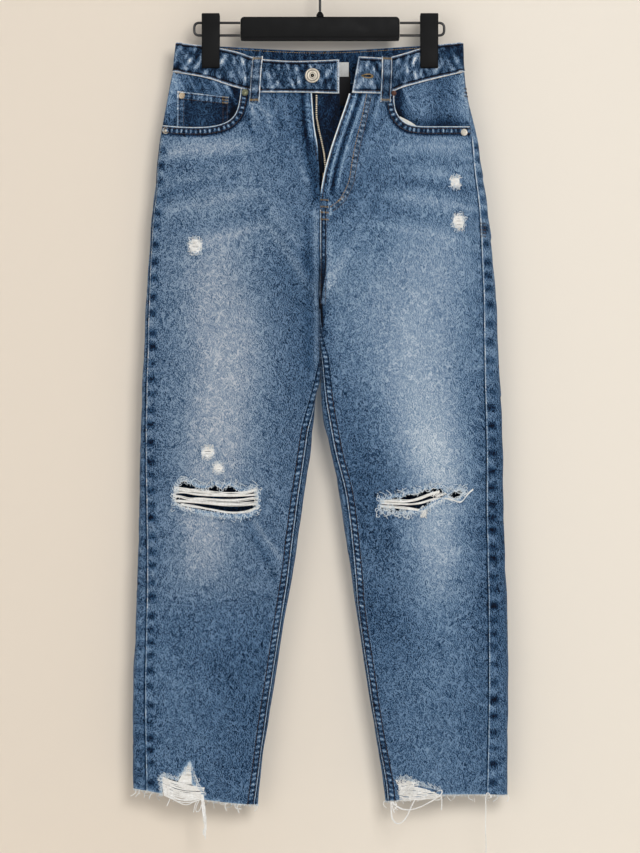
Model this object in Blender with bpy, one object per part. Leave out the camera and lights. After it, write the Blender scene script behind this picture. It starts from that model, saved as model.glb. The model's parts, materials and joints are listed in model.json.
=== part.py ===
"""Ripped five-pocket jeans hanging from a clip hanger.

Axes: +Z up, the front faces -Y, the wearer's right side is at -X. The origin is the inside top of the
hanger's hook. All sizes are in millimetres. "drop" is a distance below the origin, "a" is a distance
out from the middle of the garment. Each cloth piece is laid on one body form: a flattened tube at the
waist and hips that divides into two legs at the crotch.
"""
import math
from functools import lru_cache

import bpy
import numpy as np

MM = 0.001

# ------------------------------------------------------------------ driving sizes (mm)
DENIM = 1.2            # thickness of one layer of denim
SEAM_GAP = 0.4         # open line between two neighbouring pieces
LAYER_GAP = 0.3        # between a piece and what lies on it
BAND_OUT = 0.4         # the waistband stands this far out of the body form
BAND_IN = -2.2         # and reaches this far inside it
CROTCH = 443.5         # drop of the crotch point
FLY_END = 312.0        # drop of the bottom of the fly
CLIP_REACH = 118.0     # the waist is open between the clips out to here
HEM_ROW = 990.0        # drop where the rows start to follow the hem

LOOP_WIDTH = 12.5
LOOP_THICK = 1.5
BUTTON_RADIUS = 9.2
RIVET_RADIUS = 4.4

BAR_WIDTH, BAR_HEIGHT, BAR_DEPTH, BAR_TOP = 199.0, 30.0, 8.0, 83.5
WIRE_RADIUS = 1.6
CLIP_WIDTH = 22.5
CLIP_TOP, CLIP_LOW = 79.8, 148.0


class Run:
    """Smooth runs through a table's rows, one for each named column, over the first one."""

    def __init__(self, columns, rows):
        table = np.array(rows, float)
        self.at = table[:, 0]
        self.names = columns.split()[1:]
        self.values = {}
        step = np.diff(self.at)
        for number, name in enumerate(self.names):
            value = table[:, number + 1]
            rise = np.diff(value) / step
            slope = np.zeros(len(value))
            slope[0] = rise[0]
            slope[-1] = rise[-1]
            for i in range(1, len(value) - 1):
                if rise[i - 1] * rise[i] > 0:
                    slope[i] = 2 * rise[i - 1] * rise[i] / (rise[i - 1] + rise[i])
            self.values[name] = (value, slope)

    def __call__(self, name, where):
        value, slope = self.values[name]
        where = np.clip(where, self.at[0], self.at[-1])
        i = np.clip(np.searchsorted(self.at, where) - 1, 0, len(self.at) - 2)
        step = self.at[i + 1] - self.at[i]
        t = (where - self.at[i]) / step
        return (value[i] * (1 + 2 * t) * (1 - t) ** 2 + value[i + 1] * t * t * (3 - 2 * t)
                + step * (slope[i] * t * (1 - t) ** 2 - slope[i + 1] * t * t * (1 - t)))


# ------------------------------------------------------------------ the garment's outline
WIDTHS = Run("drop right_out right_in left_in left_out", [
    (112.0, 179.0, 0.3, 0.3, 178.0),
    (118.5, 180.0, 0.3, 0.3, 178.8),
    (137.0, 182.3, 0.3, 0.3, 179.3),
    (152.3, 184.0, 0.3, 0.3, 180.5),
    (168.5, 187.5, 0.3, 0.3, 182.0),
    (187.3, 191.0, 0.3, 0.3, 185.0),
    (212.3, 195.5, 0.3, 0.3, 191.3),
    (237.3, 200.0, 0.3, 0.3, 197.0),
    (262.3, 202.7, 0.3, 0.3, 200.7),
    (287.3, 204.8, 0.3, 0.3, 204.2),
    (337.3, 209.8, 0.3, 0.3, 211.3),
    (387.3, 214.0, 0.3, 0.3, 216.0),
    (437.3, 217.3, 0.3, 0.3, 219.8),
    (487.3, 219.2, 0.3, 0.3, 222.5),
    (537.3, 221.5, 0.5, 0.5, 225.0),
    (557.3, 222.4, 5.0, 1.2, 226.0),
    (587.3, 223.7, 7.6, 4.0, 227.4),
    (612.3, 224.5, 10.4, 11.0, 228.2),
    (637.3, 225.0, 13.9, 16.4, 228.7),
    (687.3, 225.6, 20.8, 25.0, 229.3),
    (762.3, 227.5, 31.3, 36.4, 231.6),
    (812.3, 229.2, 40.0, 43.8, 233.4),
    (862.3, 231.3, 48.5, 51.2, 234.2),
    (912.3, 233.2, 56.4, 58.8, 234.9),
    (962.3, 233.8, 64.8, 66.4, 235.0),
    (1012.3, 233.9, 72.2, 74.7, 234.7),
    (1070.0, 234.0, 77.6, 83.0, 233.7),
])

SEAMS = Run("drop right_side right_inner left_inner left_side", [
    # distance of each seam from its fold, measured round the front
    (112.0, 1.5, 2.2, 2.2, 3.0),
    (187.0, 2.4, 2.2, 2.2, 3.2),
    (222.0, 2.8, 2.2, 2.2, 9.8),
    (262.0, 3.4, 2.2, 2.2, 13.0),
    (312.0, 4.2, 2.2, 2.2, 14.6),
    (376.0, 5.6, 2.2, 2.2, 17.4),
    (444.0, 7.6, 2.2, 2.2, 20.4),
    (518.0, 9.2, 4.6, 5.2, 23.0),
    (612.0, 10.8, 6.8, 6.4, 24.6),
    (687.0, 13.0, 7.4, 10.4, 25.4),
    (790.0, 16.6, 7.2, 6.6, 26.8),
    (892.0, 18.6, 6.6, 5.8, 27.8),
    (1070.0, 21.4, 5.4, 5.8, 29.8),
])

FORM = Run("drop edge front back leg_front leg_back one_body pinch", [
    # edge: half thickness at a fold; front and back: how far the body bulges beyond it;
    # one_body: 1 where both halves are one tube, 0 in the legs; pinch: 1 where the clips hold it flat
    (112.0, 3.2, 24.0, 7.0, 12.0, 12.0, 1.0, 1.0),
    (150.0, 3.2, 28.0, 8.5, 12.0, 12.0, 1.0, 1.0),
    (185.0, 3.9, 30.0, 14.0, 12.0, 12.0, 1.0, 0.66),
    (230.0, 4.6, 30.5, 21.0, 13.0, 13.0, 1.0, 0.15),
    (275.0, 4.8, 30.0, 24.0, 13.5, 14.0, 1.0, 0.0),
    (335.0, 5.0, 27.5, 25.0, 13.5, 15.0, 0.98, 0.0),
    (380.0, 5.0, 26.0, 25.0, 13.5, 15.0, 0.84, 0.0),
    (415.0, 5.0, 24.0, 23.0, 13.5, 15.0, 0.50, 0.0),
    (443.5, 5.0, 22.0, 21.0, 13.0, 14.5, 0.09, 0.0),
    (560.0, 5.0, 20.0, 20.0, 10.5, 12.5, 0.0, 0.0),
    (690.0, 5.0, 20.0, 20.0, 9.0, 10.5, 0.0, 0.0),
    (850.0, 5.0, 20.0, 20.0, 8.0, 9.5, 0.0, 0.0),
    (1070.0, 5.0, 20.0, 20.0, 6.5, 8.0, 0.0, 0.0),
])

FOLDS = [
    # side, face, a and drop of one end, a and drop of the other, half width, height
    (-1, "front", 96.0, 708.0, 58.0, 768.0, 9.0, 2.4),
    (-1, "front", 205.0, 720.0, 150.0, 742.0, 10.0, 1.8),
    (-1, "front", 60.0, 632.0, 30.0, 655.0, 9.0, 1.6),
    (1, "front", 70.0, 712.0, 120.0, 752.0, 11.0, 1.8),
    (1, "front", 205.0, 652.0, 150.0, 640.0, 9.0, 1.4),
    (-1, "front", 60.0, 330.0, 10.0, 420.0, 12.0, 2.0),
    (1, "front", 70.0, 345.0, 12.0, 425.0, 12.0, 2.0),
    (-1, "front", 185.0, 268.0, 120.0, 252.0, 8.0, 1.2),
    (1, "front", 182.0, 262.0, 110.0, 250.0, 8.0, 1.2),
    (-1, "front", 110.0, 960.0, 190.0, 985.0, 12.0, 1.3),
    (1, "front", 120.0, 950.0, 200.0, 930.0, 12.0, 1.3),
    (-1, "back", 60.0, 445.0, 140.0, 470.0, 12.0, 2.0),
    (1, "back", 60.0, 445.0, 140.0, 468.0, 12.0, 2.0),
    (-1, "back", 60.0, 680.0, 190.0, 668.0, 12.0, 2.0),
    (1, "back", 60.0, 672.0, 190.0, 684.0, 12.0, 2.0),
    (-1, "back", 80.0, 705.0, 180.0, 715.0, 10.0, 1.6),
    (1, "back", 80.0, 712.0, 180.0, 702.0, 10.0, 1.6),
]

FRONT_BAND = Run("x top low", [
    (-184.0, 115.4, 152.3),
    (-160.0, 117.6, 156.3),
    (-137.5, 120.5, 161.0),
    (-120.0, 123.5, 167.0),
    (-100.0, 128.5, 173.5),
    (-87.5, 133.5, 177.0),
    (-72.5, 137.3, 179.1),
    (-25.0, 141.0, 180.4),
    (22.5, 139.1, 181.6),
    (46.0, 134.8, 180.6),
    (81.0, 135.4, 180.4),
    (92.5, 133.0, 177.0),
    (102.0, 130.2, 172.5),
    (123.8, 123.4, 166.0),
    (147.5, 118.0, 160.0),
    (181.0, 115.0, 152.3),
])

BACK_BAND = Run("x top low", [
    (-184.0, 115.4, 152.3),
    (-122.5, 120.4, 160.0),
    (0.0, 125.0, 166.0),
    (123.8, 119.8, 160.0),
    (181.0, 115.0, 152.3),
])

FLY_EDGE = Run("drop right left", [
    # a of each front panel's free edge at the open fly; they meet at its bottom
    (176.0, 10.4, 37.2),
    (183.0, 10.0, 35.6),
    (217.0, 7.6, 24.4),
    (249.0, 2.9, 13.6),
    (277.0, 1.2, 5.9),
    (298.0, 0.5, 1.8),
    (FLY_END, 0.2, 0.2),
    (CROTCH, 0.2, 0.2),
])

POCKET_MOUTH = {
    # a and drop along the curved edge, from the waist seam to the side seam
    "right": [(98.5, 0.0), (100.5, 192.0), (104.5, 206.5), (115.0, 216.7), (134.0, 222.1),
              (155.0, 222.8), (176.0, 221.8), (192.8, 219.2)],
    "left": [(92.5, 0.0), (92.0, 193.0), (96.0, 208.0), (106.5, 219.0), (122.0, 222.2),
             (142.0, 221.8), (164.0, 221.4), (182.5, 221.0)],
}

KNEE_RIP = {
    # a, drop of the upper edge, drop of the lower edge
    "right": [(78.0, 682.0, 696.0), (89.0, 674.5, 704.0), (106.0, 670.5, 705.0), (124.0, 668.0, 703.0),
              (143.0, 666.5, 700.5), (162.0, 667.5, 697.5), (180.0, 679.0, 690.5)],
    "left": [(76.0, 686.5, 700.0), (90.0, 685.0, 703.0), (106.0, 682.5, 702.5), (122.0, 678.0, 698.0),
             (138.0, 675.0, 692.0), (155.0, 673.5, 689.0), (173.0, 672.0, 687.0), (190.0, 671.5, 679.5)],
}

HEM = Run("x drop", [
    (-234.0, 1047.3),
    (-150.0, 1060.0),
    (-77.0, 1067.3),
    (82.0, 1063.0),
    (155.0, 1054.4),
    (206.0, 1054.3),
    (235.0, 1055.4),
])

HEM_TEAR = [(141.0, 0.0), (153.0, 1037.0), (162.5, 1014.0), (180.0, 1036.0), (198.0, 0.0)]   # a, drop (0: the hem)
YOKE_LINE = Run("a drop", [(0.0, 246.0), (60.0, 236.0), (120.0, 222.0), (185.0, 205.0), (200.0, 204.0)])


# ------------------------------------------------------------------ the body form
def name_of(side):
    return "left" if side > 0 else "right"


def quarter_round(share):
    share = np.clip(share, 0.0, 1.0)
    return np.sqrt(1 - (1 - share) ** 2)


def section(side, drop):
    outer = float(WIDTHS(name_of(side) + "_out", drop))
    inner = float(WIDTHS(name_of(side) + "_in", drop)) if drop > CROTCH else 0.0
    return inner, outer


def fold_relief(side, face, a, drop):
    total = np.zeros_like(a)
    for where, which, a0, drop0, a1, drop1, half, height in FOLDS:
        if where != side or which != face:
            continue
        da, dd = a1 - a0, drop1 - drop0
        along = np.clip(((a - a0) * da + (drop - drop0) * dd) / (da * da + dd * dd), 0, 1)
        off = np.hypot(a - a0 - along * da, drop - drop0 - along * dd) / half
        total += height * np.exp(-off * off) * (1 - 0.35 * off * off * np.exp(-0.3 * off * off))
    return total


def depth(side, a, drop, face):
    """Distance of the cloth's outer face from the middle plane."""
    inner, outer = section(side, drop)
    edge = FORM("edge", drop)
    one = FORM("one_body", drop) if drop <= CROTCH else 0.0
    pinch = FORM("pinch", drop)
    rim = quarter_round((outer - a) / edge)
    inside = one + (1 - one) * quarter_round((a - inner) / edge)
    full = (1 - np.clip(a / outer, 0, 1) ** 2.4) ** 0.9
    held = (0.5 + 0.5 * np.cos(math.pi * np.clip(a / CLIP_REACH, 0, 1))) ** 0.8
    body = FORM(face, drop) * (full + (held - full) * pinch)
    along = np.clip((a - inner) / (outer - inner), 0, 1)
    leg = FORM("leg_" + face, drop) * (4 * along * (1 - along)) ** 0.7
    relief = fold_relief(side, face, a, drop) * rim * inside
    return edge * rim * inside + one * body + (1 - one) * leg + relief


TURN = 180


@lru_cache(maxsize=None)
def ring(side, drop):
    """One half's outline at one drop: from its inner edge round the front, the fold and the back."""
    inner, outer = section(side, drop)
    a = inner + (outer - inner) * (1 - np.cos(np.linspace(0, math.pi, TURN + 1))) / 2
    front = np.column_stack([side * a, -depth(side, a, drop, "front")])
    back = np.column_stack([side * a, depth(side, a, drop, "back")])[::-1]
    line = np.vstack([front, back[1:]])
    steps = np.linalg.norm(np.diff(line, axis=0), axis=1)
    run = np.concatenate([[0.0], np.cumsum(steps)])
    return a, line, run


def total_run(side, drop):
    return ring(side, round(drop, 3))[2][-1]


def fold_run(side, drop):
    return ring(side, round(drop, 3))[2][TURN]


def front_run(side, drop, a):
    outline, _, run = ring(side, round(drop, 3))
    return float(np.interp(a, outline, run[:TURN + 1]))


def back_run(side, drop, a):
    outline, _, run = ring(side, round(drop, 3))
    return float(np.interp(a, outline, run[TURN:][::-1]))


def spot(side, drop, run_at):
    """The point at a distance round the outline, and the outward direction there."""
    _, line, run = ring(side, round(drop, 3))
    total = run[-1]

    def place(value):
        value = value % total if drop > CROTCH else min(max(value, 0.0), total)
        return np.array([np.interp(value, run, line[:, 0]), np.interp(value, run, line[:, 1])])

    tangent = place(run_at + 1.5) - place(run_at - 1.5)
    tangent /= np.linalg.norm(tangent)
    x, y = place(run_at)
    return (x, y, -drop), (tangent[1] * side, -tangent[0] * side, 0.0)


def front_spot(x, drop):
    side = 1 if x > 0 else -1
    return spot(side, drop, front_run(side, drop, abs(x)))


def back_spot(x, drop):
    side = 1 if x > 0 else -1
    return spot(side, drop, back_run(side, drop, abs(x)))


def front_seat(x, drop, lift):
    """A place for a hard piece: the point moved out by lift, and the surface's full outward direction."""
    point = np.array(front_spot(x, drop)[0])
    across = np.array(front_spot(x + 2.0, drop)[0]) - np.array(front_spot(x - 2.0, drop)[0])
    along = np.array(front_spot(x, drop + 2.0)[0]) - np.array(front_spot(x, drop - 2.0)[0])
    way = np.cross(along, across)
    way /= np.linalg.norm(way)
    if way[1] > 0:
        way = -way
    return point + way * lift, way


# ------------------------------------------------------------------ mesh makers
def look(name, colour, roughness=0.9, metallic=0.0):
    material = bpy.data.materials.new(name)
    material.use_nodes = True
    shader = material.node_tree.nodes["Principled BSDF"]
    shader.inputs["Base Color"].default_value = (*colour, 1.0)
    shader.inputs["Roughness"].default_value = roughness
    shader.inputs["Metallic"].default_value = metallic
    return material


def add(name, points, faces, colour, roughness=0.9, metallic=0.0, origin=(0.0, 0.0, 0.0)):
    """A named object from points in mm, with its own material and its faces out."""
    start = np.array(origin)
    mesh = bpy.data.meshes.new(name)
    mesh.from_pydata([tuple((np.array(p) - start) * MM) for p in points], [], faces)
    mesh.update()
    made = bpy.data.objects.new(name, mesh)
    made.location = start * MM
    bpy.context.scene.collection.objects.link(made)
    mesh.materials.append(look(name, colour, roughness, metallic))
    bpy.context.view_layer.objects.active = made
    made.select_set(True)
    bpy.ops.object.mode_set(mode="EDIT")
    bpy.ops.mesh.select_all(action="SELECT")
    bpy.ops.mesh.normals_make_consistent(inside=False)
    bpy.ops.object.mode_set(mode="OBJECT")
    made.select_set(False)
    return made


def shell(name, grid, outside, inside, colour, left_out=(), origin=(0.0, 0.0, 0.0)):
    """A cloth piece: grid[row][column] is (point, outward direction); the wall spans two offsets."""
    rows, columns = len(grid), len(grid[0])
    points = np.array([[spot_[0] for spot_ in row] for row in grid], float)
    ways = np.array([[spot_[1] for spot_ in row] for row in grid], float)
    outside = np.broadcast_to(np.asarray(outside, float), (rows, columns))
    inside = np.broadcast_to(np.asarray(inside, float), (rows, columns))
    layers = (points + ways * outside[..., None], points + ways * inside[..., None])
    numbers = {}
    vertices = []

    def corner(layer, cell):
        key = (layer, cell)
        if key not in numbers:
            numbers[key] = len(vertices)
            vertices.append(layers[layer][cell])
        return numbers[key]

    faces = []
    border = set()
    for i in range(rows - 1):
        for j in range(columns - 1):
            if (i, j) in left_out:
                continue
            loop = [(i, j), (i + 1, j), (i + 1, j + 1), (i, j + 1)]
            faces.append([corner(0, cell) for cell in loop])
            faces.append([corner(1, cell) for cell in reversed(loop)])
            for start, end in zip(loop, loop[1:] + loop[:1]):
                if (end, start) in border:
                    border.remove((end, start))
                else:
                    border.add((start, end))
    for start, end in sorted(border):
        faces.append([corner(0, end), corner(0, start), corner(1, start), corner(1, end)])
    return add(name, vertices, faces, colour, origin=origin)


def join(body, other):
    """Makes another solid part of a body."""
    union = body.modifiers.new("Join", "BOOLEAN")
    union.operation = "UNION"
    union.object = other
    other.hide_render = True
    other.display_type = "WIRE"


def tube(name, path, radius, sides, colour, roughness=0.4, metallic=0.9):
    """A round wire along a path of points."""
    path = np.array(path, float)
    points = []
    side_way = None
    for i, centre in enumerate(path):
        ahead = path[min(i + 1, len(path) - 1)] - path[max(i - 1, 0)]
        ahead /= np.linalg.norm(ahead)
        if side_way is None:
            side_way = np.cross(ahead, (0.0, 1.0, 0.0) if abs(ahead[1]) < 0.9 else (1.0, 0.0, 0.0))
        side_way = side_way - ahead * np.dot(side_way, ahead)
        side_way /= np.linalg.norm(side_way)
        other = np.cross(ahead, side_way)
        for k in range(sides):
            turn = 2 * math.pi * k / sides
            points.append(centre + radius * (math.cos(turn) * side_way + math.sin(turn) * other))
    faces = [list(range(sides)), list(range((len(path) - 1) * sides, len(path) * sides))]
    for i in range(len(path) - 1):
        for k in range(sides):
            near, far = i * sides, (i + 1) * sides
            faces.append([near + k, near + (k + 1) % sides, far + (k + 1) % sides, far + k])
    return add(name, points, faces, colour, roughness, metallic)


def turned(name, centre, way, profile, sides, colour, roughness=0.4, metallic=0.9):
    """A turned piece: profile rows are (radius, distance along the axis), first and last at radius 0."""
    way = np.array(way, float)
    way /= np.linalg.norm(way)
    first = np.cross(way, (0.0, 0.0, 1.0) if abs(way[2]) < 0.9 else (1.0, 0.0, 0.0))
    first /= np.linalg.norm(first)
    second = np.cross(way, first)
    centre = np.array(centre, float)
    points = [centre + way * profile[0][1]]
    for radius, height in profile[1:-1]:
        for k in range(sides):
            turn = 2 * math.pi * k / sides
            out = math.cos(turn) * first + math.sin(turn) * second
            points.append(centre + out * radius + way * height)
    points.append(centre + way * profile[-1][1])
    faces = []
    last = len(points) - 1
    rings = len(profile) - 2
    for k in range(sides):
        after = (k + 1) % sides
        faces.append([0, 1 + k, 1 + after])
        faces.append([last, last - sides + after, last - sides + k])
        for i in range(rings - 1):
            near, far = 1 + i * sides, 1 + (i + 1) * sides
            faces.append([near + k, near + after, far + after, far + k])
    return add(name, points, faces, colour, roughness, metallic)


def prism(name, outline, start, end, axis, colour, roughness=0.5, metallic=0.0, origin=(0.0, 0.0, 0.0)):
    """A flat outline of (u, v) pairs drawn out along X or Y."""
    points = []
    for reach in (start, end):
        for u, v in outline:
            points.append((reach, u, v) if axis == "x" else (u, reach, v))
    count = len(outline)
    faces = [list(range(count)), list(range(count, 2 * count))]
    for k in range(count):
        faces.append([k, (k + 1) % count, count + (k + 1) % count, count + k])
    return add(name, points, faces, colour, roughness, metallic, origin)


BLUE = (0.14, 0.22, 0.34)
DARK_BLUE = (0.05, 0.09, 0.16)
THREAD_WHITE = (0.75, 0.73, 0.66)


# ------------------------------------------------------------------ front panels
ROWS = [250.0, 285.0, FLY_END, 345.0, 375.0, 402.0, 425.0, CROTCH, 449.0, 482.0, 518.0, 545.0, 575.0,
        612.0, 650.0, 668.0, 686.0, 704.0, 722.0, 760.0, 812.0, 862.0, 912.0, 954.0, HEM_ROW, 1022.0, 1060.0]
RIP_ROW = 15           # the row of the rip's upper edge
FRONT_COLUMNS = 11
TOP_ROWS = 3
RIP_COLUMNS = {"right": (3, 9), "left": (3, 10)}


def panel_reach(side, drop):
    """How far round the outline a front panel starts and ends at one drop."""
    word = name_of(side)
    if drop <= CROTCH:
        start = front_run(side, drop, float(FLY_EDGE(word, drop)))
    else:
        start = float(SEAMS(word + "_inner", drop)) + SEAM_GAP / 2
    end = fold_run(side, drop) - float(SEAMS(word + "_side", drop)) - SEAM_GAP / 2
    return start, end


def hem_drop(side, a):
    return float(HEM("drop", side * a))


def a_at(side, drop, share):
    start, end = panel_reach(side, drop)
    return abs(spot(side, drop, start + share * (end - start))[0][0])


def front_panel(side):
    word = name_of(side)
    mouth = POCKET_MOUTH[word]
    low = lambda a: float(FRONT_BAND("low", side * a)) + SEAM_GAP + 0.2
    inner = float(FLY_EDGE(word, 181.0))
    top = [(inner + (mouth[0][0] - inner) * k / 4, 0.0) for k in range(4)] + mouth
    top = [(a, drop if drop else low(a)) for a, drop in top]
    top[1] = (top[1][0] + 1.0, top[1][1])
    last_drop = top[-1][1]
    runs = [front_run(side, drop, a) for a, drop in top]
    runs[0] = panel_reach(side, top[0][1])[0]
    runs[-1] = panel_reach(side, last_drop)[1]
    shares_top = []
    for run_at, (_, drop) in zip(runs, top):
        start, end = panel_reach(side, drop)
        shares_top.append((run_at - start) / (end - start))
    count = FRONT_COLUMNS + 1
    even = [j / FRONT_COLUMNS for j in range(count)]
    grid = []
    for i in range(TOP_ROWS):
        blend = i / TOP_ROWS
        row = []
        for j in range(count):
            drop = top[j][1] + (ROWS[0] - top[j][1]) * blend
            share = shares_top[j] + (even[j] - shares_top[j]) * blend * blend * (3 - 2 * blend)
            start, end = panel_reach(side, drop)
            row.append(spot(side, drop, start + share * (end - start)))
        grid.append(row)
    first, last = RIP_COLUMNS[word]
    tear = dict(zip(range(5, 10), HEM_TEAR)) if side < 0 else {}
    for i, level in enumerate(ROWS):
        row = []
        for j in range(count):
            drop = level
            run_at = None
            if level >= HEM_ROW:
                a = tear[j][0] if j in tear else a_at(side, 1050.0, even[j])
                hem = tear[j][1] if j in tear and tear[j][1] else hem_drop(side, a)
                part = (level - HEM_ROW) / (ROWS[-1] - HEM_ROW)
                drop = HEM_ROW + (hem - HEM_ROW) * part
                if j in tear:
                    start, end = panel_reach(side, drop)
                    plain = start + even[j] * (end - start)
                    run_at = plain + (front_run(side, drop, a) - plain) * part
            if first <= j <= last and RIP_ROW <= i <= RIP_ROW + 2:
                a, upper, lower = KNEE_RIP[word][j - first]
                drop = (upper, (upper + lower) / 2, lower)[i - RIP_ROW]
                if i == RIP_ROW + 1:
                    a += (-2.5 if j == first else 2.5 if j == last else 0.0)
                run_at = front_run(side, drop, a)
            if run_at is None:
                start, end = panel_reach(side, drop)
                run_at = start + even[j] * (end - start)
            row.append(spot(side, drop, run_at))
        grid.append(row)
    hole = {(TOP_ROWS + RIP_ROW + i, j) for i in range(2) for j in range(first, last)}
    shell("front_" + word, grid, 0.0, -DENIM, BLUE, hole)


# ------------------------------------------------------------------ back panels and yokes
BACK_ROWS = [285.0, FLY_END, 345.0, 375.0, 402.0, 425.0, CROTCH, 449.0, 482.0, 518.0, 545.0, 575.0, 612.0,
             650.0, 704.0, 760.0, 812.0, 862.0, 912.0, 954.0, HEM_ROW, 1022.0, 1060.0]


def back_columns(side, drop):
    """Distances round the outline: from the side seam, over the fold, across the back to the inseam."""
    word = name_of(side)
    fold = fold_run(side, drop)
    total = total_run(side, drop)
    wide = float(SEAMS(word + "_side", drop)) - SEAM_GAP / 2
    first = [fold - wide, fold - min(4.0, wide * 0.55), fold, fold + 4.0, fold + 13.0]
    if drop > CROTCH:
        end = total + float(SEAMS(word + "_inner", drop)) - SEAM_GAP / 2
        last = [total - 13.0, total - 4.0, total, end]
    else:
        end = total - 0.2
        last = [total - 17.0, total - 8.0, total - 3.5, end]
    start = fold + 13.0
    middle = [start + (last[0] - start) * k / 9 for k in range(1, 9)]
    return first + middle + last


def back_top(side, drop_of):
    """One row whose drop depends on how far out each column is."""
    row = []
    for j in range(17):
        drop = 220.0
        for _ in range(6):
            run_at = back_columns(side, drop)[j]
            x = spot(side, drop, run_at)[0][0]
            drop = drop_of(abs(x), run_at <= fold_run(side, drop))
        row.append((drop, run_at))
    return row


def yoke_drop(a, on_front):
    return 205.0 if on_front else float(YOKE_LINE("drop", a))


def back_panel(side):
    top = back_top(side, yoke_drop)
    grid = []
    for part in (0.0, 0.5):
        row = []
        for j, (start, _) in enumerate(top):
            drop = start + SEAM_GAP / 2 + (BACK_ROWS[0] - start) * part
            row.append(spot(side, drop, back_columns(side, drop)[j]))
        grid.append(row)
    for level in BACK_ROWS:
        row = []
        for j in range(17):
            drop = level
            if level >= HEM_ROW:
                a = abs(spot(side, 1050.0, back_columns(side, 1050.0)[j])[0][0])
                part = (level - HEM_ROW) / (BACK_ROWS[-1] - HEM_ROW)
                drop = HEM_ROW + (hem_drop(side, a) - HEM_ROW) * part
            row.append(spot(side, drop, back_columns(side, drop)[j]))
        grid.append(row)
    shell("back_" + name_of(side), grid, 0.0, -DENIM, BLUE)


def yoke(side):
    def band_drop(a, on_front):
        return 152.3 if on_front else float(BACK_BAND("low", side * a))

    upper = back_top(side, band_drop)
    lower = back_top(side, yoke_drop)
    grid = []
    for part in (0.0, 0.25, 0.5, 0.75, 1.0):
        row = []
        for j in range(17):
            high = upper[j][0] + SEAM_GAP
            drop = high + (lower[j][0] - SEAM_GAP / 2 - high) * part
            row.append(spot(side, drop, back_columns(side, drop)[j]))
        grid.append(row)
    shell("yoke_" + name_of(side), grid, 0.0, -DENIM, BLUE)


# ------------------------------------------------------------------ waistband and belt loops
BAND_RIGHT_END, BAND_LEFT_TOP, BAND_LEFT_LOW = 23.8, 46.2, 36.5
FRONT_STEPS = [10.0, 28.0, 46.0, 64.0, 80.0, 94.0, 108.0, 122.0, 136.0, 150.0, 163.0, 172.0]
BACK_STEPS = [172.0, 158.0, 140.0, 120.0, 98.0, 74.0, 50.0, 25.0]


def band_place(side, face, a, part):
    table = FRONT_BAND if face == "front" else BACK_BAND
    drop = float(table("top", side * a)) * (1 - part) + float(table("low", side * a)) * part
    return spot(side, drop, (front_run if face == "front" else back_run)(side, drop, a))


def waistband():
    columns = []
    parts = (0.0, 0.33, 0.67, 1.0)
    columns.append([front_spot(BAND_RIGHT_END, 139.2 + (181.6 - 139.2) * p) for p in parts])
    columns.append([front_spot(8.0, 140.4 + (181.2 - 140.4) * p) for p in parts])
    for side in (-1, 1):
        half = []
        for a in FRONT_STEPS:
            half.append([band_place(side, "front", a, p) for p in parts])
        for round_at in (-5.0, -2.2, 0.0, 2.2, 5.0):
            column = []
            for p in parts:
                drop = 115.3 + (152.3 - 115.3) * p
                column.append(spot(side, drop, fold_run(side, drop) + round_at))
            half.append(column)
        for a in BACK_STEPS:
            half.append([band_place(side, "back", a, p) for p in parts])
        if side < 0:
            columns += half
            columns.append([back_spot(0.0, 125.0 + (166.0 - 125.0) * p) for p in parts])
        else:
            half = [column for column, a in zip(half[:12], FRONT_STEPS) if a > 50.0] + half[12:]
            end = []
            for p in parts:
                x = BAND_LEFT_TOP + (BAND_LEFT_LOW - BAND_LEFT_TOP) * p
                end.append(front_spot(x, 134.8 + (179.4 - 134.8) * p))
            columns += half[::-1] + [end]
    grid = [[column[k] for column in columns] for k in range(4)]
    shell("waistband", grid, BAND_OUT, BAND_IN, BLUE)


def belt_loop(name, face, x_top, x_low, drops):
    place = front_spot if face == "front" else back_spot
    out = BAND_OUT + LAYER_GAP
    lift = [0.0, 0.9, 1.3, 1.3, 0.9, 0.0, 0.0]
    grid = []
    for k, rise in enumerate(lift):
        part = k / (len(lift) - 1)
        x = x_top + (x_low - x_top) * part
        drop = drops[0] + (drops[1] - drops[0]) * part
        grid.append([place(x - LOOP_WIDTH / 2, drop), place(x, drop), place(x + LOOP_WIDTH / 2, drop)])
    low = np.array(lift)[:, None] + out
    shell(name, grid, low + LOOP_THICK, low, BLUE)


# ------------------------------------------------------------------ pockets
def facing(side):
    """Hip facing behind the pocket mouth, from the waist seam to just below the mouth's edge."""
    word = name_of(side)
    mouth = POCKET_MOUTH[word]
    corner = mouth[0][0]
    edge_a = [a for a, _ in mouth[1:]]
    edge_drop = [drop for _, drop in mouth[1:]]
    outer = [corner + step for step in (-9.0, 4.0, 20.0, 40.0, 58.0, 70.0, 79.0)]
    grid = []
    deep = []
    for part in (0.0, 0.35, 0.7, 1.0):
        row = []
        offsets = []
        for k in range(9):
            if k < 7:
                a = outer[k]
                top = float(FRONT_BAND("low", side * a)) + SEAM_GAP
                low = float(np.interp(a, edge_a, edge_drop)) + 8.0
                drop = top + (low - top) * part
                row.append(spot(side, drop, front_run(side, drop, a)))
                offsets.append(-3.0)
            else:
                top = 152.3 + SEAM_GAP + (3.5 if k == 7 else 0.0)
                low = mouth[-1][1] - (1.6 if k == 8 else 1.0)
                drop = top + (low - top) * part
                end = panel_reach(side, drop)[1]
                row.append(spot(side, drop, end - (5.0 if k == 7 else 0.0)))
                offsets.append(-3.0 if k == 7 else 0.0)
        grid.append(row)
        deep.append(offsets)
    deep = np.array(deep)
    shell("facing_" + word, grid, deep, deep - DENIM, DARK_BLUE)


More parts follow.
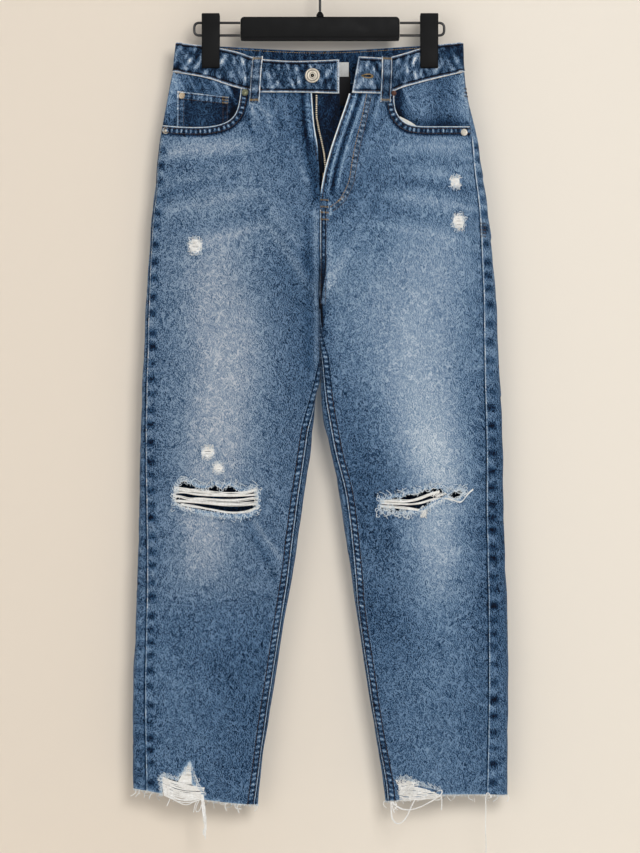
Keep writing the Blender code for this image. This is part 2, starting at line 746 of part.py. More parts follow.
def coin_pocket():
    grid = []
    for part in (0.0, 0.5, 1.0):
        row = []
        for share in (0.0, 0.12, 0.26, 0.5, 0.75, 1.0):
            top = 176.5 + 7.5 * share
            low = 234.0 - 2.0 * share
            a = 178.0 - 64.0 * share + 2.0 * part
            drop = max(top + (low - top) * part, float(FRONT_BAND("low", -a)) + SEAM_GAP + 2.0)
            row.append(spot(-1, drop, front_run(-1, drop, a)))
        grid.append(row)
    shell("coin_pocket", grid, -1.5, -2.4, DARK_BLUE)


def pocket_bag_left():
    rows = [(100.5, 207.0, 216.0), (106.0, 208.0, 222.0), (113.0, 212.0, 226.0), (121.0, 217.0, 229.0)]
    grid = []
    for part in (0.0, 0.5, 1.0):
        grid.append([front_spot(a, top + (low - top) * part) for a, top, low in rows])
    shell("pocket_bag_left", grid, -1.5, -2.3, (0.8, 0.79, 0.74))


def back_pocket(side):
    grid = []
    for part in (0.0, 0.2, 0.4, 0.6, 0.8, 1.0):
        row = []
        for k in range(7):
            across = k / 6 * 2 - 1
            centre = 104.0 + 2.0 * part
            half = 68.0 - 7.0 * part
            a = centre + across * half
            top = 272.0 - 6.0 * (across + 1) / 2
            low = 386.0 + 16.0 * (1 - abs(across))
            drop = top + (low - top) * part
            row.append(back_spot(side * a, drop))
        grid.append(row)
    shell("back_pocket_" + name_of(side), grid, LAYER_GAP + DENIM, LAYER_GAP, BLUE)


# ------------------------------------------------------------------ the open fly
CHAIN = Run("drop x level", [
    # centre line of the zip chain and the level of its front face behind the cloth's outer face
    (184.5, -5.2, -1.6),
    (206.0, -5.4, -2.4),
    (223.5, -3.0, -3.4),
    (242.0, 1.2, -5.0),
    (261.0, 4.6, -8.0),
    (279.0, 5.6, -11.5),
    (306.0, 5.0, -13.0),
])
CHAIN_WIDTH, CHAIN_THICK, SLIDER_TOP, SLIDER_LOW = 4.6, 2.0, 280.0, 291.0


def left_chain_x(drop):
    return float(CHAIN("x", drop)) + max(0.0, (SLIDER_TOP - drop) * 0.42) + (5.1 if drop < 279 else 4.9)


def fly_strip(name, drops, left_x, right_x, level, thick, colour, roughness=0.9):
    grid = []
    levels = []
    for drop in drops:
        x0, x1 = left_x(drop), right_x(drop)
        grid.append([front_spot(x0 + (x1 - x0) * k / 2, drop) for k in range(3)])
        levels.append([level(drop)] * 3)
    # the strip keeps one direction, straight out, so its edges stay square
    grid = [[(point, (0.0, -1.0, 0.0)) for point, _ in row] for row in grid]
    levels = np.array(levels)
    return shell(name, grid, levels, levels - thick, colour)


def fly():
    half = CHAIN_WIDTH / 2
    drops = [184.5, 195.0, 206.0, 216.0, 228.0, 242.0, 252.0, 262.0, 271.0, 279.6]
    level = lambda drop: float(CHAIN("level", drop))
    centre = lambda drop: float(CHAIN("x", drop))
    brass = (0.45, 0.36, 0.2)
    fly_strip("zip_chain_right", drops, lambda d: centre(d) - half, lambda d: centre(d) + half,
              level, CHAIN_THICK, brass)
    fly_strip("zip_tape_right", drops, lambda d: centre(d) - 14.0, lambda d: centre(d) - half - LAYER_GAP,
              lambda d: level(d) - 0.6, 0.8, DARK_BLUE)
    fly_strip("zip_chain_left", drops, lambda d: left_chain_x(d) - half, lambda d: left_chain_x(d) + half,
              lambda d: level(d) - 1.4 * (280 - d) / 95, CHAIN_THICK, brass)
    fly_strip("zip_tape_left", drops, lambda d: left_chain_x(d) + half + LAYER_GAP,
              lambda d: left_chain_x(d) + 14.0, lambda d: level(d) - 0.6 - 1.4 * (280 - d) / 95, 0.8, DARK_BLUE)
    low = [291.4, 299.0, 306.0]
    fly_strip("zip_chain_closed", low, lambda d: centre(d) - half + 2.5, lambda d: centre(d) + half + 2.5,
              level, CHAIN_THICK, brass)
    shield = Run("drop x0 x1", [(182.6, -24.0, 24.4), (205.0, -24.0, 24.4), (232.0, -23.0, 22.5),
                                (262.0, -19.0, 21.0), (290.0, -13.0, 18.0), (310.0, -7.0, 12.0)])
    clear = ((182.0, 214.0, 236.0, 262.0, 274.0, 310.0), (2.35, 2.4, 3.1, 3.3, 4.2, 4.2))
    behind = lambda d: level(d) - float(np.interp(d, *clear))
    fly_strip("fly_shield", [182.6, 194.0, 205.0, 218.0, 232.0, 248.0, 262.0, 276.0, 290.0, 301.0, 310.0],
              lambda d: float(shield("x0", d)), lambda d: float(shield("x1", d)),
              behind, 2.0, DARK_BLUE)
    x = float(CHAIN("x", 285.0)) + 2.5
    front_y = front_spot(x, 285.0)[0][1]
    chain_y = front_y - float(CHAIN("level", 285.0))
    face = chain_y - 1.2
    slider = [(-4.6, -SLIDER_TOP), (4.6, -SLIDER_TOP), (4.9, -SLIDER_TOP - 4.0), (3.2, -SLIDER_LOW),
              (-3.2, -SLIDER_LOW), (-4.9, -SLIDER_TOP - 4.0)]
    body = prism("zip_slider", [(x + u, v) for u, v in slider], face, chain_y + CHAIN_THICK + 1.2, "y",
                 brass, 0.4, 0.9)
    top = -SLIDER_TOP - 0.1
    crown = [(face + 0.5, top), (face - 3.0, top), (face - 3.6, top - 0.6), (face - 3.6, top - 4.2),
             (face - 3.0, top - 4.8), (face + 0.5, top - 4.8), (face + 0.5, top - 3.8), (face - 2.6, top - 3.8),
             (face - 2.6, top - 1.0), (face + 0.5, top - 1.0)]
    arch = prism("zip_crown", crown, x - 0.8, x + 0.8, "x", brass, 0.4, 0.9)
    join(body, arch)
    middle = top - 2.0
    hinge = (x, face - 1.3, middle)
    across = [-3.4, -1.3, 1.3, 3.4]
    down = [0.7, -0.7, -3.9, -10.5, -13.0]
    narrow = [0.75, 0.85, 1.0, 1.05, 0.7]
    grid = [[((x + u * slim, face - 1.3, middle + v), (0.0, -1.0, 0.0)) for u in across]
            for v, slim in zip(down, narrow)]
    shell("zip_pull", grid, 0.7, -0.7, brass, {(1, 1)}, hinge)


# ------------------------------------------------------------------ threads of the rips and hems
def knee_threads(side):
    word = name_of(side)
    rip = KNEE_RIP[word]
    grid = []
    for part in (0.0, 0.5, 1.0):
        row = []
        for k, (a, upper, lower) in enumerate(rip):
            a += 1.2 if k == 0 else -1.2 if k == len(rip) - 1 else 0.0
            drop = upper + 0.8 + (lower - upper - 1.6) * part
            row.append(spot(side, drop, front_run(side, drop, a)))
        grid.append(row)
    shell("knee_threads_" + word, grid, -0.2, -0.9, THREAD_WHITE)


def hem_fray_right():
    tear_a = [a for a, _ in HEM_TEAR]
    tear_drop = [drop or hem_drop(-1, a) for a, drop in HEM_TEAR]
    columns = []
    for a, low in ((194.0, 1058.0), (180.0, 1068.0), (162.5, 1076.0), (153.0, 1078.0), (147.5, 1110.0),
                   (144.0, 1110.5)):
        columns.append((a, float(np.interp(a, tear_a, tear_drop)) + 2.2, low))
    grid = []
    for part in (0.0, 0.4, 1.0):
        row = []
        for a, top, low in columns:
            drop = top + (low - top) * part
            row.append(spot(-1, drop, front_run(-1, drop, a)))
        grid.append(row)
    shell("hem_fray_right", grid, -0.2, -0.9, THREAD_WHITE)


def hem_fray_left():
    columns = [(95.5, 1038.0, 1092.0), (100.0, 1036.0, 1088.0), (110.0, 1036.0, 1076.0),
               (130.0, 1036.0, 1062.0), (152.0, 1038.0, 1066.0)]
    grid = []
    for part in (0.0, 0.4, 0.7, 1.0):
        row = []
        for a, top, low in columns:
            drop = top + (low - top) * part
            row.append(spot(1, drop, front_run(1, drop, a)))
        grid.append(row)
    shell("hem_fray_left", grid, LAYER_GAP + 0.7, LAYER_GAP, THREAD_WHITE)


def loose_thread_left():
    grid = []
    for x0, drop in ((206.5, 1055.0), (206.8, 1080.0), (207.6, 1105.0), (206.9, 1130.0), (207.4, 1142.0)):
        point, _ = front_spot(206.5, min(drop, 1055.0))
        grid.append([((x0 + k, point[1] + 0.3, -drop), (0.0, -1.0, 0.0)) for k in (0.0, 0.9)])
    shell("loose_thread_left", grid, 0.0, -0.9, BLUE)


# ------------------------------------------------------------------ metal trim and labels
def button_and_rivets():
    place, way = front_seat(-9.1, 160.1, BAND_OUT + LAYER_GAP + 0.1)
    turned("waist_button", place, way,
           [(0, 0), (4.2, 0), (4.2, 1.8), (BUTTON_RADIUS - 0.7, 2.2), (BUTTON_RADIUS, 3.2),
            (BUTTON_RADIUS - 0.6, 4.3), (6.6, 4.6), (5.4, 4.0), (1.8, 3.9), (0, 3.9)],
           20, (0.6, 0.56, 0.48), 0.35, 0.8)
    rivets = [("rivet_right_side", -192.4, 226.0, RIVET_RADIUS), ("rivet_right_fly", -93.2, 179.3, RIVET_RADIUS),
              ("rivet_left_fly", 91.8, 180.4, 3.2), ("rivet_left_side", 179.6, 228.6, RIVET_RADIUS)]
    for name, x, drop, radius in rivets:
        lift = BAND_OUT + LAYER_GAP + 0.2 if drop < 200 else LAYER_GAP + 0.2
        place, way = front_seat(x, drop, lift - (1.5 if name == "rivet_right_side" else 0.0))
        turned(name, place, way, [(0, 0), (radius, 0), (radius, 0.7), (radius * 0.6, 1.4), (0, 1.5)],
               12, (0.45, 0.32, 0.22), 0.4, 0.8)
    place, way = front_seat(-172.6, 182.4, -1.5 + LAYER_GAP + 0.3)
    turned("rivet_coin", place, way, [(0, 0), (3.9, 0), (3.9, 0.6), (2.4, 1.2), (0, 1.3)],
           12, (0.45, 0.25, 0.16), 0.4, 0.8)


def labels():
    def patch(name, x0, x1, drop0, drop1, level, thick, colour):
        grid = []
        for part in (0.0, 0.5, 1.0):
            row = []
            for k in range(4):
                point, _ = back_spot(x0 + (x1 - x0) * k / 3, drop0 + (drop1 - drop0) * part)
                row.append((point, (0.0, 1.0, 0.0)))
            grid.append(row)
        shell(name, grid, level, level - thick, colour)

    patch("inner_label", -22.0, 38.0, 152.0, 193.0, BAND_IN - LAYER_GAP - 0.2, 0.6, (0.03, 0.03, 0.035))
    patch("size_label", 21.0, 36.0, 139.6, 157.5, BAND_IN - LAYER_GAP * 2 - 0.8, 0.5, (0.8, 0.8, 0.78))


# ------------------------------------------------------------------ hanger
BLACK = (0.012, 0.012, 0.013)


def hanger():
    half = BAR_WIDTH / 2
    top, low, corner = -BAR_TOP, -BAR_TOP - BAR_HEIGHT, 6.0
    outline = []
    for cx, cz, start in ((half - corner, top - corner, 0), (-half + corner, top - corner, 90),
                          (-half + corner, low + corner, 180), (half - corner, low + corner, 270)):
        for k in range(5):
            turn = math.radians(start + k * 22.5)
            outline.append((cx + corner * math.cos(turn), cz + corner * math.sin(turn)))
    prism("hanger_bar", outline, -BAR_DEPTH / 2, BAR_DEPTH / 2, "y", BLACK, 0.45)
    turned("hanger_ferrule", (0, 0, top + LAYER_GAP), (0, 0, 1),
           [(0, 0), (4.6, 0), (4.6, 2.4), (3.6, 4.9), (2.2, 6.0), (0, 6.0)], 16, BLACK, 0.45, 0.0)
    shank = [(0.0, 0.0, top + 6.0 + LAYER_GAP * 2), (0.0, 0.0, -60.0), (0.0, 0.0, -48.5)]
    for k in range(1, 6):
        turn = math.radians(180 - k * 21.0)
        shank.append((8.0 + 8.0 * math.cos(turn), 0.0, -48.5 + 8.0 * math.sin(turn)))
    for k in range(0, 22):
        turn = math.radians(-70.0 + k * 12.9)
        shank.append((21.6 * math.cos(turn), 0.0, -20.0 + 21.6 * math.sin(turn)))
    tube("hanger_hook", shank, WIRE_RADIUS, 8, (0.6, 0.6, 0.6))
    for side in (-1, 1):
        start = side * (half + LAYER_GAP)
        end = 158.8 if side < 0 else 156.8
        upper, lower, bend = -90.9, -106.6, 6.0
        path = [(start, 0, upper), (side * 128.0, 0, upper)]
        for k in range(5):
            turn = math.radians(90 - k * 22.5)
            path.append((side * (end - WIRE_RADIUS - bend + bend * math.cos(turn)), 0,
                         upper - bend + bend * math.sin(turn)))
        for k in range(5):
            turn = math.radians(-k * 22.5)
            path.append((side * (end - WIRE_RADIUS - bend + bend * math.cos(turn)), 0,
                         lower + bend + bend * math.sin(turn)))
        path += [(side * 128.0, 0, lower), (start, 0, lower)]
        tube("hanger_wire_" + name_of(side), path, WIRE_RADIUS, 8, (0.6, 0.6, 0.6))
        middle = side * 136.4
        for face, way in (("front", -1), ("back", 1)):
            jaw = [(3.9, -CLIP_LOW), (7.2, -CLIP_LOW), (8.4, -CLIP_LOW + 8.0), (9.0, -104.0), (12.4, -CLIP_TOP),
                   (9.4, -CLIP_TOP), (6.0, -95.0), (5.2, -103.0), (5.2, -118.0), (3.9, -126.0)]
            prism("clip_jaw_" + face + "_" + name_of(side), [(way * y, z) for y, z in jaw],
                  middle - CLIP_WIDTH / 2, middle + CLIP_WIDTH / 2, "x", BLACK, 0.5)
        high, bottom = upper - WIRE_RADIUS - LAYER_GAP, lower + WIRE_RADIUS + LAYER_GAP
        core = [(-4.9, bottom), (4.9, bottom), (4.9, bottom + 3.5), (4.4, high), (-4.4, high), (-4.9, bottom + 3.5)]
        prism("clip_core_" + name_of(side), core, middle - 9.0, middle + 9.0, "x", BLACK, 0.5)


# ------------------------------------------------------------------ build
def main():
    for old in list(bpy.data.objects):
        bpy.data.objects.remove(old, do_unlink=True)
    for side in (-1, 1):
        front_panel(side)
        back_panel(side)
        yoke(side)
        facing(side)
        back_pocket(side)
        knee_threads(side)
    waistband()
    belt_loop("belt_loop_front_right", "front", -77.0, -81.5, (134.0, 192.0))
    belt_loop("belt_loop_front_left", "front", 83.2, 81.2, (134.0, 192.0))
    belt_loop("belt_loop_back_right", "back", -106.0, -106.0, (119.0, 175.0))
    belt_loop("belt_loop_back_left", "back", 106.0, 106.0, (119.0, 175.0))
    belt_loop("belt_loop_centre_back", "back", 0.5, 0.5, (122.0, 179.0))
    coin_pocket()
    pocket_bag_left()
    fly()
    hem_fray_right()
    hem_fray_left()
    loose_thread_left()
    button_and_rivets()
    labels()
    hanger()


main()
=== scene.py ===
"""Ripped five-pocket jeans hanging from a clip hanger: the dressed model.

The file is laid out as a Blender add-on and run as a script. The cloth lies on the same body form as
the solids: a flattened tube at the waist and hips that divides into two legs at the crotch. Sizes are
in millimetres until a mesh is written. "drop" is a distance below the inside top of the hook, "a" is a
distance out from the middle, and "run" is a distance round one half of the form, from its inner edge
round the front, the side fold and the back.
"""
import json
import math
from functools import lru_cache

import bpy
import mathutils
import numpy as np
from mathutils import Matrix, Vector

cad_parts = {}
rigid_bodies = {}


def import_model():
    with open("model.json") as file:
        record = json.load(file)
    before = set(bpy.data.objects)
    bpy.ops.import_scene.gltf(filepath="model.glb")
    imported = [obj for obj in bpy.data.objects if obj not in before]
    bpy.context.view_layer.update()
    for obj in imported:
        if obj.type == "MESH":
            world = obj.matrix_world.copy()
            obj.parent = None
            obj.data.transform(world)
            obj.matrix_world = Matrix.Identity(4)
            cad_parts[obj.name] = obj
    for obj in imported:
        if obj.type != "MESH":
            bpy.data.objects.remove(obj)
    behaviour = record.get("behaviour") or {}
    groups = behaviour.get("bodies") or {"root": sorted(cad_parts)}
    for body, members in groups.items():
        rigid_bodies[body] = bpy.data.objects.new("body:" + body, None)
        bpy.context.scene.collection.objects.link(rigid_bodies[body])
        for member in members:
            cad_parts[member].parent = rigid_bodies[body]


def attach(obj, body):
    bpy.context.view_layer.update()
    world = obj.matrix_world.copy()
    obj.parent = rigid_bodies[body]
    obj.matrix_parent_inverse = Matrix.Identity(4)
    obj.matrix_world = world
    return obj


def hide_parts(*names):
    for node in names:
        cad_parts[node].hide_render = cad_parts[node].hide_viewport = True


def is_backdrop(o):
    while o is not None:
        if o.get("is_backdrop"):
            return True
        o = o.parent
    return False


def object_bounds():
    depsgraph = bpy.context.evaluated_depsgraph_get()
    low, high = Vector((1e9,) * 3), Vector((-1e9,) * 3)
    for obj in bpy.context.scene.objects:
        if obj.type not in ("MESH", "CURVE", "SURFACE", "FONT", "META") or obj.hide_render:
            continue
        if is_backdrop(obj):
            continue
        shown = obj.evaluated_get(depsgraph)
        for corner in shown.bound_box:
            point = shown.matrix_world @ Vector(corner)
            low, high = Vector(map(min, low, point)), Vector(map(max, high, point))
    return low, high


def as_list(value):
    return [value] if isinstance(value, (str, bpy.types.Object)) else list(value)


bl_info = {
    "name": "Ripped jeans on a clip hanger",
    "version": (1, 0, 0),
    "blender": (4, 5, 0),
    "location": "3D View > Sidebar > Jeans",
    "description": "Builds worn, ripped denim jeans on a clip hanger, piece by piece",
    "category": "Add Mesh",
}

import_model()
CAD_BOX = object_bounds()
MM = 0.001

# ------------------------------------------------------------------ driving sizes (mm)
DENIM = 1.2            # thickness of one layer of denim
SEAM_GAP = 0.4         # open line between two neighbouring pieces
LAYER_GAP = 0.3        # between a piece and what lies on it
BAND_OUT = 0.4         # the waistband stands this far out of the body form
BAND_IN = -2.2         # and reaches this far inside it
CROTCH = 443.5         # drop of the crotch point
FLY_END = 312.0        # drop of the bottom of the fly
CLIP_REACH = 118.0     # the waist is open between the clips out to here
RIVET_RADIUS = 4.4
BAR_WIDTH, BAR_HEIGHT, BAR_TOP = 199.0, 30.0, 83.5
WIRE_RADIUS = 1.6
CLIP_WIDTH, CLIP_TOP, CLIP_LOW = 22.5, 79.8, 148.0
BAND_RIGHT_END, BAND_LEFT_TOP, BAND_LEFT_LOW = 23.8, 46.2, 36.5
LEFT_END = 47.0        # the last even column of the waistband before its left end
SIDE_TOP, SIDE_LOW = 115.3, 152.3   # drops of the waistband's two edges at the side folds
YOKE_FOLD = 205.0      # drop of the yoke seam at the side folds
TUCK = 0.6             # the front panels start this far below the waistband's lower edge
HEM_DROP = 1055.0      # a usual drop of the raw hem
LOOP_HALF = 6.25       # half the width of a belt loop
MOUTH_BAND = 10.6      # width of the folded band along a pocket mouth
COIN_LEFT, COIN_WIDTH, COIN_TOP, COIN_TILT = 178.0, 64.0, 176.5, 7.5
PATCH_MIDDLE, PATCH_HALF, PATCH_TOP, PATCH_LOW = 104.0, 68.0, 272.0, 386.0


def unit(value):
    return np.clip(value, 0, 1)


def fade_in(value, start, over):
    """0 at start and 1 at start + over; over is below 0 for a fade the other way."""
    return unit((value - start) / over)


def peak(value, middle, wide, power=2):
    """1 at the middle, falling off on both sides; a higher power gives a flatter top."""
    return np.exp(-((value - middle) / wide) ** power)


class Run:
    """Smooth runs through a table's rows, one for each named column, over the first one."""

    def __init__(self, columns, rows):
        table = np.array(rows, float)
        self.at = table[:, 0]
        self.values = {}
        step = np.diff(self.at)
        for number, name in enumerate(columns.split()[1:]):
            value = table[:, number + 1]
            rise = np.diff(value) / step
            slope = np.zeros(len(value))
            slope[0], slope[-1] = rise[0], rise[-1]
            for i in range(1, len(value) - 1):
                if rise[i - 1] * rise[i] > 0:
                    slope[i] = 2 * rise[i - 1] * rise[i] / (rise[i - 1] + rise[i])
            self.values[name] = (value, slope)

    def __call__(self, name, where):
        value, slope = self.values[name]
        where = np.clip(where, self.at[0], self.at[-1])
        i = np.clip(np.searchsorted(self.at, where) - 1, 0, len(self.at) - 2)
        step = self.at[i + 1] - self.at[i]
        t = (where - self.at[i]) / step
        return (value[i] * (1 + 2 * t) * (1 - t) ** 2 + value[i + 1] * t * t * (3 - 2 * t)
                + step * (slope[i] * t * (1 - t) ** 2 - slope[i + 1] * t * t * (1 - t)))


# ------------------------------------------------------------------ the garment's outline
WIDTHS = Run("drop right_out right_in left_in left_out", [
    (112, 179, 0.3, 0.3, 178),
    (118.5, 180, 0.3, 0.3, 178.8),
    (137, 182.3, 0.3, 0.3, 179.3),
    (152.3, 184, 0.3, 0.3, 180.5),
    (168.5, 187.5, 0.3, 0.3, 182),
    (187.3, 191, 0.3, 0.3, 185),
    (212.3, 195.5, 0.3, 0.3, 191.3),
    (237.3, 200, 0.3, 0.3, 197),
    (262.3, 202.7, 0.3, 0.3, 200.7),
    (287.3, 204.8, 0.3, 0.3, 204.2),
    (337.3, 209.8, 0.3, 0.3, 211.3),
    (387.3, 214, 0.3, 0.3, 216),
    (437.3, 217.3, 0.3, 0.3, 219.8),
    (487.3, 219.2, 0.3, 0.3, 222.5),
    (537.3, 221.5, 0.5, 0.5, 225),
    (557.3, 222.4, 5, 1.2, 226),
    (587.3, 223.7, 7.6, 4, 227.4),
    (612.3, 224.5, 10.4, 11, 228.2),
    (637.3, 225, 13.9, 16.4, 228.7),
    (687.3, 225.6, 20.8, 25, 229.3),
    (762.3, 227.5, 31.3, 36.4, 231.6),
    (812.3, 229.2, 40, 43.8, 233.4),
    (862.3, 231.3, 48.5, 51.2, 234.2),
    (912.3, 233.2, 56.4, 58.8, 234.9),
    (962.3, 233.8, 64.8, 66.4, 235),
    (1012.3, 233.9, 72.2, 74.7, 234.7),
    (1070, 234, 77.6, 83, 233.7),
])

SEAMS = Run("drop right_side right_inner left_inner left_side", [
    # distance of each seam from its fold, measured round the front
    (112, 1.5, 2.2, 2.2, 3),
    (187, 2.4, 2.2, 2.2, 3.2),
    (222, 2.8, 2.2, 2.2, 9.8),
    (262, 3.4, 2.2, 2.2, 13),
    (312, 4.2, 2.2, 2.2, 14.6),
    (376, 5.6, 2.2, 2.2, 17.4),
    (444, 7.6, 2.2, 2.2, 20.4),
    (518, 9.2, 4.6, 5.2, 23),
    (612, 10.8, 6.8, 6.4, 24.6),
    (687, 13, 7.4, 10.4, 25.4),
    (790, 16.6, 7.2, 6.6, 26.8),
    (892, 18.6, 6.6, 5.8, 27.8),
    (1070, 21.4, 5.4, 5.8, 29.8),
])

FORM = Run("drop edge front back leg_front leg_back one_body pinch", [
    # edge: half thickness at a fold; front and back: how far the body bulges beyond it;
    # one_body: 1 where both halves are one tube, 0 in the legs; pinch: 1 where the clips hold it flat
    (112, 3.2, 24, 7, 12, 12, 1, 1),
    (150, 3.2, 28, 8.5, 12, 12, 1, 1),
    (185, 3.9, 30, 14, 12, 12, 1, 0.66),
    (230, 4.6, 30.5, 21, 13, 13, 1, 0.15),
    (275, 4.8, 30, 24, 13.5, 14, 1, 0),
    (335, 5, 27.5, 25, 13.5, 15, 0.98, 0),
    (380, 5, 26, 25, 13.5, 15, 0.84, 0),
    (415, 5, 24, 23, 13.5, 15, 0.50, 0),
    (443.5, 5, 22, 21, 13, 14.5, 0.09, 0),
    (560, 5, 20, 20, 10.5, 12.5, 0, 0),
    (690, 5, 20, 20, 9, 10.5, 0, 0),
    (850, 5, 20, 20, 8, 9.5, 0, 0),
    (1070, 5, 20, 20, 6.5, 8, 0, 0),
])

FOLDS = [
    # side, face, a and drop of one end, a and drop of the other, half width, height
    (-1, "front", 96, 708, 58, 768, 9, 2.4), (-1, "front", 205, 720, 150, 742, 10, 1.8),
    (-1, "front", 60, 632, 30, 655, 9, 1.6), (1, "front", 70, 712, 120, 752, 11, 1.8),
    (1, "front", 205, 652, 150, 640, 9, 1.4), (-1, "front", 60, 330, 10, 420, 12, 2),
    (1, "front", 70, 345, 12, 425, 12, 2), (-1, "front", 185, 268, 120, 252, 8, 1.2),
    (1, "front", 182, 262, 110, 250, 8, 1.2), (-1, "front", 110, 960, 190, 985, 12, 1.3),
    (1, "front", 120, 950, 200, 930, 12, 1.3), (-1, "back", 60, 445, 140, 470, 12, 2),
    (1, "back", 60, 445, 140, 468, 12, 2), (-1, "back", 60, 680, 190, 668, 12, 2),
    (1, "back", 60, 672, 190, 684, 12, 2), (-1, "back", 80, 705, 180, 715, 10, 1.6),
    (1, "back", 80, 712, 180, 702, 10, 1.6),
]

FRONT_BAND = Run("x top low", [
    (-184, 115.4, 152.3),
    (-160, 117.6, 156.3),
    (-137.5, 120.5, 161),
    (-120, 123.5, 167),
    (-100, 128.5, 173.5),
    (-87.5, 133.5, 177),
    (-72.5, 137.3, 179.1),
    (-25, 141, 180.4),
    (22.5, 139.1, 181.6),
    (46, 134.8, 180.6),
    (81, 135.4, 180.4),
    (92.5, 133, 177),
    (102, 130.2, 172.5),
    (123.8, 123.4, 166),
    (147.5, 118, 160),
    (181, 115, 152.3),
])

BACK_BAND = Run("x top low", [
    (-184, 115.4, 152.3),
    (-122.5, 120.4, 160),
    (0, 125, 166),
    (123.8, 119.8, 160),
    (181, 115, 152.3),
])

FLY_EDGE = Run("drop right left", [
    # a of each front panel's free edge at the open fly; they meet at its bottom
    (176, 10.4, 37.2),
    (183, 10, 35.6),
    (217, 7.6, 24.4),
    (249, 2.9, 13.6),
    (277, 1.2, 5.9),
    (298, 0.5, 1.8),
    (FLY_END, 0.2, 0.2),
    (CROTCH, 0.2, 0.2),
])

POCKET_MOUTH = {
    # a and drop along the curved edge, from the waist seam to the side seam
    "right": [
        (98.5, 0), (100.5, 192), (104.5, 206.5), (115, 216.7), (134, 222.1), (155, 222.8), (176, 221.8),
        (192.8, 219.2),
    ],
    "left": [
        (92.5, 0), (92, 193), (96, 208), (106.5, 219), (122, 222.2), (142, 221.8), (164, 221.4),
        (182.5, 221),
    ],
}

KNEE_RIP = {
    # a, drop of the upper edge, drop of the lower edge
    "right": [
        (78, 680, 696.5), (84, 671.5, 702), (90, 675.5, 704), (101, 676.5, 705), (108, 672, 705.5),
        (113, 668, 705.5), (117.5, 669.5, 705), (121.5, 674.5, 704.5), (126, 672.5, 703.5), (131, 667, 703),
        (137, 671.5, 702), (146, 673, 700.5), (156, 671, 698.5), (161, 667, 697.5), (168, 664.5, 696),
        (174, 665, 694), (180, 675, 690.5),
    ],
    "left": [
        (76, 687.5, 700), (89, 685, 701.5), (96, 683.2, 702), (101, 685, 701.8), (107, 681, 701),
        (112, 679.3, 700.4), (115, 680.6, 701), (121, 679, 700.6), (127, 677, 698.4), (133, 673.4, 695),
        (137, 675.3, 691.6), (142, 671, 688.4), (147, 673.6, 686.6), (151.5, 672.4, 685),
        (156, 679.4, 681.4), (163, 679.8, 681.8), (167, 676.6, 686), (172, 675.4, 685.4),
        (177.5, 674.8, 678.4),
    ],
}

HEM = Run("x drop", [
    (-234, 1047.3),
    (-150, 1060),
    (-77, 1067.3),
    (82, 1063),
    (155, 1054.4),
    (206, 1054.3),
    (235, 1055.4),
])

# a, drop (0: the hem)
HEM_TEAR = [(141, 0), (149, 1050), (159.8, 1041.5), (161.8, 1013), (178, 1037.5), (196, 1031), (198, 0)]
YOKE_LINE = Run("a drop", [(0, 246), (60, 236), (120, 222), (185, 205), (200, 204)])


# ------------------------------------------------------------------ the body form
def name_of(side):
    return "left" if side > 0 else "right"


def quarter_round(share):
    share = unit(share)
    return np.sqrt(1 - (1 - share) ** 2)


def section(side, drop):
    outer = float(WIDTHS(name_of(side) + "_out", drop))
    inner = float(WIDTHS(name_of(side) + "_in", drop)) if drop > CROTCH else 0.0
    return inner, outer


def fold_relief(side, face, a, drop):
    total = np.zeros_like(a)
    for where, which, a0, drop0, a1, drop1, half, height in FOLDS:
        if where != side or which != face:
            continue
        da, dd = a1 - a0, drop1 - drop0
        along = unit(((a - a0) * da + (drop - drop0) * dd) / (da * da + dd * dd))
        off = np.hypot(a - a0 - along * da, drop - drop0 - along * dd) / half
        total += height * np.exp(-off * off) * (1 - 0.35 * off * off * np.exp(-0.3 * off * off))
    return total


def depth(side, a, drop, face):
    """Distance of the cloth's outer face from the middle plane."""
    inner, outer = section(side, drop)
    edge = FORM("edge", drop)
    one = FORM("one_body", drop) if drop <= CROTCH else 0.0
    pinch = FORM("pinch", drop)
    rim = quarter_round((outer - a) / edge)
    inside = one + (1 - one) * quarter_round((a - inner) / edge)
    full = (1 - unit(a / outer) ** 2.4) ** 0.9
    held = (0.5 + 0.5 * np.cos(math.pi * unit(a / CLIP_REACH))) ** 0.8
    body = FORM(face, drop) * (full + (held - full) * pinch)
    along = unit((a - inner) / (outer - inner))
    leg = FORM("leg_" + face, drop) * (4 * along * (1 - along)) ** 0.7
    relief = fold_relief(side, face, a, drop) * rim * inside
    return edge * rim * inside + one * body + (1 - one) * leg + relief


TURN = 180


@lru_cache(maxsize=None)
def ring(side, drop):
    """One half's outline at one drop: from its inner edge round the front, the fold and the back."""
    inner, outer = section(side, drop)
    a = inner + (outer - inner) * (1 - np.cos(np.linspace(0, math.pi, TURN + 1))) / 2
    front = np.column_stack([side * a, -depth(side, a, drop, "front")])
    back = np.column_stack([side * a, depth(side, a, drop, "back")])[::-1]
    line = np.vstack([front, back[1:]])
    steps = np.linalg.norm(np.diff(line, axis=0), axis=1)
    run = np.concatenate([[0.0], np.cumsum(steps)])
    return a, line, run


# ------------------------------------------------------------------ the form as a chart to lay cloth on
FIRST_DROP, STAIR, LEAD, PACE = 112.0, 1.5, 48.0, 0.5
OUT = np.arange(0.0, 240.5, PACE)


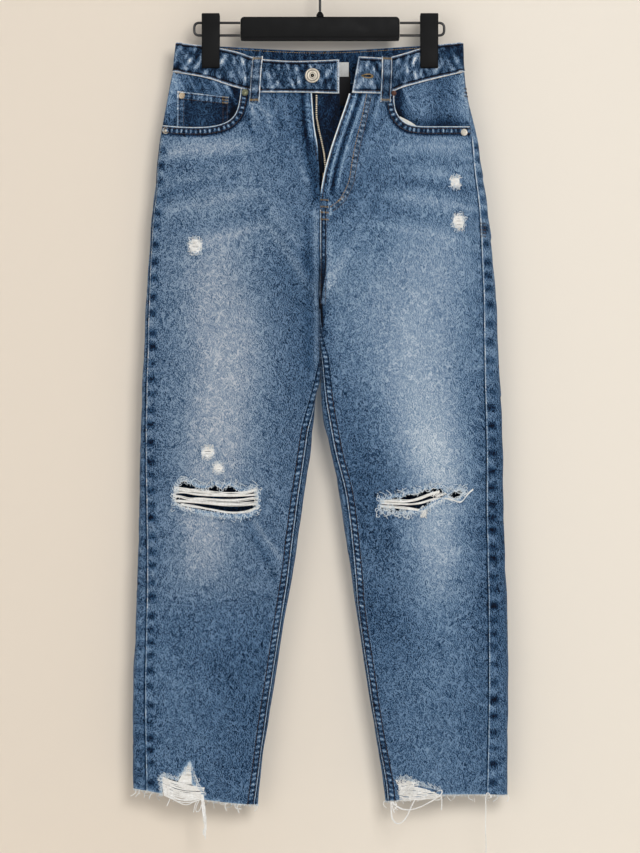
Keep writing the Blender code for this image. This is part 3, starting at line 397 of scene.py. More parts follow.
class Chart:
    """One half of the body form, measured once: places by drop and run, and runs by drop and a."""

    def __init__(self, side):
        self.drops = FIRST_DROP + STAIR * np.arange(672)
        around = -LEAD + PACE * np.arange(1140)
        x, y, front, back, fold, total = [], [], [], [], [], []
        for drop in self.drops:
            a, line, run = ring(side, drop)
            at = around % run[-1] if drop > CROTCH else np.clip(around, 0, run[-1])
            x.append(np.interp(at, run, line[:, 0]))
            y.append(np.interp(at, run, line[:, 1]))
            front.append(np.interp(OUT, a, run[:TURN + 1]))
            back.append(np.interp(OUT, a, run[TURN:][::-1]))
            fold.append(run[TURN])
            total.append(run[-1])
        self.x, self.y = np.array(x), np.array(y)
        self.front, self.back = np.array(front), np.array(back)
        self.fold, self.total = np.array(fold), np.array(total)

    def read(self, table, drop, across):
        i = np.clip((drop - FIRST_DROP) / STAIR, 0, table.shape[0] - 1.001)
        j = np.clip(across, 0, table.shape[1] - 1.001)
        i0, j0 = i.astype(int), j.astype(int)
        u, v = i - i0, j - j0
        return ((1 - u) * ((1 - v) * table[i0, j0] + v * table[i0, j0 + 1])
                + u * ((1 - v) * table[i0 + 1, j0] + v * table[i0 + 1, j0 + 1]))


CHARTS = {-1: Chart(-1), 1: Chart(1)}


def by_side(side, ask):
    side = np.asarray(side)
    if side.ndim == 0:
        return ask(CHARTS[int(side)])
    return np.where(side > 0, ask(CHARTS[1]), ask(CHARTS[-1]))


def arrays(*values):
    return [np.array(v, float) for v in np.broadcast_arrays(*values)]


def fold_run(side, drop):
    drop = np.asarray(drop, float)
    return by_side(side, lambda c: np.interp(drop, c.drops, c.fold))


def total_run(side, drop):
    drop = np.asarray(drop, float)
    return by_side(side, lambda c: np.interp(drop, c.drops, c.total))


def front_run(side, drop, a):
    drop, a = arrays(drop, a)
    return by_side(side, lambda c: c.read(c.front, drop, a / PACE))


def back_run(side, drop, a):
    drop, a = arrays(drop, a)
    return by_side(side, lambda c: c.read(c.back, drop, a / PACE))


def flat_place(side, run, drop):
    """The form's x and y at a run and a drop."""
    across = (run + LEAD) / PACE
    return (by_side(side, lambda c: c.read(c.x, drop, across)),
            by_side(side, lambda c: c.read(c.y, drop, across)))


def a_of(side, run, drop):
    return np.abs(flat_place(side, run, drop)[0])


def run_at(side, drop, a, face="front"):
    return (front_run if face == "front" else back_run)(side, drop, a)


def half_of(x):
    return np.where(x > 0, 1.0, -1.0)


# ------------------------------------------------------------------ creases and gathers
CREASES = [
    # side, face, a and drop of one end, a and drop of the other, half width, height
    (-1, "front", 97, 705, 70, 742, 4.5, 0.9), (-1, "front", 88, 702, 62, 738, 6, -0.7),
    (-1, "front", 175, 246, 95, 240, 7, 0.7), (-1, "front", 180, 283, 120, 276, 8, -0.6),
    (-1, "front", 182, 312, 100, 297, 9, 0.7), (-1, "front", 150, 352, 70, 330, 8, -0.5),
    (-1, "front", 40, 362, 14, 432, 7, 1.1), (-1, "front", 78, 300, 30, 355, 8, 0.7),
    (-1, "front", 24, 372, 5, 405, 5, -0.8), (-1, "front", 138, 500, 150, 610, 9, 0.5),
    (-1, "front", 190, 700, 158, 716, 6, 0.8), (-1, "front", 76, 660, 52, 690, 6, 0.6),
    (-1, "front", 205, 820, 130, 808, 10, 0.6), (-1, "front", 195, 905, 120, 930, 11, 0.6),
    (-1, "front", 90, 1000, 120, 960, 7, 0.5), (1, "front", 160, 240, 90, 247, 7, 0.6),
    (1, "front", 178, 292, 110, 284, 8, -0.5), (1, "front", 175, 322, 80, 306, 9, 0.7),
    (1, "front", 34, 368, 10, 430, 7, 1), (1, "front", 60, 306, 22, 352, 7, 0.8),
    (1, "front", 20, 330, 6, 372, 5, -0.7), (1, "front", 200, 690, 172, 700, 6, 0.7),
    (1, "front", 84, 704, 118, 738, 7, 0.8), (1, "front", 205, 742, 150, 762, 10, 0.6),
    (1, "front", 96, 815, 180, 800, 11, 0.5), (1, "front", 200, 880, 110, 905, 10, 0.5),
    (1, "front", 110, 1002, 190, 985, 9, 0.5), (-1, "back", 40, 452, 120, 486, 7, 1),
    (1, "back", 46, 456, 128, 482, 7, 0.9), (-1, "back", 90, 655, 200, 648, 9, 1),
    (1, "back", 84, 648, 198, 660, 9, 1), (-1, "back", 96, 694, 196, 690, 6, -0.8),
    (1, "back", 90, 698, 200, 692, 6, -0.8), (-1, "back", 75, 735, 170, 745, 9, 0.8),
    (1, "back", 80, 742, 185, 730, 9, 0.8), (-1, "back", 30, 300, 60, 420, 10, 0.8),
    (1, "back", 28, 310, 66, 425, 10, 0.8), (-1, "back", 190, 880, 110, 900, 11, 0.7),
    (1, "back", 195, 865, 120, 895, 11, 0.6),
]


class Gathers:
    """Uneven little gathers along a seam, from 0 between them to 1 on the largest."""

    def __init__(self, seed, shortest, longest, start=60.0, end=1180.0):
        dice = np.random.default_rng(seed)
        count = int((end - start) / shortest) + 2
        self.at = start + np.cumsum(dice.uniform(shortest, longest, count))
        self.size = dice.uniform(0.5, 1.0, count)

    def __call__(self, along, wide):
        along = np.asarray(along, float)
        after = np.clip(np.searchsorted(self.at, along), 1, len(self.at) - 1)
        best = np.zeros_like(along)
        for k in (after - 1, after):
            best = np.maximum(best, self.size[k] * peak(along, self.at[k], wide))
        return best


SIDE_MARKS = {-1: Gathers(11, 15.0, 25.0), 1: Gathers(12, 14.0, 24.0)}
STRIP_MARKS = {-1: Gathers(13, 12.0, 24.0), 1: Gathers(14, 11.0, 22.0)}
LINE_MARKS = {-1: Gathers(17, 22.0, 44.0), 1: Gathers(18, 22.0, 40.0)}
WAVES = [(37.0, 0.35, 0.16), (58.0, 1.9, 0.22), (83.0, 2.7, 0.3), (121.0, 0.9, 0.4), (46.0, 2.3, 0.15)]


def seam_distance(side, run, drop):
    """How far a place lies past the side seam, in mm: below 0 on the front panel."""
    offset = np.where(np.asarray(side) > 0, SEAMS("left_side", drop), SEAMS("right_side", drop))
    return run - (fold_run(side, drop) - offset)


def by_half(side, table, *asked):
    side = np.asarray(side)
    return np.where(side > 0, table[1](*asked), table[-1](*asked))


def creased(side, drop, a, on_front):
    """The creases alone, in mm out of the form."""
    total = np.zeros_like(a)
    for where, face, a0, drop0, a1, drop1, half, height in CREASES:
        near = (np.asarray(side) == where) & (on_front == (face == "front")) & (
            np.abs(drop - (drop0 + drop1) / 2) < abs(drop1 - drop0) / 2 + 3 * half)
        if not near.any():
            continue
        da, dd = a1 - a0, drop1 - drop0
        bow = 4.0 * np.sin(drop0 * 0.7 + height)
        t = ((a - a0) * da + (drop - drop0) * dd) / (da * da + dd * dd)
        t_in = unit(t)
        length = math.hypot(da, dd)
        side_way = ((a - a0 - t_in * da) * dd - (drop - drop0 - t_in * dd) * da) / length
        off = (np.hypot(side_way - bow * np.sin(math.pi * t_in),
                        np.maximum(np.abs(t - t_in) * length, 0)) / half)
        total += np.where(near, height * np.exp(-off * off)
                          * (0.45 + 0.55 * np.sin(math.pi * np.clip(t, 0.05, 0.95))), 0)
    return total


def relief(side, run, drop, a, on_front):
    """How far the cloth stands out of the plain form: creases, soft waves and gathers at the side seam."""
    total = creased(side, drop, a, on_front)
    sign = np.asarray(side, float)
    for length, turn, height in WAVES:
        phase = (a * math.cos(turn) + drop * math.sin(turn)) * 2 * math.pi / length
        total += (height * np.sin(phase + sign * 1.3 + 0.8 * np.sin(drop / 61.0 + turn)
                                  + np.where(on_front, 0.0, 2.1)))
    past = seam_distance(side, run, drop)
    fade = fade_in(drop, 200.0, 30.0)
    marks = by_half(side, SIDE_MARKS, drop, 5.0)
    total -= fade * 0.55 * marks * peak(past, -5.0, 5.0)
    total -= fade * 0.4 * peak(past, 0.0, 1.3)
    calm = np.clip((drop - 196.0) / 40.0, 0.12, 1.0)
    return total * calm


def faces_front(side, run, drop):
    wrapped = np.where(drop > CROTCH, run % total_run(side, drop), run)
    return wrapped < fold_run(side, drop)


def on_form(side, run, drop):
    return a_of(side, run, drop), faces_front(side, run, drop)


def lay(side, run, drop, lift=0.0, smooth=False):
    """Points on the creased cloth at these runs and drops, moved out by lift, and the outward directions."""
    side, run, drop, lift = arrays(side, run, drop, lift)
    x, y = flat_place(side, run, drop)
    reach = 1.2
    x1, y1 = flat_place(side, run + reach, drop)
    x0, y0 = flat_place(side, run - reach, drop)
    x3, y3 = flat_place(side, run, drop + reach)
    x2, y2 = flat_place(side, run, drop - reach)
    across = np.stack([x1 - x0, y1 - y0, np.zeros_like(x)], -1)
    down = np.stack([x3 - x2, y3 - y2, np.full_like(x, -2 * reach)], -1)
    way = np.cross(down, across)
    way /= np.linalg.norm(way, axis=-1, keepdims=True) + 1e-12
    outward = np.stack([across[..., 1] * side, -across[..., 0] * side, np.zeros_like(x)], -1)
    way *= np.where((way * outward).sum(-1, keepdims=True) < 0, -1.0, 1.0)
    raised = lift
    if not smooth:
        raised = lift + relief(side, run, drop, np.abs(x), faces_front(side, run, drop))
    return np.stack([x, y, -drop], -1) + way * raised[..., None], way


def lay_at(x, drop, lift=0.0, face="front", smooth=False):
    """Points on the cloth at places across and down its front or back, and the outward directions."""
    x, drop = arrays(x, drop)
    side = half_of(x)
    return lay(side, run_at(side, drop, np.abs(x), face), drop, lift, smooth)


# ------------------------------------------------------------------ how far each place is worn, and where shade is painted
WEAR = {
    # drop, a of the worn ridge's middle, its half width, its tone, and the tones at the inner and outer edge
    -1: Run("drop centre half level inner outer", [
        (150, 120, 60, 0.36, 0.30, 0.36), (215, 135, 70, 0.42, 0.25, 0.40),
        (248, 140, 75, 0.47, 0.30, 0.40), (300, 120, 80, 0.45, 0.33, 0.38),
        (350, 125, 76, 0.51, 0.33, 0.35), (400, 132, 62, 0.56, 0.27, 0.34),
        (450, 124, 64, 0.59, 0.28, 0.35), (500, 118, 62, 0.61, 0.27, 0.35),
        (575, 124, 58, 0.60, 0.32, 0.35), (650, 132, 48, 0.61, 0.37, 0.34),
        (725, 142, 42, 0.585, 0.39, 0.33), (775, 146, 40, 0.54, 0.38, 0.34),
        (825, 130, 60, 0.35, 0.34, 0.39), (875, 190, 38, 0.37, 0.30, 0.35),
        (925, 186, 38, 0.38, 0.29, 0.34), (1000, 178, 42, 0.38, 0.30, 0.33),
        (1070, 178, 42, 0.41, 0.34, 0.37)]),
    1: Run("drop centre half level inner outer", [
        (150, 130, 60, 0.38, 0.30, 0.36), (215, 140, 60, 0.43, 0.31, 0.42),
        (248, 158, 60, 0.48, 0.34, 0.43), (300, 148, 75, 0.46, 0.26, 0.40),
        (350, 140, 78, 0.51, 0.38, 0.33), (400, 132, 72, 0.57, 0.45, 0.33),
        (450, 120, 72, 0.60, 0.46, 0.32), (500, 118, 68, 0.62, 0.39, 0.33),
        (575, 130, 58, 0.65, 0.34, 0.29), (625, 138, 52, 0.70, 0.31, 0.26),
        (675, 148, 44, 0.66, 0.29, 0.27), (725, 144, 44, 0.62, 0.30, 0.25),
        (775, 149, 44, 0.56, 0.35, 0.26), (825, 150, 44, 0.45, 0.29, 0.27),
        (875, 162, 42, 0.40, 0.33, 0.29), (925, 136, 50, 0.40, 0.33, 0.32),
        (1000, 140, 50, 0.40, 0.34, 0.34), (1070, 140, 50, 0.42, 0.36, 0.35)]),
}
BACK_WEAR = Run("drop centre half level inner outer", [
    (112, 120, 70, 0.38, 0.32, 0.34), (300, 105, 72, 0.50, 0.34, 0.36),
    (420, 105, 74, 0.53, 0.34, 0.36), (520, 112, 60, 0.50, 0.33, 0.35),
    (640, 128, 52, 0.47, 0.33, 0.35), (700, 134, 52, 0.50, 0.34, 0.35),
    (780, 140, 50, 0.44, 0.34, 0.35), (900, 146, 50, 0.39, 0.33, 0.35),
    (1070, 150, 50, 0.40, 0.34, 0.36)])
WARMTH = Run("drop front", [(112, 0.2), (215, 0.6), (260, 0.72), (350, 0.85), (420, 1), (600, 1),
                            (720, 1), (790, 1), (850, 0.2), (1070, 0)])
WHISKERS_AND_SHADE_LINES = [
    # side, a and drop of one end, of the other, half width, change of tone; faded whiskers, and darker lines,
    # which beside the fly and along the gap between the legs are painted shade
    (-1, 186, 254, 92, 246, 9, 0.085), (-1, 188, 272, 105, 262, 6, -0.068),
    (-1, 190, 290, 120, 280, 5, 0.051), (-1, 192, 305, 110, 292, 7, -0.068),
    (-1, 190, 326, 85, 306, 6, 0.068), (-1, 180, 352, 70, 326, 8, -0.051), (-1, 165, 372, 70, 346, 6, 0.051),
    (-1, 60, 352, 12, 420, 6, 0.068), (1, 180, 246, 100, 250, 8, 0.068), (1, 184, 268, 110, 262, 6, -0.051),
    (1, 186, 286, 120, 278, 6, 0.051), (1, 186, 303, 96, 290, 7, -0.068), (1, 184, 322, 84, 306, 6, 0.068),
    (1, 176, 346, 70, 322, 8, -0.051), (1, 50, 350, 12, 418, 6, 0.068), (1, 170, 364, 66, 344, 6, 0.051),
    (-1, 75, 193, 56, 233, 3, 0.12), (-1, 91, 189, 75, 218, 2, 0.14), (-1, 88, 190, 60, 210, 1.9, 0.12),
    (-1, 84, 195, 83, 222, 2, 0.12), (-1, 66, 186, 62, 216, 2, 0.13), (-1, 93, 204, 84, 232, 2.4, -0.16),
    (-1, 52, 186, 56, 210, 1.4, 0.16), (1, 66, 186, 62, 206, 1.5, 0.18), (1, 74, 187, 68, 214, 1.4, 0.2),
    (-1, 4.6, 330, 4.6, 520, 3.6, 0.13), (-1, 16, 340, 13, 520, 6, -0.05), (1, 11.5, 318, 13, 332, 1.4, 0.3),
    (1, 13, 345, 12, 420, 3.6, 0.08), (-1, 8, 246, 4, 312, 6, -0.16), (-1, 20, 232, 9, 300, 4, -0.1),
    (1, 0.4, 436, 0.8, 516, 2.3, -0.42), (1, 12, 436, 9, 520, 6, -0.07), (-1, 0.2, 330, 0.2, 515, 0.7, -0.3),
    (-1, 46, 186, 38, 226, 3, 0.07), (-1, 34, 250, 12, 300, 4, 0.07), (1, 98, 192, 66, 250, 2.4, 0.05),
    (1, 60, 250, 26, 322, 4, 0.06), (-1, 82, 712, 44, 768, 3.2, 0.12), (-1, 96, 706, 66, 762, 4.5, -0.08),
    (-1, 60, 330, 22, 372, 4, 0.06),
]


def on_edges(run, drop, loop):
    """For each straight edge of a closed loop: the nearest run and drop on it, and how far off they lie."""
    for (r0, d0), (r1, d1) in zip(loop, np.roll(loop, -1, axis=0)):
        dr, dd = r1 - r0, d1 - d0
        t = unit(((run - r0) * dr + (drop - d0) * dd) / (dr * dr + dd * dd + 1e-9))
        yield r0 + t * dr, d0 + t * dd, np.hypot(run - r0 - t * dr, drop - d0 - t * dd)


def edge_distance(run, drop, loop):
    """Distance in mm from each place to a closed loop of (run, drop) corners."""
    return np.min([off for _, _, off in on_edges(run, drop, loop)], axis=0)


def worn(side, run, drop):
    """Tone and warmth of the denim's outer face, before its weave: 0 is raw indigo, 1 is white. Besides
    fading and wear, the tone holds painted shade: in the creases' valleys, in the gap between the legs and
    along the darker lines of the whisker table.
    """
    side, run, drop = arrays(side, run, drop)
    a, on_front = on_form(side, run, drop)
    inner = np.where(side > 0, WIDTHS("left_in", drop), WIDTHS("right_in", drop))
    outer = np.where(side > 0, WIDTHS("left_out", drop), WIDTHS("right_out", drop))
    across = unit((a - inner) / (outer - inner))

    def ridge(table):
        base = table("inner", drop) + (table("outer", drop) - table("inner", drop)) * across
        return base + (table("level", drop) - base) * peak(a, table("centre", drop), table("half", drop))

    front = np.where(side > 0, ridge(WEAR[1]), ridge(WEAR[-1]))
    back = ridge(BACK_WEAR)
    past_fold = unit((run - fold_run(side, drop) + 6.0) / 12.0)
    tone = front + (back - front) * np.where(on_front & (run < 60), 0, past_fold)
    for where, a0, drop0, a1, drop1, half, change in WHISKERS_AND_SHADE_LINES:
        middle, reach = (drop0 + drop1) / 2, abs(drop1 - drop0) / 2 + 3 * half
        near = (side == where) & on_front & (np.abs(drop - middle) < reach)
        if near.any():
            da, dd = a1 - a0, drop1 - drop0
            t = unit(((a - a0) * da + (drop - drop0) * dd) / (da * da + dd * dd))
            off = np.hypot(a - a0 - t * da, drop - drop0 - t * dd) / half
            tone = tone + np.where(near, change * np.exp(-off * off), 0)
    # Tone follows the crease relief: lighter on the ridges, where the cloth wears, and darker in the valleys
    # as painted shade.
    tone = tone + 0.05 * creased(side, drop, a, on_front) * fade_in(drop, 196.0, 40.0)
    # A painted shadow down the inner edges just below the crotch, where the gap between the legs lies in
    # shade.
    shadow_slit_half = np.where(side > 0, np.interp(drop, [440.0, 475.0, 515.0], [11.5, 9.0, 6.5]), 4.0)
    shadow_slit = peak(run, 0.0, shadow_slit_half, 4) * fade_in(drop, 436.0, 12.0)
    tone = tone - 0.42 * shadow_slit * fade_in(drop, 560.0, -44.0)
    past = seam_distance(side, run, drop)
    fade = fade_in(drop, 226.0, 14.0)
    right = np.asarray(side) < 0
    dark_spots, light_spots = by_half(side, SIDE_MARKS, drop, 4.7), by_half(side, STRIP_MARKS, drop, 5.0)
    in_front, in_strip = (past < 0) * 1.0, (past >= 0) * 1.0
    dark_row = np.where(right, in_front * peak(past, -5.8, 5.2, 4), in_strip * peak(past, 6.6, 5.4, 4))
    light_row = np.where(right, in_strip * peak(past, 7.0, 7.0), in_front * peak(past, -6.0, 6.0))
    between_spots = np.where(right, in_front * peak(past, -5.0, 5.0), in_strip * peak(past, 6.0, 6.0))
    tone = (tone + fade * (0.07 * between_spots - 0.42 * dark_spots * dark_row
                           + 0.15 * (light_spots - 0.45) * light_row))
    strength = 0.5 + 0.5 * by_half(side, LINE_MARKS, drop, 14.0)
    pale, dark = np.where(right, past + 0.75, past - 0.7), np.where(right, past - 0.95, past + 0.95)
    tone = tone + fade * strength * (0.45 * peak(pale, 0.0, 0.65) - 0.34 * peak(dark, 0.0, 0.9))
    warmth = fade_in(tone, 0.25, 0.3) * WARMTH("front", drop) * np.where(on_front, 1.0, 0.5)
    return tone, warmth * np.where(side > 0, 0.4, 1.0)


# ------------------------------------------------------------------ sizes and colours a user may change
def length_of(name, words, value):
    return bpy.props.FloatProperty(name=name, description=words, default=value,
                                   unit="LENGTH", subtype="DISTANCE")


class JeansSizes(bpy.types.PropertyGroup):
    """Sizes of the sewn and frayed details."""

    thread_radius: length_of("Thread radius", "Radius of a weft thread in the rips", 0.00046)
    stitch_pitch: length_of("Stitch pitch", "Distance from one topstitch to the next", 0.0031)
    stitch_width: length_of("Stitch width", "Thickness of the sewing thread", 0.0008)
    tooth_pitch: length_of("Zip tooth pitch", "Distance from one zip tooth to the next", 0.0026)
    camera_distance: length_of("Camera distance", "From the camera to the garment", 5.0)
    frame_height: length_of("Frame height", "Height that the camera takes in", 1.06625)


def colour_of(name, words, value):
    return bpy.props.FloatVectorProperty(name=name, description=words, default=value,
                                         size=3, min=0.0, max=1.0,
                                         subtype="COLOR")


class JeansColours(bpy.types.PropertyGroup):
    """Colours of the cloth, threads, metal and hanger."""

    raw_indigo: colour_of("Raw indigo", "Denim where it was never worn", (0.0024, 0.0096, 0.029))
    blue: colour_of("Blue", "Denim that is a little worn", (0.061, 0.125, 0.225))
    faded: colour_of("Faded", "Denim that is well worn", (0.23, 0.345, 0.475))
    white: colour_of("Bare yarn", "The white core of the yarn", (0.86, 0.85, 0.80))
    cream: colour_of("Weft thread", "Undyed threads in the rips", (1.0, 0.97, 0.91))
    sewing: colour_of("Sewing thread", "Topstitching", (0.075, 0.045, 0.030))
    ochre: colour_of("Bartack thread", "Bars sewn at the ends of seams", (0.43, 0.29, 0.115))
    brass: colour_of("Antique brass", "Zip and rivets", (0.30, 0.22, 0.12))
    silver: colour_of("Pale metal", "Button face", (0.60, 0.55, 0.46))
    plastic: colour_of("Hanger black", "Bar and clips", (0.0022, 0.0022, 0.0024))
    wall: colour_of("Wall", "Backdrop behind the garment", (0.835, 0.74, 0.625))


def sizes():
    return bpy.context.scene.jeans_sizes


def colours():
    return bpy.context.scene.jeans_colours


# ------------------------------------------------------------------ node helpers
def knot(tree, kind, inputs=None, **settings):
    """A node with its settings and inputs: an input is a value or another node's output."""
    made = tree.nodes.new(kind)
    for key, value in settings.items():
        setattr(made, key, value)
    for key, value in (inputs or {}).items():
        socket = made.inputs[key]
        if isinstance(value, bpy.types.NodeSocket):
            tree.links.new(value, socket)
        else:
            socket.default_value = value
    return made


def maths(tree, operation, first, second=0.0, third=0.0, clamp=False):
    kind = "ShaderNodeMath"
    return knot(tree, kind, {0: first, 1: second, 2: third}, operation=operation, use_clamp=clamp).outputs[0]


def times(tree, first, second):
    return maths(tree, "MULTIPLY", first, second)


def plus(tree, first, second):
    return maths(tree, "ADD", first, second)


def minus(tree, first, second):
    return maths(tree, "SUBTRACT", first, second)


def between(tree, value, low, high, to_low=0.0, to_high=1.0):
    return knot(tree, "ShaderNodeMapRange",
                {"Value": value, "From Min": low, "From Max": high, "To Min": to_low,
                                             "To Max": to_high}, interpolation_type="SMOOTHSTEP").outputs[0]


def mixed(tree, factor, first, second, blend="MIX"):
    return knot(tree, "ShaderNodeMix", {0: factor, 6: first, 7: second}, data_type="RGBA",
                blend_type=blend).outputs[2]


def noise(tree, place, scale, detail=2.0, rough=0.5, bend=0.0):
    return knot(tree, "ShaderNodeTexNoise",
                {"Vector": place, "Scale": scale, "Detail": detail, "Roughness": rough,
                                             "Distortion": bend}).outputs["Fac"]


def kept(name):
    """Builds a node group once, and finds it again by its name."""
    return lambda build: lambda: bpy.data.node_groups.get(name) or build(name)


def group_of(name, inputs, outputs, kind="ShaderNodeTree"):
    """A new node group with named inputs and outputs, and its two end nodes."""
    tree = bpy.data.node_groups.new(name, kind)
    for label, type_, default in inputs:
        socket = tree.interface.new_socket(name=label, in_out="INPUT", socket_type="NodeSocket" + type_)
        if default is not None:
            socket.default_value = default
    for label, type_ in outputs:
        tree.interface.new_socket(name=label, in_out="OUTPUT", socket_type="NodeSocket" + type_)
    return tree, tree.nodes.new("NodeGroupInput"), tree.nodes.new("NodeGroupOutput")


def in_mm(tree, turn=(0.0, 0.0, 0.0), stretch=(1.0, 1.0, 1.0)):
    """The place on the object in millimetres, turned and then stretched."""
    place = tree.nodes.new("ShaderNodeTexCoord").outputs["Object"]
    turned_place = knot(tree, "ShaderNodeMapping", {"Vector": place, "Rotation": turn},
                        vector_type="POINT").outputs[0]
    return knot(tree, "ShaderNodeMapping",
                {"Vector": turned_place, "Scale": tuple(1000.0 * s for s in stretch)},
                vector_type="POINT").outputs[0]


@kept("Denim weave")
def denim_weave(name):
    """The stonewashed weave: salt-and-pepper, mottling and short bent hairs, coloured by how worn it is, with
    painted light and shade on the specks and hairs.
    """
    tree, start, end = group_of(
        name,
        [("Tone", "Float", 0.4), ("Warmth", "Float", 0.0), ("Grain", "Float", 1.0), ("Mottle", "Float", 1.0),
         ("Hairs", "Float", 1.0)],
        [("Color", "Color"), ("Height", "Float"), ("Roughness", "Float")])
    plain = in_mm(tree)
    # The specks are the grain minus a copy shifted towards the upper right, where the key light stands: each
    # speck gets a painted lit side and a painted shaded side.
    beside_it = knot(tree, "ShaderNodeVectorMath", {0: plain, 1: (0.72, 0.4, 0.22)},
                     operation="ADD").outputs[0]
    salt = noise(tree, plain, 0.82, 1.0, 0.5)
    fine = minus(tree, salt, noise(tree, beside_it, 0.82, 1.0, 0.5))
    mottle = noise(tree, plain, 0.095, 3.0, 0.55, 0.6)
    cloud = noise(tree, plain, 0.022, 2.0, 0.5)
    hairs = None
    for turn, stretch, scale, seed in ((0.75, (1.0, 1.0, 0.42), 0.17, 3.0),
                                       (-0.6, (1.0, 1.0, 0.42), 0.16, 19.0),
                                       (0.1, (1.0, 1.0, 0.5), 0.15, 41.0)):
        place = knot(tree, "ShaderNodeVectorMath",
                     {0: in_mm(tree, (0.0, turn, 0.0), stretch), 1: (seed, seed, seed)},
                     operation="ADD").outputs[0]
        field = minus(tree, noise(tree, place, scale, 0.0, 0.5, 1.1), 0.5)
        line = between(tree, maths(tree, "ABSOLUTE", field), 0.0, 0.062, 1.0, 0.0)
        # A painted shadow line along one side of each light hair.
        dark = times(tree, between(tree, field, 0.05, 0.09), between(tree, field, 0.12, 0.18, 1.0, 0.0))
        broken = between(tree, noise(tree, place, 0.21, 0.0), 0.47, 0.57)
        one = times(tree, minus(tree, line, times(tree, dark, 0.5)), broken)
        hairs = one if hairs is None else plus(tree, hairs, one)
    tone = start.outputs["Tone"]
    swing = times(tree, between(tree, tone, 0.3, 0.62, 1.3, 0.64), between(tree, tone, 0.0, 0.28, 0.3, 1.0))
    rough_part = times(tree, fine, start.outputs["Grain"])
    wide = times(tree, minus(tree, mottle, 0.5), 0.13)
    wide = plus(tree, wide, times(tree, minus(tree, cloud, 0.5), 0.12))
    wide = times(tree, wide, start.outputs["Mottle"])
    hair_part = times(tree, times(tree, hairs, 0.2), start.outputs["Hairs"])
    change = times(tree, plus(tree, plus(tree, rough_part, wide), hair_part), swing)
    change = maths(tree, "MINIMUM", maths(tree, "MAXIMUM", change, -0.25), 0.155)
    level = maths(tree, "ADD", tone, change, clamp=True)
    ramp = tree.nodes.new("ShaderNodeValToRGB")
    tree.links.new(level, ramp.inputs[0])
    c = colours()
    stops = [(0.0, tuple(v * 0.25 for v in c.raw_indigo)), (0.10, tuple(c.raw_indigo)),
             (0.20, (0.0093, 0.033, 0.084)),
             (0.30, (0.0273, 0.0727, 0.147)), (0.39, tuple(c.blue)), (0.47, (0.107, 0.188, 0.309)),
             (0.55, (0.165, 0.262, 0.392)), (0.63, tuple(c.faded)), (0.72, (0.375, 0.477, 0.59)),
             (0.85, (0.57, 0.68, 0.75)), (1.0, tuple(c.white))]
    while len(ramp.color_ramp.elements) < len(stops):
        ramp.color_ramp.elements.new(0.5)
    for element, (position, colour) in zip(ramp.color_ramp.elements, stops):
        element.position = position
        element.color = (*colour, 1.0)
    warm = mixed(tree, start.outputs["Warmth"], ramp.outputs[0], (1.22, 1.03, 0.93, 1.0), "MULTIPLY")
    tree.links.new(warm, end.inputs["Color"])
    twill = knot(tree, "ShaderNodeTexWave", {"Vector": in_mm(tree, (0.0, 0.9, 0.0)),
                                             "Scale": 0.24, "Distortion": 0.6,
                                             "Detail": 1.0}, wave_type="BANDS",
                 bands_direction="X").outputs["Fac"]
    height = plus(tree, times(tree, salt, 0.8), times(tree, hairs, 0.35))
    height = plus(tree, height, times(tree, twill, 0.12))
    height = plus(tree, height, times(tree, mottle, 1.3))
    tree.links.new(height, end.inputs["Height"])
    tree.links.new(between(tree, tone, 0.1, 0.8, 0.86, 0.96), end.inputs["Roughness"])
    return tree


@kept("Fine grain")
def fine_grain(name):
    """A fine mottled grain for threads, plastic and metal: a mask and a height."""
    tree, start, end = group_of(name, [("Scale", "Float", 0.5), ("Contrast", "Float", 1.0)],
                                [("Mask", "Float"), ("Height", "Float")])
    fine = noise(tree, in_mm(tree), start.outputs["Scale"], 3.0, 0.6)
    broad = noise(tree, in_mm(tree), 0.07, 2.0, 0.5)
    both = plus(tree, times(tree, fine, 0.65), times(tree, broad, 0.35))
    mask = maths(tree, "MULTIPLY_ADD", minus(tree, both, 0.5),
                 times(tree, start.outputs["Contrast"], 3.0), 0.5, clamp=True)
    tree.links.new(mask, end.inputs["Mask"])
    tree.links.new(fine, end.inputs["Height"])
    return tree


# ------------------------------------------------------------------ materials
def blank(name):
    if name in bpy.data.materials:
        return bpy.data.materials[name], None, None
    made = bpy.data.materials.new(name)
    made.use_nodes = True
    return made, made.node_tree, made.node_tree.nodes["Principled BSDF"]


def raise_bump(tree, shader, height, strength, distance):
    bump = knot(tree, "ShaderNodeBump", {"Height": height, "Strength": strength, "Distance": distance * MM})
    tree.links.new(bump.outputs[0], shader.inputs["Normal"])


def denim(name="Worn denim", grain=1.0, mottle=1.0, hairs=1.0):
    material, tree, shader = blank(name)
    if tree:
        weave = tree.nodes.new("ShaderNodeGroup")
        weave.node_tree = denim_weave()
        for label in ("Tone", "Warmth"):
            got = knot(tree, "ShaderNodeAttribute", attribute_name=label.lower(), attribute_type="GEOMETRY")
            tree.links.new(got.outputs["Fac"], weave.inputs[label])
        weave.inputs["Grain"].default_value = grain
        weave.inputs["Mottle"].default_value = mottle
        weave.inputs["Hairs"].default_value = hairs
        tree.links.new(weave.outputs["Color"], shader.inputs["Base Color"])
        tree.links.new(weave.outputs["Roughness"], shader.inputs["Roughness"])
        shader.inputs["Specular IOR Level"].default_value = 0.12
        shader.inputs["Sheen Weight"].default_value = 0.04
        raise_bump(tree, shader, weave.outputs["Height"], 0.55, 0.55)
    return material


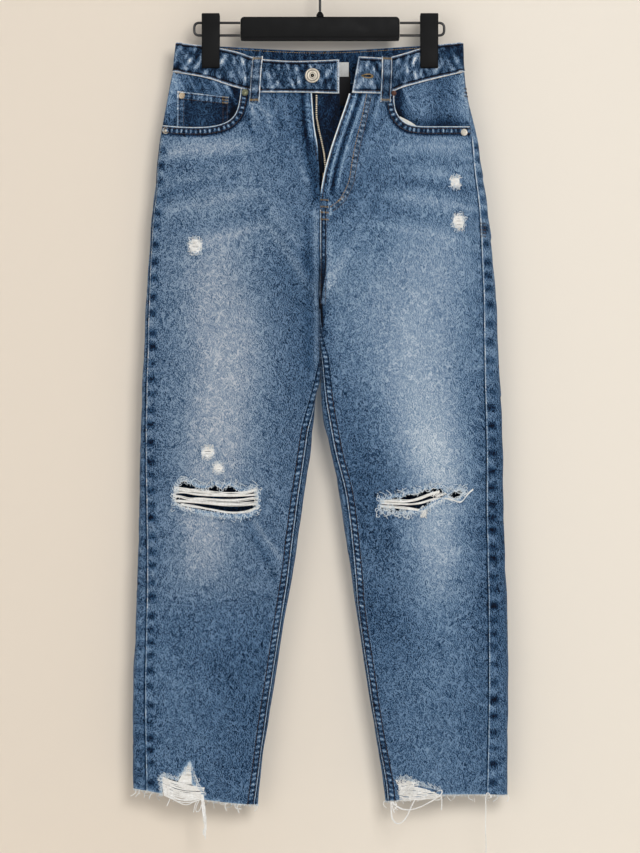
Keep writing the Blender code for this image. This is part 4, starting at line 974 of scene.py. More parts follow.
def grained(name, dark, light, scale, roughness, metallic=0.0, bump=0.2, contrast=1.0, specular=0.3):
    """A material whose colour moves between two tones with a fine grain."""
    material, tree, shader = blank(name)
    if tree:
        grain = tree.nodes.new("ShaderNodeGroup")
        grain.node_tree = fine_grain()
        grain.inputs["Scale"].default_value = scale
        grain.inputs["Contrast"].default_value = contrast
        tint = mixed(tree, grain.outputs["Mask"], (*dark, 1.0), (*light, 1.0))
        tree.links.new(tint, shader.inputs["Base Color"])
        low, high = roughness
        tree.links.new(between(tree, grain.outputs["Mask"], 0.0, 1.0, low, high), shader.inputs["Roughness"])
        shader.inputs["Metallic"].default_value = metallic
        shader.inputs["Specular IOR Level"].default_value = specular
        raise_bump(tree, shader, grain.outputs["Height"], bump, 0.3)
    return material


def shaded(name, colour, low, high, *settings, **more):
    """A grained material between a darker and a lighter shade of one of the colours."""
    dark, light = (tuple(min(1.0, v * by) for v in getattr(colours(), colour)) for by in (low, high))
    return grained(name, dark, light, *settings, **more)


def cream_thread():
    return shaded("Cream weft thread", "cream", 0.80, 1.08, 0.35, (0.85, 0.95), bump=0.15, specular=0.1)


def pale_fuzz():
    return grained("Frayed blue yarn", (0.52, 0.64, 0.75), (0.90, 0.92, 0.92), 0.22,
                   (0.85, 0.95), bump=0.1, specular=0.1)


def sewing_thread():
    return shaded("Sewing thread", "sewing", 0.4, 1.35, 0.10, (0.6, 0.8), bump=0.1)


def ochre_thread():
    return shaded("Bartack thread", "ochre", 0.6, 1.25, 0.25, (0.6, 0.8), bump=0.1)


def antique_brass():
    return shaded("Antique brass", "brass", 0.5, 1.35, 0.9, (0.32, 0.5), 0.9)


def hanger_plastic():
    return shaded("Hanger plastic", "plastic", 0.8, 1.3, 1.6, (0.5, 0.62), bump=0.12, specular=0.14)


def dark_gap():
    return grained("Shadowed gap", (0.004, 0.005, 0.008), (0.012, 0.014, 0.02), 0.5, (0.9, 1.0),
                   bump=0.05, specular=0.02)


def zip_metal():
    return grained("Zip teeth metal", (0.30, 0.25, 0.17), (0.85, 0.76, 0.60), 0.7, (0.3, 0.45), 0.6, bump=0.2)


# ------------------------------------------------------------------ mesh makers
def new_object(name, data):
    made = bpy.data.objects.new(name, data)
    bpy.context.scene.collection.objects.link(made)
    return made


def close_up(name, points, faces, material, smooth=True, angle=50.0):
    """An object from points in mm and faces that close a solid, with its faces outwards."""
    points = np.asarray(points, float).reshape(-1, 3)
    corners = list(faces)
    tri = np.array([(f[0], f[k], f[k + 1]) for f in corners for k in range(1, len(f) - 1)])
    p = points[tri] - points.mean(0)
    if (np.einsum("ij,ij->i", p[:, 0], np.cross(p[:, 1], p[:, 2]))).sum() < 0:
        corners = [list(f)[::-1] for f in corners]
    mesh = bpy.data.meshes.new(name)
    mesh.from_pydata((points * MM).tolist(), [], [list(map(int, f)) for f in corners])
    mesh.update()
    made = new_object(name, mesh)
    mesh.materials.append(material)
    if smooth:
        mesh.shade_smooth()
        mesh.set_sharp_from_angle(angle=math.radians(angle))
    return made


def paint(made, tone, warmth):
    for label, values in (("tone", tone), ("warmth", warmth)):
        made.data.attributes.new(label, "FLOAT",
                                 "POINT").data.foreach_set("value", np.asarray(values, np.float32).ravel())
    return made


def shell(name, outer, inner, tone, warmth=0.0, tone_inside=0.14, keep=None, material=None):
    """A closed cloth piece from two grids of points, with the cells outside keep cut away."""
    rows, columns = outer.shape[:2]
    keep = np.ones((rows - 1, columns - 1), bool) if keep is None else keep
    used = np.zeros((rows, columns), bool)
    for di in (0, 1):
        for dj in (0, 1):
            used[di:rows - 1 + di, dj:columns - 1 + dj] |= keep
    number = np.cumsum(used.ravel()).reshape(rows, columns) - 1
    count = int(used.sum())
    a, b, c, d = number[:-1, :-1][keep], number[1:, :-1][keep], number[1:, 1:][keep], number[:-1, 1:][keep]
    faces = [np.column_stack([a, b, c, d]), np.column_stack([d, c, b, a]) + count]
    wide = np.zeros((rows + 1, columns + 1), bool)
    wide[1:-1, 1:-1] = keep
    core = wide[1:-1, 1:-1]
    for beside, first, second in ((wide[1:-1, :-2], (0, 0), (1, 0)), (wide[2:, 1:-1], (1, 0), (1, 1)),
                                  (wide[1:-1, 2:], (1, 1), (0, 1)), (wide[:-2, 1:-1], (0, 1), (0, 0))):
        rim = core & ~beside
        start = number[first[0]:rows - 1 + first[0], first[1]:columns - 1 + first[1]][rim]
        end = number[second[0]:rows - 1 + second[0], second[1]:columns - 1 + second[1]][rim]
        faces.append(np.column_stack([end, start, start + count, end + count]))
    points = np.vstack([outer[used], inner[used]])
    made = close_up(name, points, np.vstack(faces), material or denim())
    # The inner faces take the inside tone, kept dark as painted shade inside the garment.
    tone, warmth, tone_inside = (np.broadcast_to(v, (rows, columns)) for v in (tone, warmth, tone_inside))
    return paint(made, np.concatenate([tone[used], tone_inside[used]]),
                 np.concatenate([warmth[used], 0 * warmth[used]]))


def layered(name, base, way, high, low, tone, warmth, tone_inside, material=None):
    """A closed cloth piece between two heights over the form."""
    outer, inner = (base + way * np.asarray(lift)[..., None] for lift in (high, low))
    return shell(name, outer, inner, tone, warmth, tone_inside, None, material)


def inside_loop(run, drop, loop):
    """Which places lie inside a closed loop of (run, drop) corners."""
    hit = np.zeros(run.shape, bool)
    for (r0, d0), (r1, d1) in zip(loop, np.roll(loop, -1, axis=0)):
        crosses = (d0 > drop) != (d1 > drop)
        hit ^= crosses & (run < (r1 - r0) * (drop - d0) / (d1 - d0 + 1e-12) + r0)
    return hit


def cut_away(run, drop, loops):
    """Cells to keep outside the loops, and the grid with its cut edges drawn onto the loops."""
    run, drop = run.copy(), drop.copy()
    keep = np.ones((run.shape[0] - 1, run.shape[1] - 1), bool)
    middle_run = (run[:-1, :-1] + run[1:, 1:] + run[:-1, 1:] + run[1:, :-1]) / 4
    middle_drop = (drop[:-1, :-1] + drop[1:, 1:] + drop[:-1, 1:] + drop[1:, :-1]) / 4
    for loop in loops:
        loop = np.asarray(loop, float)
        gone = inside_loop(middle_run, middle_drop, loop) & keep
        near = np.zeros(run.shape, int)
        far = np.zeros(run.shape, int)
        for di in (0, 1):
            for dj in (0, 1):
                block = (slice(di, run.shape[0] - 1 + di), slice(dj, run.shape[1] - 1 + dj))
                near[block] += gone
                far[block] += keep & ~gone
        edge = (near > 0) & (far > 0)
        r, d = run[edge], drop[edge]
        best, to_r, to_d = np.full(r.shape, 1e9), r.copy(), d.copy()
        for near_r, near_d, off in on_edges(r, d, loop):
            better = off < best
            best = np.where(better, off, best)
            to_r, to_d = np.where(better, near_r, to_r), np.where(better, near_d, to_d)
        close = best < 2.4
        run[edge], drop[edge] = np.where(close, to_r, r), np.where(close, to_d, d)
        keep &= ~gone
    return keep, run, drop


# each piece's place, the trims of each cloth piece, and the sizes it was cut to
HOME, TRIMS, CUTS = {}, {}, []


def settle(made, *nodes, body="root", slot=None):
    """The piece rides on its body and stands for these solids."""
    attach(made, body)
    if nodes:
        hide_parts(*nodes)
    slot or nodes[0]
    HOME[made.name] = slot or nodes[0]
    return made


def trim(node, *pieces):
    """Seams, threads and fraying that belong to one cloth piece."""
    for made in pieces:
        if made.name not in HOME:
            settle(made, slot=node)
        TRIMS.setdefault(node, []).append(made.name)
    return pieces[0]


def cut_size(run, drop, keep=None):
    """Width, length and area in metres of a piece cut flat to this chart of runs and drops."""
    cell = np.abs((run[:-1, 1:] - run[:-1, :-1]) * (drop[1:, :-1] - drop[:-1, :-1])
                  - (run[1:, :-1] - run[:-1, :-1]) * (drop[:-1, 1:] - drop[:-1, :-1]))
    area = (cell if keep is None else cell[keep]).sum() * MM * MM
    width, length = np.ptp(run) * MM, np.ptp(drop) * MM
    return width, length, min(area, width * length)


def as_sheet(made, width, length, area, rests=()):
    """Keeps the size a cloth piece was cut to, until its trims are there too."""
    CUTS.append((made.name, width, length, max(area, 0.31 * width * length), list(rests)))
    return made


def cut_cloth(made, node, run, drop, rests, keep=None):
    """Settles a cloth piece and keeps the size it was cut to on this chart."""
    settle(made, node)
    return as_sheet(made, *cut_size(run, drop, keep), rests=rests)


def declare_cloth():
    """Goes through every cloth piece with its flat size and its trims, without keeping or setting anything.
    """
    for name, width, length, area, rests in CUTS:
        extra = [bpy.data.objects[t] for t in TRIMS.get(HOME[name], [])]
        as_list(rests)


def step_along(path, step):
    """A path of points taken again at even steps."""
    path = np.asarray(path, float)
    length = np.concatenate([[0], np.cumsum(np.linalg.norm(np.diff(path, axis=0), axis=1))])
    count = max(2, int(round(length[-1] / step)) + 1)
    at = np.linspace(0, length[-1], count)
    return np.column_stack([np.interp(at, length, path[:, k]) for k in range(path.shape[1])]), at


def rounded(path, passes=2):
    """A path of corners made a smooth curve."""
    path = np.asarray(path, float)
    for _ in range(passes):
        middle = np.empty((2 * len(path) - 2, path.shape[1]))
        middle[0::2] = 0.75 * path[:-1] + 0.25 * path[1:]
        middle[1::2] = 0.25 * path[:-1] + 0.75 * path[1:]
        path = np.vstack([path[:1], middle, path[-1:]])
    return path


def sideways(path):
    """Unit directions across a (run, drop) path."""
    ahead = np.gradient(path, axis=0)
    ahead /= np.linalg.norm(ahead, axis=1, keepdims=True) + 1e-12
    return np.column_stack([-ahead[:, 1], ahead[:, 0]])


def beside(path, off):
    """A (run, drop) path moved sideways."""
    return path + sideways(path) * np.asarray(off)[..., None]


def ribbon(name, side, path, across, outside, inside, tone, warmth=0.3, step=1.15,
           material=None, smooth=True):
    """A sewn band along a (run, drop) path.

    across, outside and inside are offsets over its width; outside and tone may be functions of the
    distance along and across.
    """
    path, along = step_along(rounded(path) if smooth else path, step)
    across = np.asarray(across, float)
    out = sideways(path)
    run = path[:, 0][:, None] + out[:, 0][:, None] * across
    drop = path[:, 1][:, None] + out[:, 1][:, None] * across
    s, c = np.broadcast_arrays(along[:, None], across[None, :])
    value = lambda v: v(s, c) if callable(v) else np.broadcast_to(v, s.shape)
    outer, _ = lay(side, run, drop, value(outside))
    inner, _ = lay(side, run, drop, value(inside))
    return shell(name, outer, inner, value(tone), value(warmth), 0.3, None, material), run, drop


# ------------------------------------------------------------------ Geometry Nodes that repeat small things
def repeat_tree(name, inputs):
    inputs = [("Geometry", "Geometry", None)] + inputs + [("Material", "Material", None)]
    return group_of(name, inputs, [("Geometry", "Geometry")], "GeometryNodeTree")


def finish_tree(tree, start, end, geometry, smooth=True):
    made = knot(tree, "GeometryNodeRealizeInstances", {"Geometry": geometry}).outputs[0]
    if smooth:
        made = knot(tree, "GeometryNodeSetShadeSmooth", {"Geometry": made}).outputs[0]
    made = knot(tree, "GeometryNodeSetMaterial",
                {"Geometry": made, "Material": start.outputs["Material"]}).outputs[0]
    tree.links.new(made, end.inputs[0])
    return tree


def dice(tree, seed, offset, low, high):
    seed = plus(tree, seed, float(offset))
    made = knot(tree, "FunctionNodeRandomValue", {"Seed": seed}, data_type="FLOAT")
    made.inputs[2].default_value, made.inputs[3].default_value = low, high
    return made.outputs[1]


def triple(tree, x=0.0, y=0.0, z=0.0):
    return knot(tree, "ShaderNodeCombineXYZ", {0: x, 1: y, 2: z}).outputs[0]


def line_of(tree, start):
    return knot(tree, "GeometryNodeMeshToCurve", {"Mesh": start.outputs["Geometry"]}).outputs[0]


def points_along(tree, start, step):
    return knot(tree, "GeometryNodeCurveToPoints",
                {"Curve": line_of(tree, start), "Length": start.outputs[step]},
                mode="LENGTH")


def tube_along(tree, line, sides, radius):
    circle = knot(tree, "GeometryNodeCurvePrimitiveCircle",
                  {"Resolution": sides, "Radius": radius}).outputs[0]
    return knot(tree, "GeometryNodeCurveToMesh", {"Curve": line, "Profile Curve": circle,
                                                  "Fill Caps": True}).outputs[0]


def turned_by(tree, rotation, angles, space):
    by = knot(tree, "FunctionNodeEulerToRotation", {0: angles}).outputs[0]
    return knot(tree, "FunctionNodeRotateRotation", {"Rotation": rotation, "Rotate By": by},
                rotation_space=space).outputs[0]


def placed_on(tree, points, piece, rotation, scale=(1.0, 1.0, 1.0)):
    return knot(tree, "GeometryNodeInstanceOnPoints", {"Points": points.outputs["Points"], "Instance": piece,
                                                       "Rotation": rotation, "Scale": scale}).outputs[0]


@kept("Thread runs")
def thread_tree(name):
    """A round thread along each line."""
    tree, start, end = repeat_tree(name, [("Radius", "Float", 0.0005), ("Sides", "Int", 5)])
    tube = tube_along(tree, line_of(tree, start), start.outputs["Sides"], start.outputs["Radius"])
    return finish_tree(tree, start, end, tube)


@kept("Stitch runs")
def stitch_tree(name):
    """Grains of thread along each line, each tilted and drawn out a little differently."""
    tree, start, end = repeat_tree(name, [("Pitch", "Float", 0.003), ("Length", "Float", 0.0026),
                                          ("Width", "Float", 0.0008), ("Seed", "Int", 1)])
    width, seed = start.outputs["Width"], start.outputs["Seed"]
    points = points_along(tree, start, "Pitch")
    grain = knot(tree, "GeometryNodeMeshUVSphere", {"Segments": 5, "Rings": 4, "Radius": 0.5}).outputs[0]
    size = triple(tree, width, width, start.outputs["Length"])
    body = knot(tree, "GeometryNodeTransform", {"Geometry": grain, "Scale": size}).outputs[0]
    tilt = triple(tree, dice(tree, seed, 0, -0.09, 0.09), dice(tree, seed, 7, -0.09, 0.09))
    way = turned_by(tree, points.outputs["Rotation"], tilt, "LOCAL")
    scale = triple(tree, 1.0, 1.0, dice(tree, seed, 13, 0.86, 1.08))
    return finish_tree(tree, start, end, placed_on(tree, points, body, way, scale))


@kept("Zip teeth")
def tooth_tree(name):
    """Square teeth along each line, turned with it."""
    tree, start, end = repeat_tree(name, [("Pitch", "Float", 0.0016), ("Width", "Float", 0.0034),
                                          ("Thickness", "Float", 0.0019),
                                          ("Height", "Float", 0.001), ("Seed", "Int", 1)])
    points = points_along(tree, start, "Pitch")
    size = triple(tree, *(start.outputs[label] for label in ("Width", "Thickness", "Height")))
    block = knot(tree, "GeometryNodeMeshCube", {"Size": size}).outputs[0]
    way = knot(tree, "FunctionNodeAlignRotationToVector", {"Vector": points.outputs["Tangent"]}, axis="Z",
               pivot_axis="Y").outputs[0]
    return finish_tree(tree, start, end, placed_on(tree, points, block, way), smooth=False)


@kept("Frayed edge")
def fray_tree(name):
    """Bent hairs of yarn along each line, leaning about one aim."""
    tree, start, end = repeat_tree(name, [("Spacing", "Float", 0.001), ("Length", "Float", 0.006),
                                          ("Radius", "Float", 0.0002),
                                          ("Bend", "Float", 0.5), ("Aim", "Float", 0.0),
                                          ("Spread", "Float", 0.5),
                                          ("Stand", "Float", 0.25), ("Seed", "Int", 1)])
    points = points_along(tree, start, "Spacing")
    length, bend, seed = (start.outputs[label] for label in ("Length", "Bend", "Seed"))
    down = times(tree, length, -1.0)
    middle = triple(tree, times(tree, length, bend), 0.0, times(tree, down, 0.45))
    tip = triple(tree, times(tree, times(tree, length, bend), -0.35), 0.0, down)
    yarn = knot(tree, "GeometryNodeCurveQuadraticBezier",
                {"Resolution": 5, "Start": (0.0, 0.0, 0.0), "Middle": middle,
                                                           "End": tip}).outputs[0]
    hair = tube_along(tree, yarn, 4, start.outputs["Radius"])
    spin = triple(tree, 0.0, 0.0, dice(tree, seed, 1, 0.0, 6.28))
    lean = times(tree, dice(tree, seed, 2, -1.0, 1.0), start.outputs["Spread"])
    stand = times(tree, dice(tree, seed, 3, -1.0, 0.15), start.outputs["Stand"])
    aim = triple(tree, stand, plus(tree, lean, start.outputs["Aim"]))
    first = knot(tree, "FunctionNodeEulerToRotation", {0: spin}).outputs[0]
    much = dice(tree, seed, 4, 0.25, 1.25)
    return finish_tree(tree, start, end,
                       placed_on(tree, points, hair, turned_by(tree, first, aim, "GLOBAL"), much))


def grow(name, paths, tree, material, **values):
    """Runs a tree along paths of points in mm, and keeps the result as a plain mesh."""
    points, edges = [], []
    for path in paths:
        first = len(points)
        points += [tuple(p) for p in np.asarray(path, float) * MM]
        edges += [(first + k, first + k + 1) for k in range(len(path) - 1)]
    guide = bpy.data.objects.new(name + "_guide", bpy.data.meshes.new(name + "_guide"))
    guide.data.from_pydata(points, edges, [])
    bpy.context.scene.collection.objects.link(guide)
    change = guide.modifiers.new("Repeat", "NODES")
    change.node_group = tree
    values["Material"] = material
    for item in tree.interface.items_tree:
        if item.item_type == "SOCKET" and item.in_out == "INPUT" and item.name in values:
            change[item.identifier] = values[item.name]
    graph = bpy.context.evaluated_depsgraph_get()
    mesh = bpy.data.meshes.new_from_object(guide.evaluated_get(graph), depsgraph=graph)
    mesh.name = name
    made = new_object(name, mesh)
    bpy.data.objects.remove(guide, do_unlink=True)
    if not len(mesh.polygons):
        raise RuntimeError(name + " came out empty")
    return made


def threads(name, paths, radius, material, sides=5):
    return grow(name, paths, thread_tree(), material, Radius=radius * MM, Sides=sides)


def stitches(name, paths, material, pitch=None, width=None, seed=1, fill=0.84):
    pitch = sizes().stitch_pitch if pitch is None else pitch * MM
    width = sizes().stitch_width if width is None else width * MM
    return grow(name, paths, stitch_tree(), material, Pitch=pitch,
                Length=pitch * fill, Width=width, Seed=seed)


def fray(name, paths, material, spacing, length, aim=0.0, spread=0.6, stand=0.4,
         bend=0.5, radius=0.2, seed=1):
    return grow(name, paths, fray_tree(), material, Spacing=spacing * MM,
                Length=length * MM, Radius=radius * MM,
                Bend=bend, Aim=aim, Spread=spread, Stand=stand, Seed=seed)


def merged(name, pieces):
    """Several plain meshes made one piece."""
    bpy.ops.object.select_all(action="DESELECT")
    for piece in pieces:
        piece.select_set(True)
    bpy.context.view_layer.objects.active = pieces[0]
    bpy.ops.object.join()
    pieces[0].name = name
    return pieces[0]


def square_to(way):
    """Two directions square to a way and to each other."""
    first = np.cross(way, (0.0, 0.0, 1.0) if abs(way[2]) < 0.9 else (1.0, 0.0, 0.0))
    first /= np.linalg.norm(first)
    return first, np.cross(way, first)


def turned(name, centre, way, profile, sides, material, angle=35.0):
    """A turned piece: profile rows are (radius, distance along the axis), first and last at radius 0."""
    way = np.array(way, float) / np.linalg.norm(way)
    first, second = square_to(way)
    centre = np.array(centre, float)
    points = [centre + way * profile[0][1]]
    for radius, height in profile[1:-1]:
        for k in range(sides):
            turn = 2 * math.pi * k / sides
            points.append(centre + (math.cos(turn) * first + math.sin(turn) * second) * radius + way * height)
    points.append(centre + way * profile[-1][1])
    faces, last, rings = [], len(points) - 1, len(profile) - 2
    for k in range(sides):
        after = (k + 1) % sides
        faces.append([0, 1 + k, 1 + after])
        faces.append([last, last - sides + after, last - sides + k])
        for i in range(rings - 1):
            near, far = 1 + i * sides, 1 + (i + 1) * sides
            faces.append([near + k, near + after, far + after, far + k])
    return close_up(name, points, faces, material, angle=angle)


def prism(name, outline, start, end, axis, material, bevel=0.8, segments=3):
    """A flat outline drawn out along X or Y, with softened edges."""
    points = [(reach, u, v) if axis == "x" else (u, reach, v) for reach in (start, end) for u, v in outline]
    count = len(outline)
    faces = [list(range(count)), list(range(count, 2 * count))[::-1]]
    faces += [[(k + 1) % count, k, count + k, count + (k + 1) % count] for k in range(count)]
    made = close_up(name, points, faces, material, angle=40.0)
    if bevel:
        soft = made.modifiers.new("Soft edges", "BEVEL")
        soft.width, soft.segments, soft.limit_method, soft.angle_limit = (bevel * MM, segments,
                                                                          "ANGLE", math.radians(35))
        soft.use_clamp_overlap = True
        graph = bpy.context.evaluated_depsgraph_get()
        mesh = bpy.data.meshes.new_from_object(made.evaluated_get(graph), depsgraph=graph)
        made.modifiers.clear()
        made.data = mesh
        mesh.name = name
        mesh.shade_smooth()
        mesh.set_sharp_from_angle(angle=math.radians(40))
    return made


def seat(x, drop, lift):
    """Where a hard piece sits on the front: its place and the cloth's outward direction."""
    point, way = lay_at(np.array([x]), np.array([drop]))
    return point[0] + way[0] * lift, way[0]


# ------------------------------------------------------------------ main cloth pieces
WORD = {-1: "right", 1: "left"}
EDGE_STEPS = np.array([0.0, 0.45, 0.95, 1.5, 2.2, 3.1, 4.2, 5.5, 7.0, 8.8, 10.8, 13.0])
BELOW = lambda drop: unit((np.asarray(drop, float) - CROTCH) / 5.5)


def front_reach(side, drop):
    """How far round the form a front panel starts and ends."""
    word = WORD[side]
    upper = front_run(side, np.minimum(drop, CROTCH), FLY_EDGE(word, np.minimum(drop, CROTCH)))
    start = upper + (SEAMS(word + "_inner", drop) + SEAM_GAP / 2 - upper) * BELOW(drop)
    return start, fold_run(side, drop) - SEAMS(word + "_side", drop) - SEAM_GAP / 2


def back_reach(side, drop):
    word = WORD[side]
    start = fold_run(side, drop) - SEAMS(word + "_side", drop) + SEAM_GAP / 2
    total = total_run(side, drop)
    return start, total - 0.2 + SEAMS(word + "_inner", drop) * BELOW(drop)


def spread(start, end, count, near_start=EDGE_STEPS, near_end=EDGE_STEPS):
    """Columns with fine steps at both edges and even ones between, for arrays of starts and ends."""
    first, last = near_start[-1], near_end[-1]
    share = np.linspace(0, 1, count + 2)[1:-1]
    middle = (start[..., None] + first) + ((end - last) - (start + first))[..., None] * share
    return np.concatenate([start[..., None] + near_start, middle, end[..., None] - near_end[::-1]], -1)


def column_grid(side, reach, rows, count, top, low, steps=(EDGE_STEPS, EDGE_STEPS), fade=(70.0, 60.0)):
    """Runs and drops of a panel whose first and last rows follow two edges given by run and a."""
    rows = np.asarray(rows, float)
    place = lambda d: spread(*reach(side, d), count, *steps)
    drop = np.repeat(rows[:, None], count + len(steps[0]) + len(steps[1]), 1)
    column = np.arange(drop.shape[1])
    high, bottom = drop[0].copy(), drop[-1].copy()
    for _ in range(8):
        run_high = np.array([place(np.array(h))[j] for j, h in enumerate(high)])
        run_low = np.array([place(np.array(b))[j] for j, b in enumerate(bottom)])
        high = top(run_high, a_of(side, run_high, high))
        bottom = low(run_low, a_of(side, run_low, bottom))
    at_top = unit(1 - (rows - rows[0]) / fade[0])[:, None]
    at_low = unit(1 - (rows[-1] - rows) / fade[1])[:, None]
    drop = drop + at_top * (high - rows[0]) + at_low * (bottom - rows[-1])
    start, end = reach(side, drop)
    whole = spread(start, end, count, *steps)
    run = whole[np.arange(drop.shape[0])[:, None], column, column]
    return run, drop


def hem_at(side, a):
    return HEM("drop", side * a)


def mouth_line(side, margin=0.0):
    """The pocket mouth as (run, drop) points, from the waist seam to the side seam."""
    points = []
    for a, drop in POCKET_MOUTH[WORD[side]]:
        if not drop:
            drop = float(FRONT_BAND("low", side * a)) + TUCK
        points.append((float(front_run(side, drop, a)), drop))
    points = np.array(points)
    end = float(front_reach(side, points[-1, 1])[1])
    points[-1, 0] = end
    return points + np.array([0.0, margin])


def mouth_loop(side):
    line = rounded(mouth_line(side), 3)
    ahead = line[-1] + np.array([8.0, 0.0])
    return np.vstack([line, [ahead], [[ahead[0], 120.0]], [[line[0, 0] - 0.3, 120.0]]])


def rip_loop(side, seed, rough=0.9):
    """The knee rip's ragged outline as (run, drop) corners."""
    rows = KNEE_RIP[WORD[side]]
    upper = rounded([(a, u) for a, u, _ in rows], 2)
    lower = rounded([(a, w) for a, _, w in rows], 2)
    loop = np.vstack([upper, lower[::-1]])
    even, _ = step_along(np.vstack([loop, loop[:1]]), 2.0)
    dice = np.random.default_rng(seed)
    even = even[:-1]
    even[:, 1] += dice.uniform(-rough, rough, len(even))
    even[:, 0] += dice.uniform(-rough, rough, len(even)) * 0.5
    runs = front_run(side, even[:, 1], even[:, 0])
    return np.column_stack([runs, even[:, 1]])


def tear_loop():
    points = [(a, drop if drop else 1075.0) for a, drop in HEM_TEAR]
    even, _ = step_along(points, 2.0)
    dice = np.random.default_rng(31)
    even[:, 0] += dice.uniform(-0.8, 0.8, len(even))
    runs = front_run(-1, np.minimum(even[:, 1], 1069.0), even[:, 0])
    return np.column_stack([runs, even[:, 1]])


SMALL_HOLES = {
    # a, drop, half width, half height of the worn-through spots
    -1: [(155, 370.5, 7.5, 10), (140, 627, 7.5, 7.5), (127, 647, 5.5, 5.5)],
    1: [(168.5, 291, 5.5, 7), (172.5, 340.5, 7, 9.5)],
}


def spot_loop(side, a, drop, wide, high, seed):
    dice = np.random.default_rng(seed)
    turns = np.linspace(0, 2 * math.pi, 19)[:-1]
    size = dice.uniform(0.72, 1.05, len(turns))
    around_a, around_drop = a + wide * 0.62 * size * np.cos(turns), drop + high * 0.62 * size * np.sin(turns)
    return np.column_stack([front_run(side, around_drop, around_a), around_drop])


def hole_loops(side):
    loops = [rip_loop(side, 21 + side)]
    loops += [spot_loop(side, *spot, 51 + k) for k, spot in enumerate(SMALL_HOLES[side])]
    return loops + ([tear_loop()] if side < 0 else [])


FLY_MARKS = {-1: Gathers(19, 4.5, 7.5, 150.0, 340.0), 1: Gathers(20, 4.8, 8.0, 150.0, 360.0)}


def fly_marks(side, drop, a):
    """Rolled, rubbed edges along the open fly: changes of tone and of lift. The tone is partly wear, on the
    pale rubbed edges and pleat ridges, and partly painted shade, in the fold beside the folded-back edge and
    between the pleats.
    """
    e = (a - FLY_EDGE(WORD[side], drop)) * 0.96
    if side < 0:
        high = fade_in(drop, 266.0, -30.0)
        ribs = FLY_MARKS[side](drop + 0.4 * e, 1.7)
        # The dip at 11.5 mm is painted shade beside the folded-back edge.
        tone = 0.72 * peak(e, 0.0, 1.5) + 0.19 * peak(e, 5.2, 2.6) - 0.24 * peak(e, 11.5, 2.4)
        tone = tone - 0.10 * peak(e, 2.6, 0.8) + 0.2 * (ribs - 0.4) * peak(e, 6.0, 3.6, 4)
        return high * tone, high * 0.9 * peak(e, 4.5, 3.6)
    high = fade_in(drop, 311.0, -14.0)
    ribs = FLY_MARKS[side](drop - 0.5 * e, 1.9)
    tone = 0.78 * peak(e, 0.0, 1.6) - 0.3 * peak(e, 3.2, 0.8) - 0.42 * (ribs - 0.3) * peak(e, 5.0, 2.3)
    tone = tone + 0.28 * peak(e, 8.8, 1.6) + 0.24 * peak(e, 19.0, 2.0)
    # These dips are painted shade between the pleats.
    tone = tone - 0.26 * peak(e, 12.5, 1.8) - 0.2 * peak(e, 15.8, 1.6) - 0.12 * peak(e, 33.0, 2.5)
    pleat = 0.45 * peak(e, 8.6, 2.4) + 0.4 * peak(e, 19.0, 3.0)
    return high * tone, high * (0.3 * peak(e, 1.4, 1.2) + pleat)


def front_panel(side):
    """One front panel with its pocket mouth, rip and worn-through spots really cut out."""
    word = WORD[side]
    rows = np.concatenate([[181.0, 181.8, 183.0], np.linspace(185.0, 1050.0, 372),
                           [1052.0, 1054.0, 1056.0, 1058.0, 1059.0, 1060.0]])
    run, drop = column_grid(side, front_reach, rows, 68, lambda r, a: FRONT_BAND("low", side * a) + TUCK,
                            lambda r, a: hem_at(side, a))
    loops = hole_loops(side)
    keep, run, drop = cut_away(run, drop, [mouth_loop(side)] + loops)
    tone, warmth = worn(side, run, drop)
    near_hole = np.min([edge_distance(run, drop, loop) for loop in loops], axis=0)
    # Pale worn fuzz right round each hole, and a painted shadow ring a few millimetres out, where the curls
    # would shade the cloth.
    tone = (tone + 0.2 * peak(near_hole, 0.0, 1.8) + 0.1 * peak(near_hole, 0.0, 4.6)
            - 0.07 * peak(near_hole, 7.0, 2.4))
    a = a_of(side, run, drop)
    tone = tone + 0.16 * peak(hem_at(side, a), drop, 2.2)
    # A painted shadow on the panel just below the waistband's lower edge.
    shade_under_band = drop - FRONT_BAND("low", side * a) - TUCK
    tone = tone - 0.13 * peak(shade_under_band, 0.0, 3.2)
    at_fly, fly_lift = fly_marks(side, drop, a)
    tone = tone + at_fly
    lift = 0.7 * peak(near_hole, 0.0, 5.0) + fly_lift
    outer, ways = lay(side, run, drop, lift)
    # The inner face at 0.09 is painted shade inside the leg, seen black through the rips.
    made = shell("cloth_front_" + word, outer, outer - ways * DENIM, tone, warmth, 0.09, keep)
    return cut_cloth(made, "front_" + word, run, drop, ["waistband"], keep)


def back_panel(side):
    word = WORD[side]
    rows = np.concatenate([np.linspace(212.0, 440.0, 72), np.linspace(443.5, 1052.0, 190),
                           [1054.5, 1057.0, 1060.0]])
    steps = (np.array([0.0, 0.45, 0.95, 1.5, 2.2, 3.1, 4.2, 5.5, 7.0, 8.8, 11.0, 13.6, 16.6,
                       20.0, 23.6, 27.4, 31.4]),
             np.array([0.0, 1.5, 3.2, 5.2, 7.6, 10.4, 13.8]))

    def top(run, a):
        on_front = run <= fold_run(side, np.full(run.shape, YOKE_FOLD))
        return np.where(on_front, YOKE_FOLD, YOKE_LINE("drop", a)) + SEAM_GAP / 2

    run, drop = column_grid(side, back_reach, rows, 40, top, lambda r, a: hem_at(side, a), steps)
    tone, warmth = worn(side, run, drop)
    tone = tone + 0.16 * peak(hem_at(side, a_of(side, run, drop)), drop, 3.0)
    outer, ways = lay(side, run, drop)
    # The inner face at 0.09 is painted shade inside the leg, seen black through the rips.
    made = shell("cloth_back_" + word, outer, outer - ways * DENIM, tone, warmth, 0.09)
    return cut_cloth(made, "back_" + word, run, drop, ["waistband"])


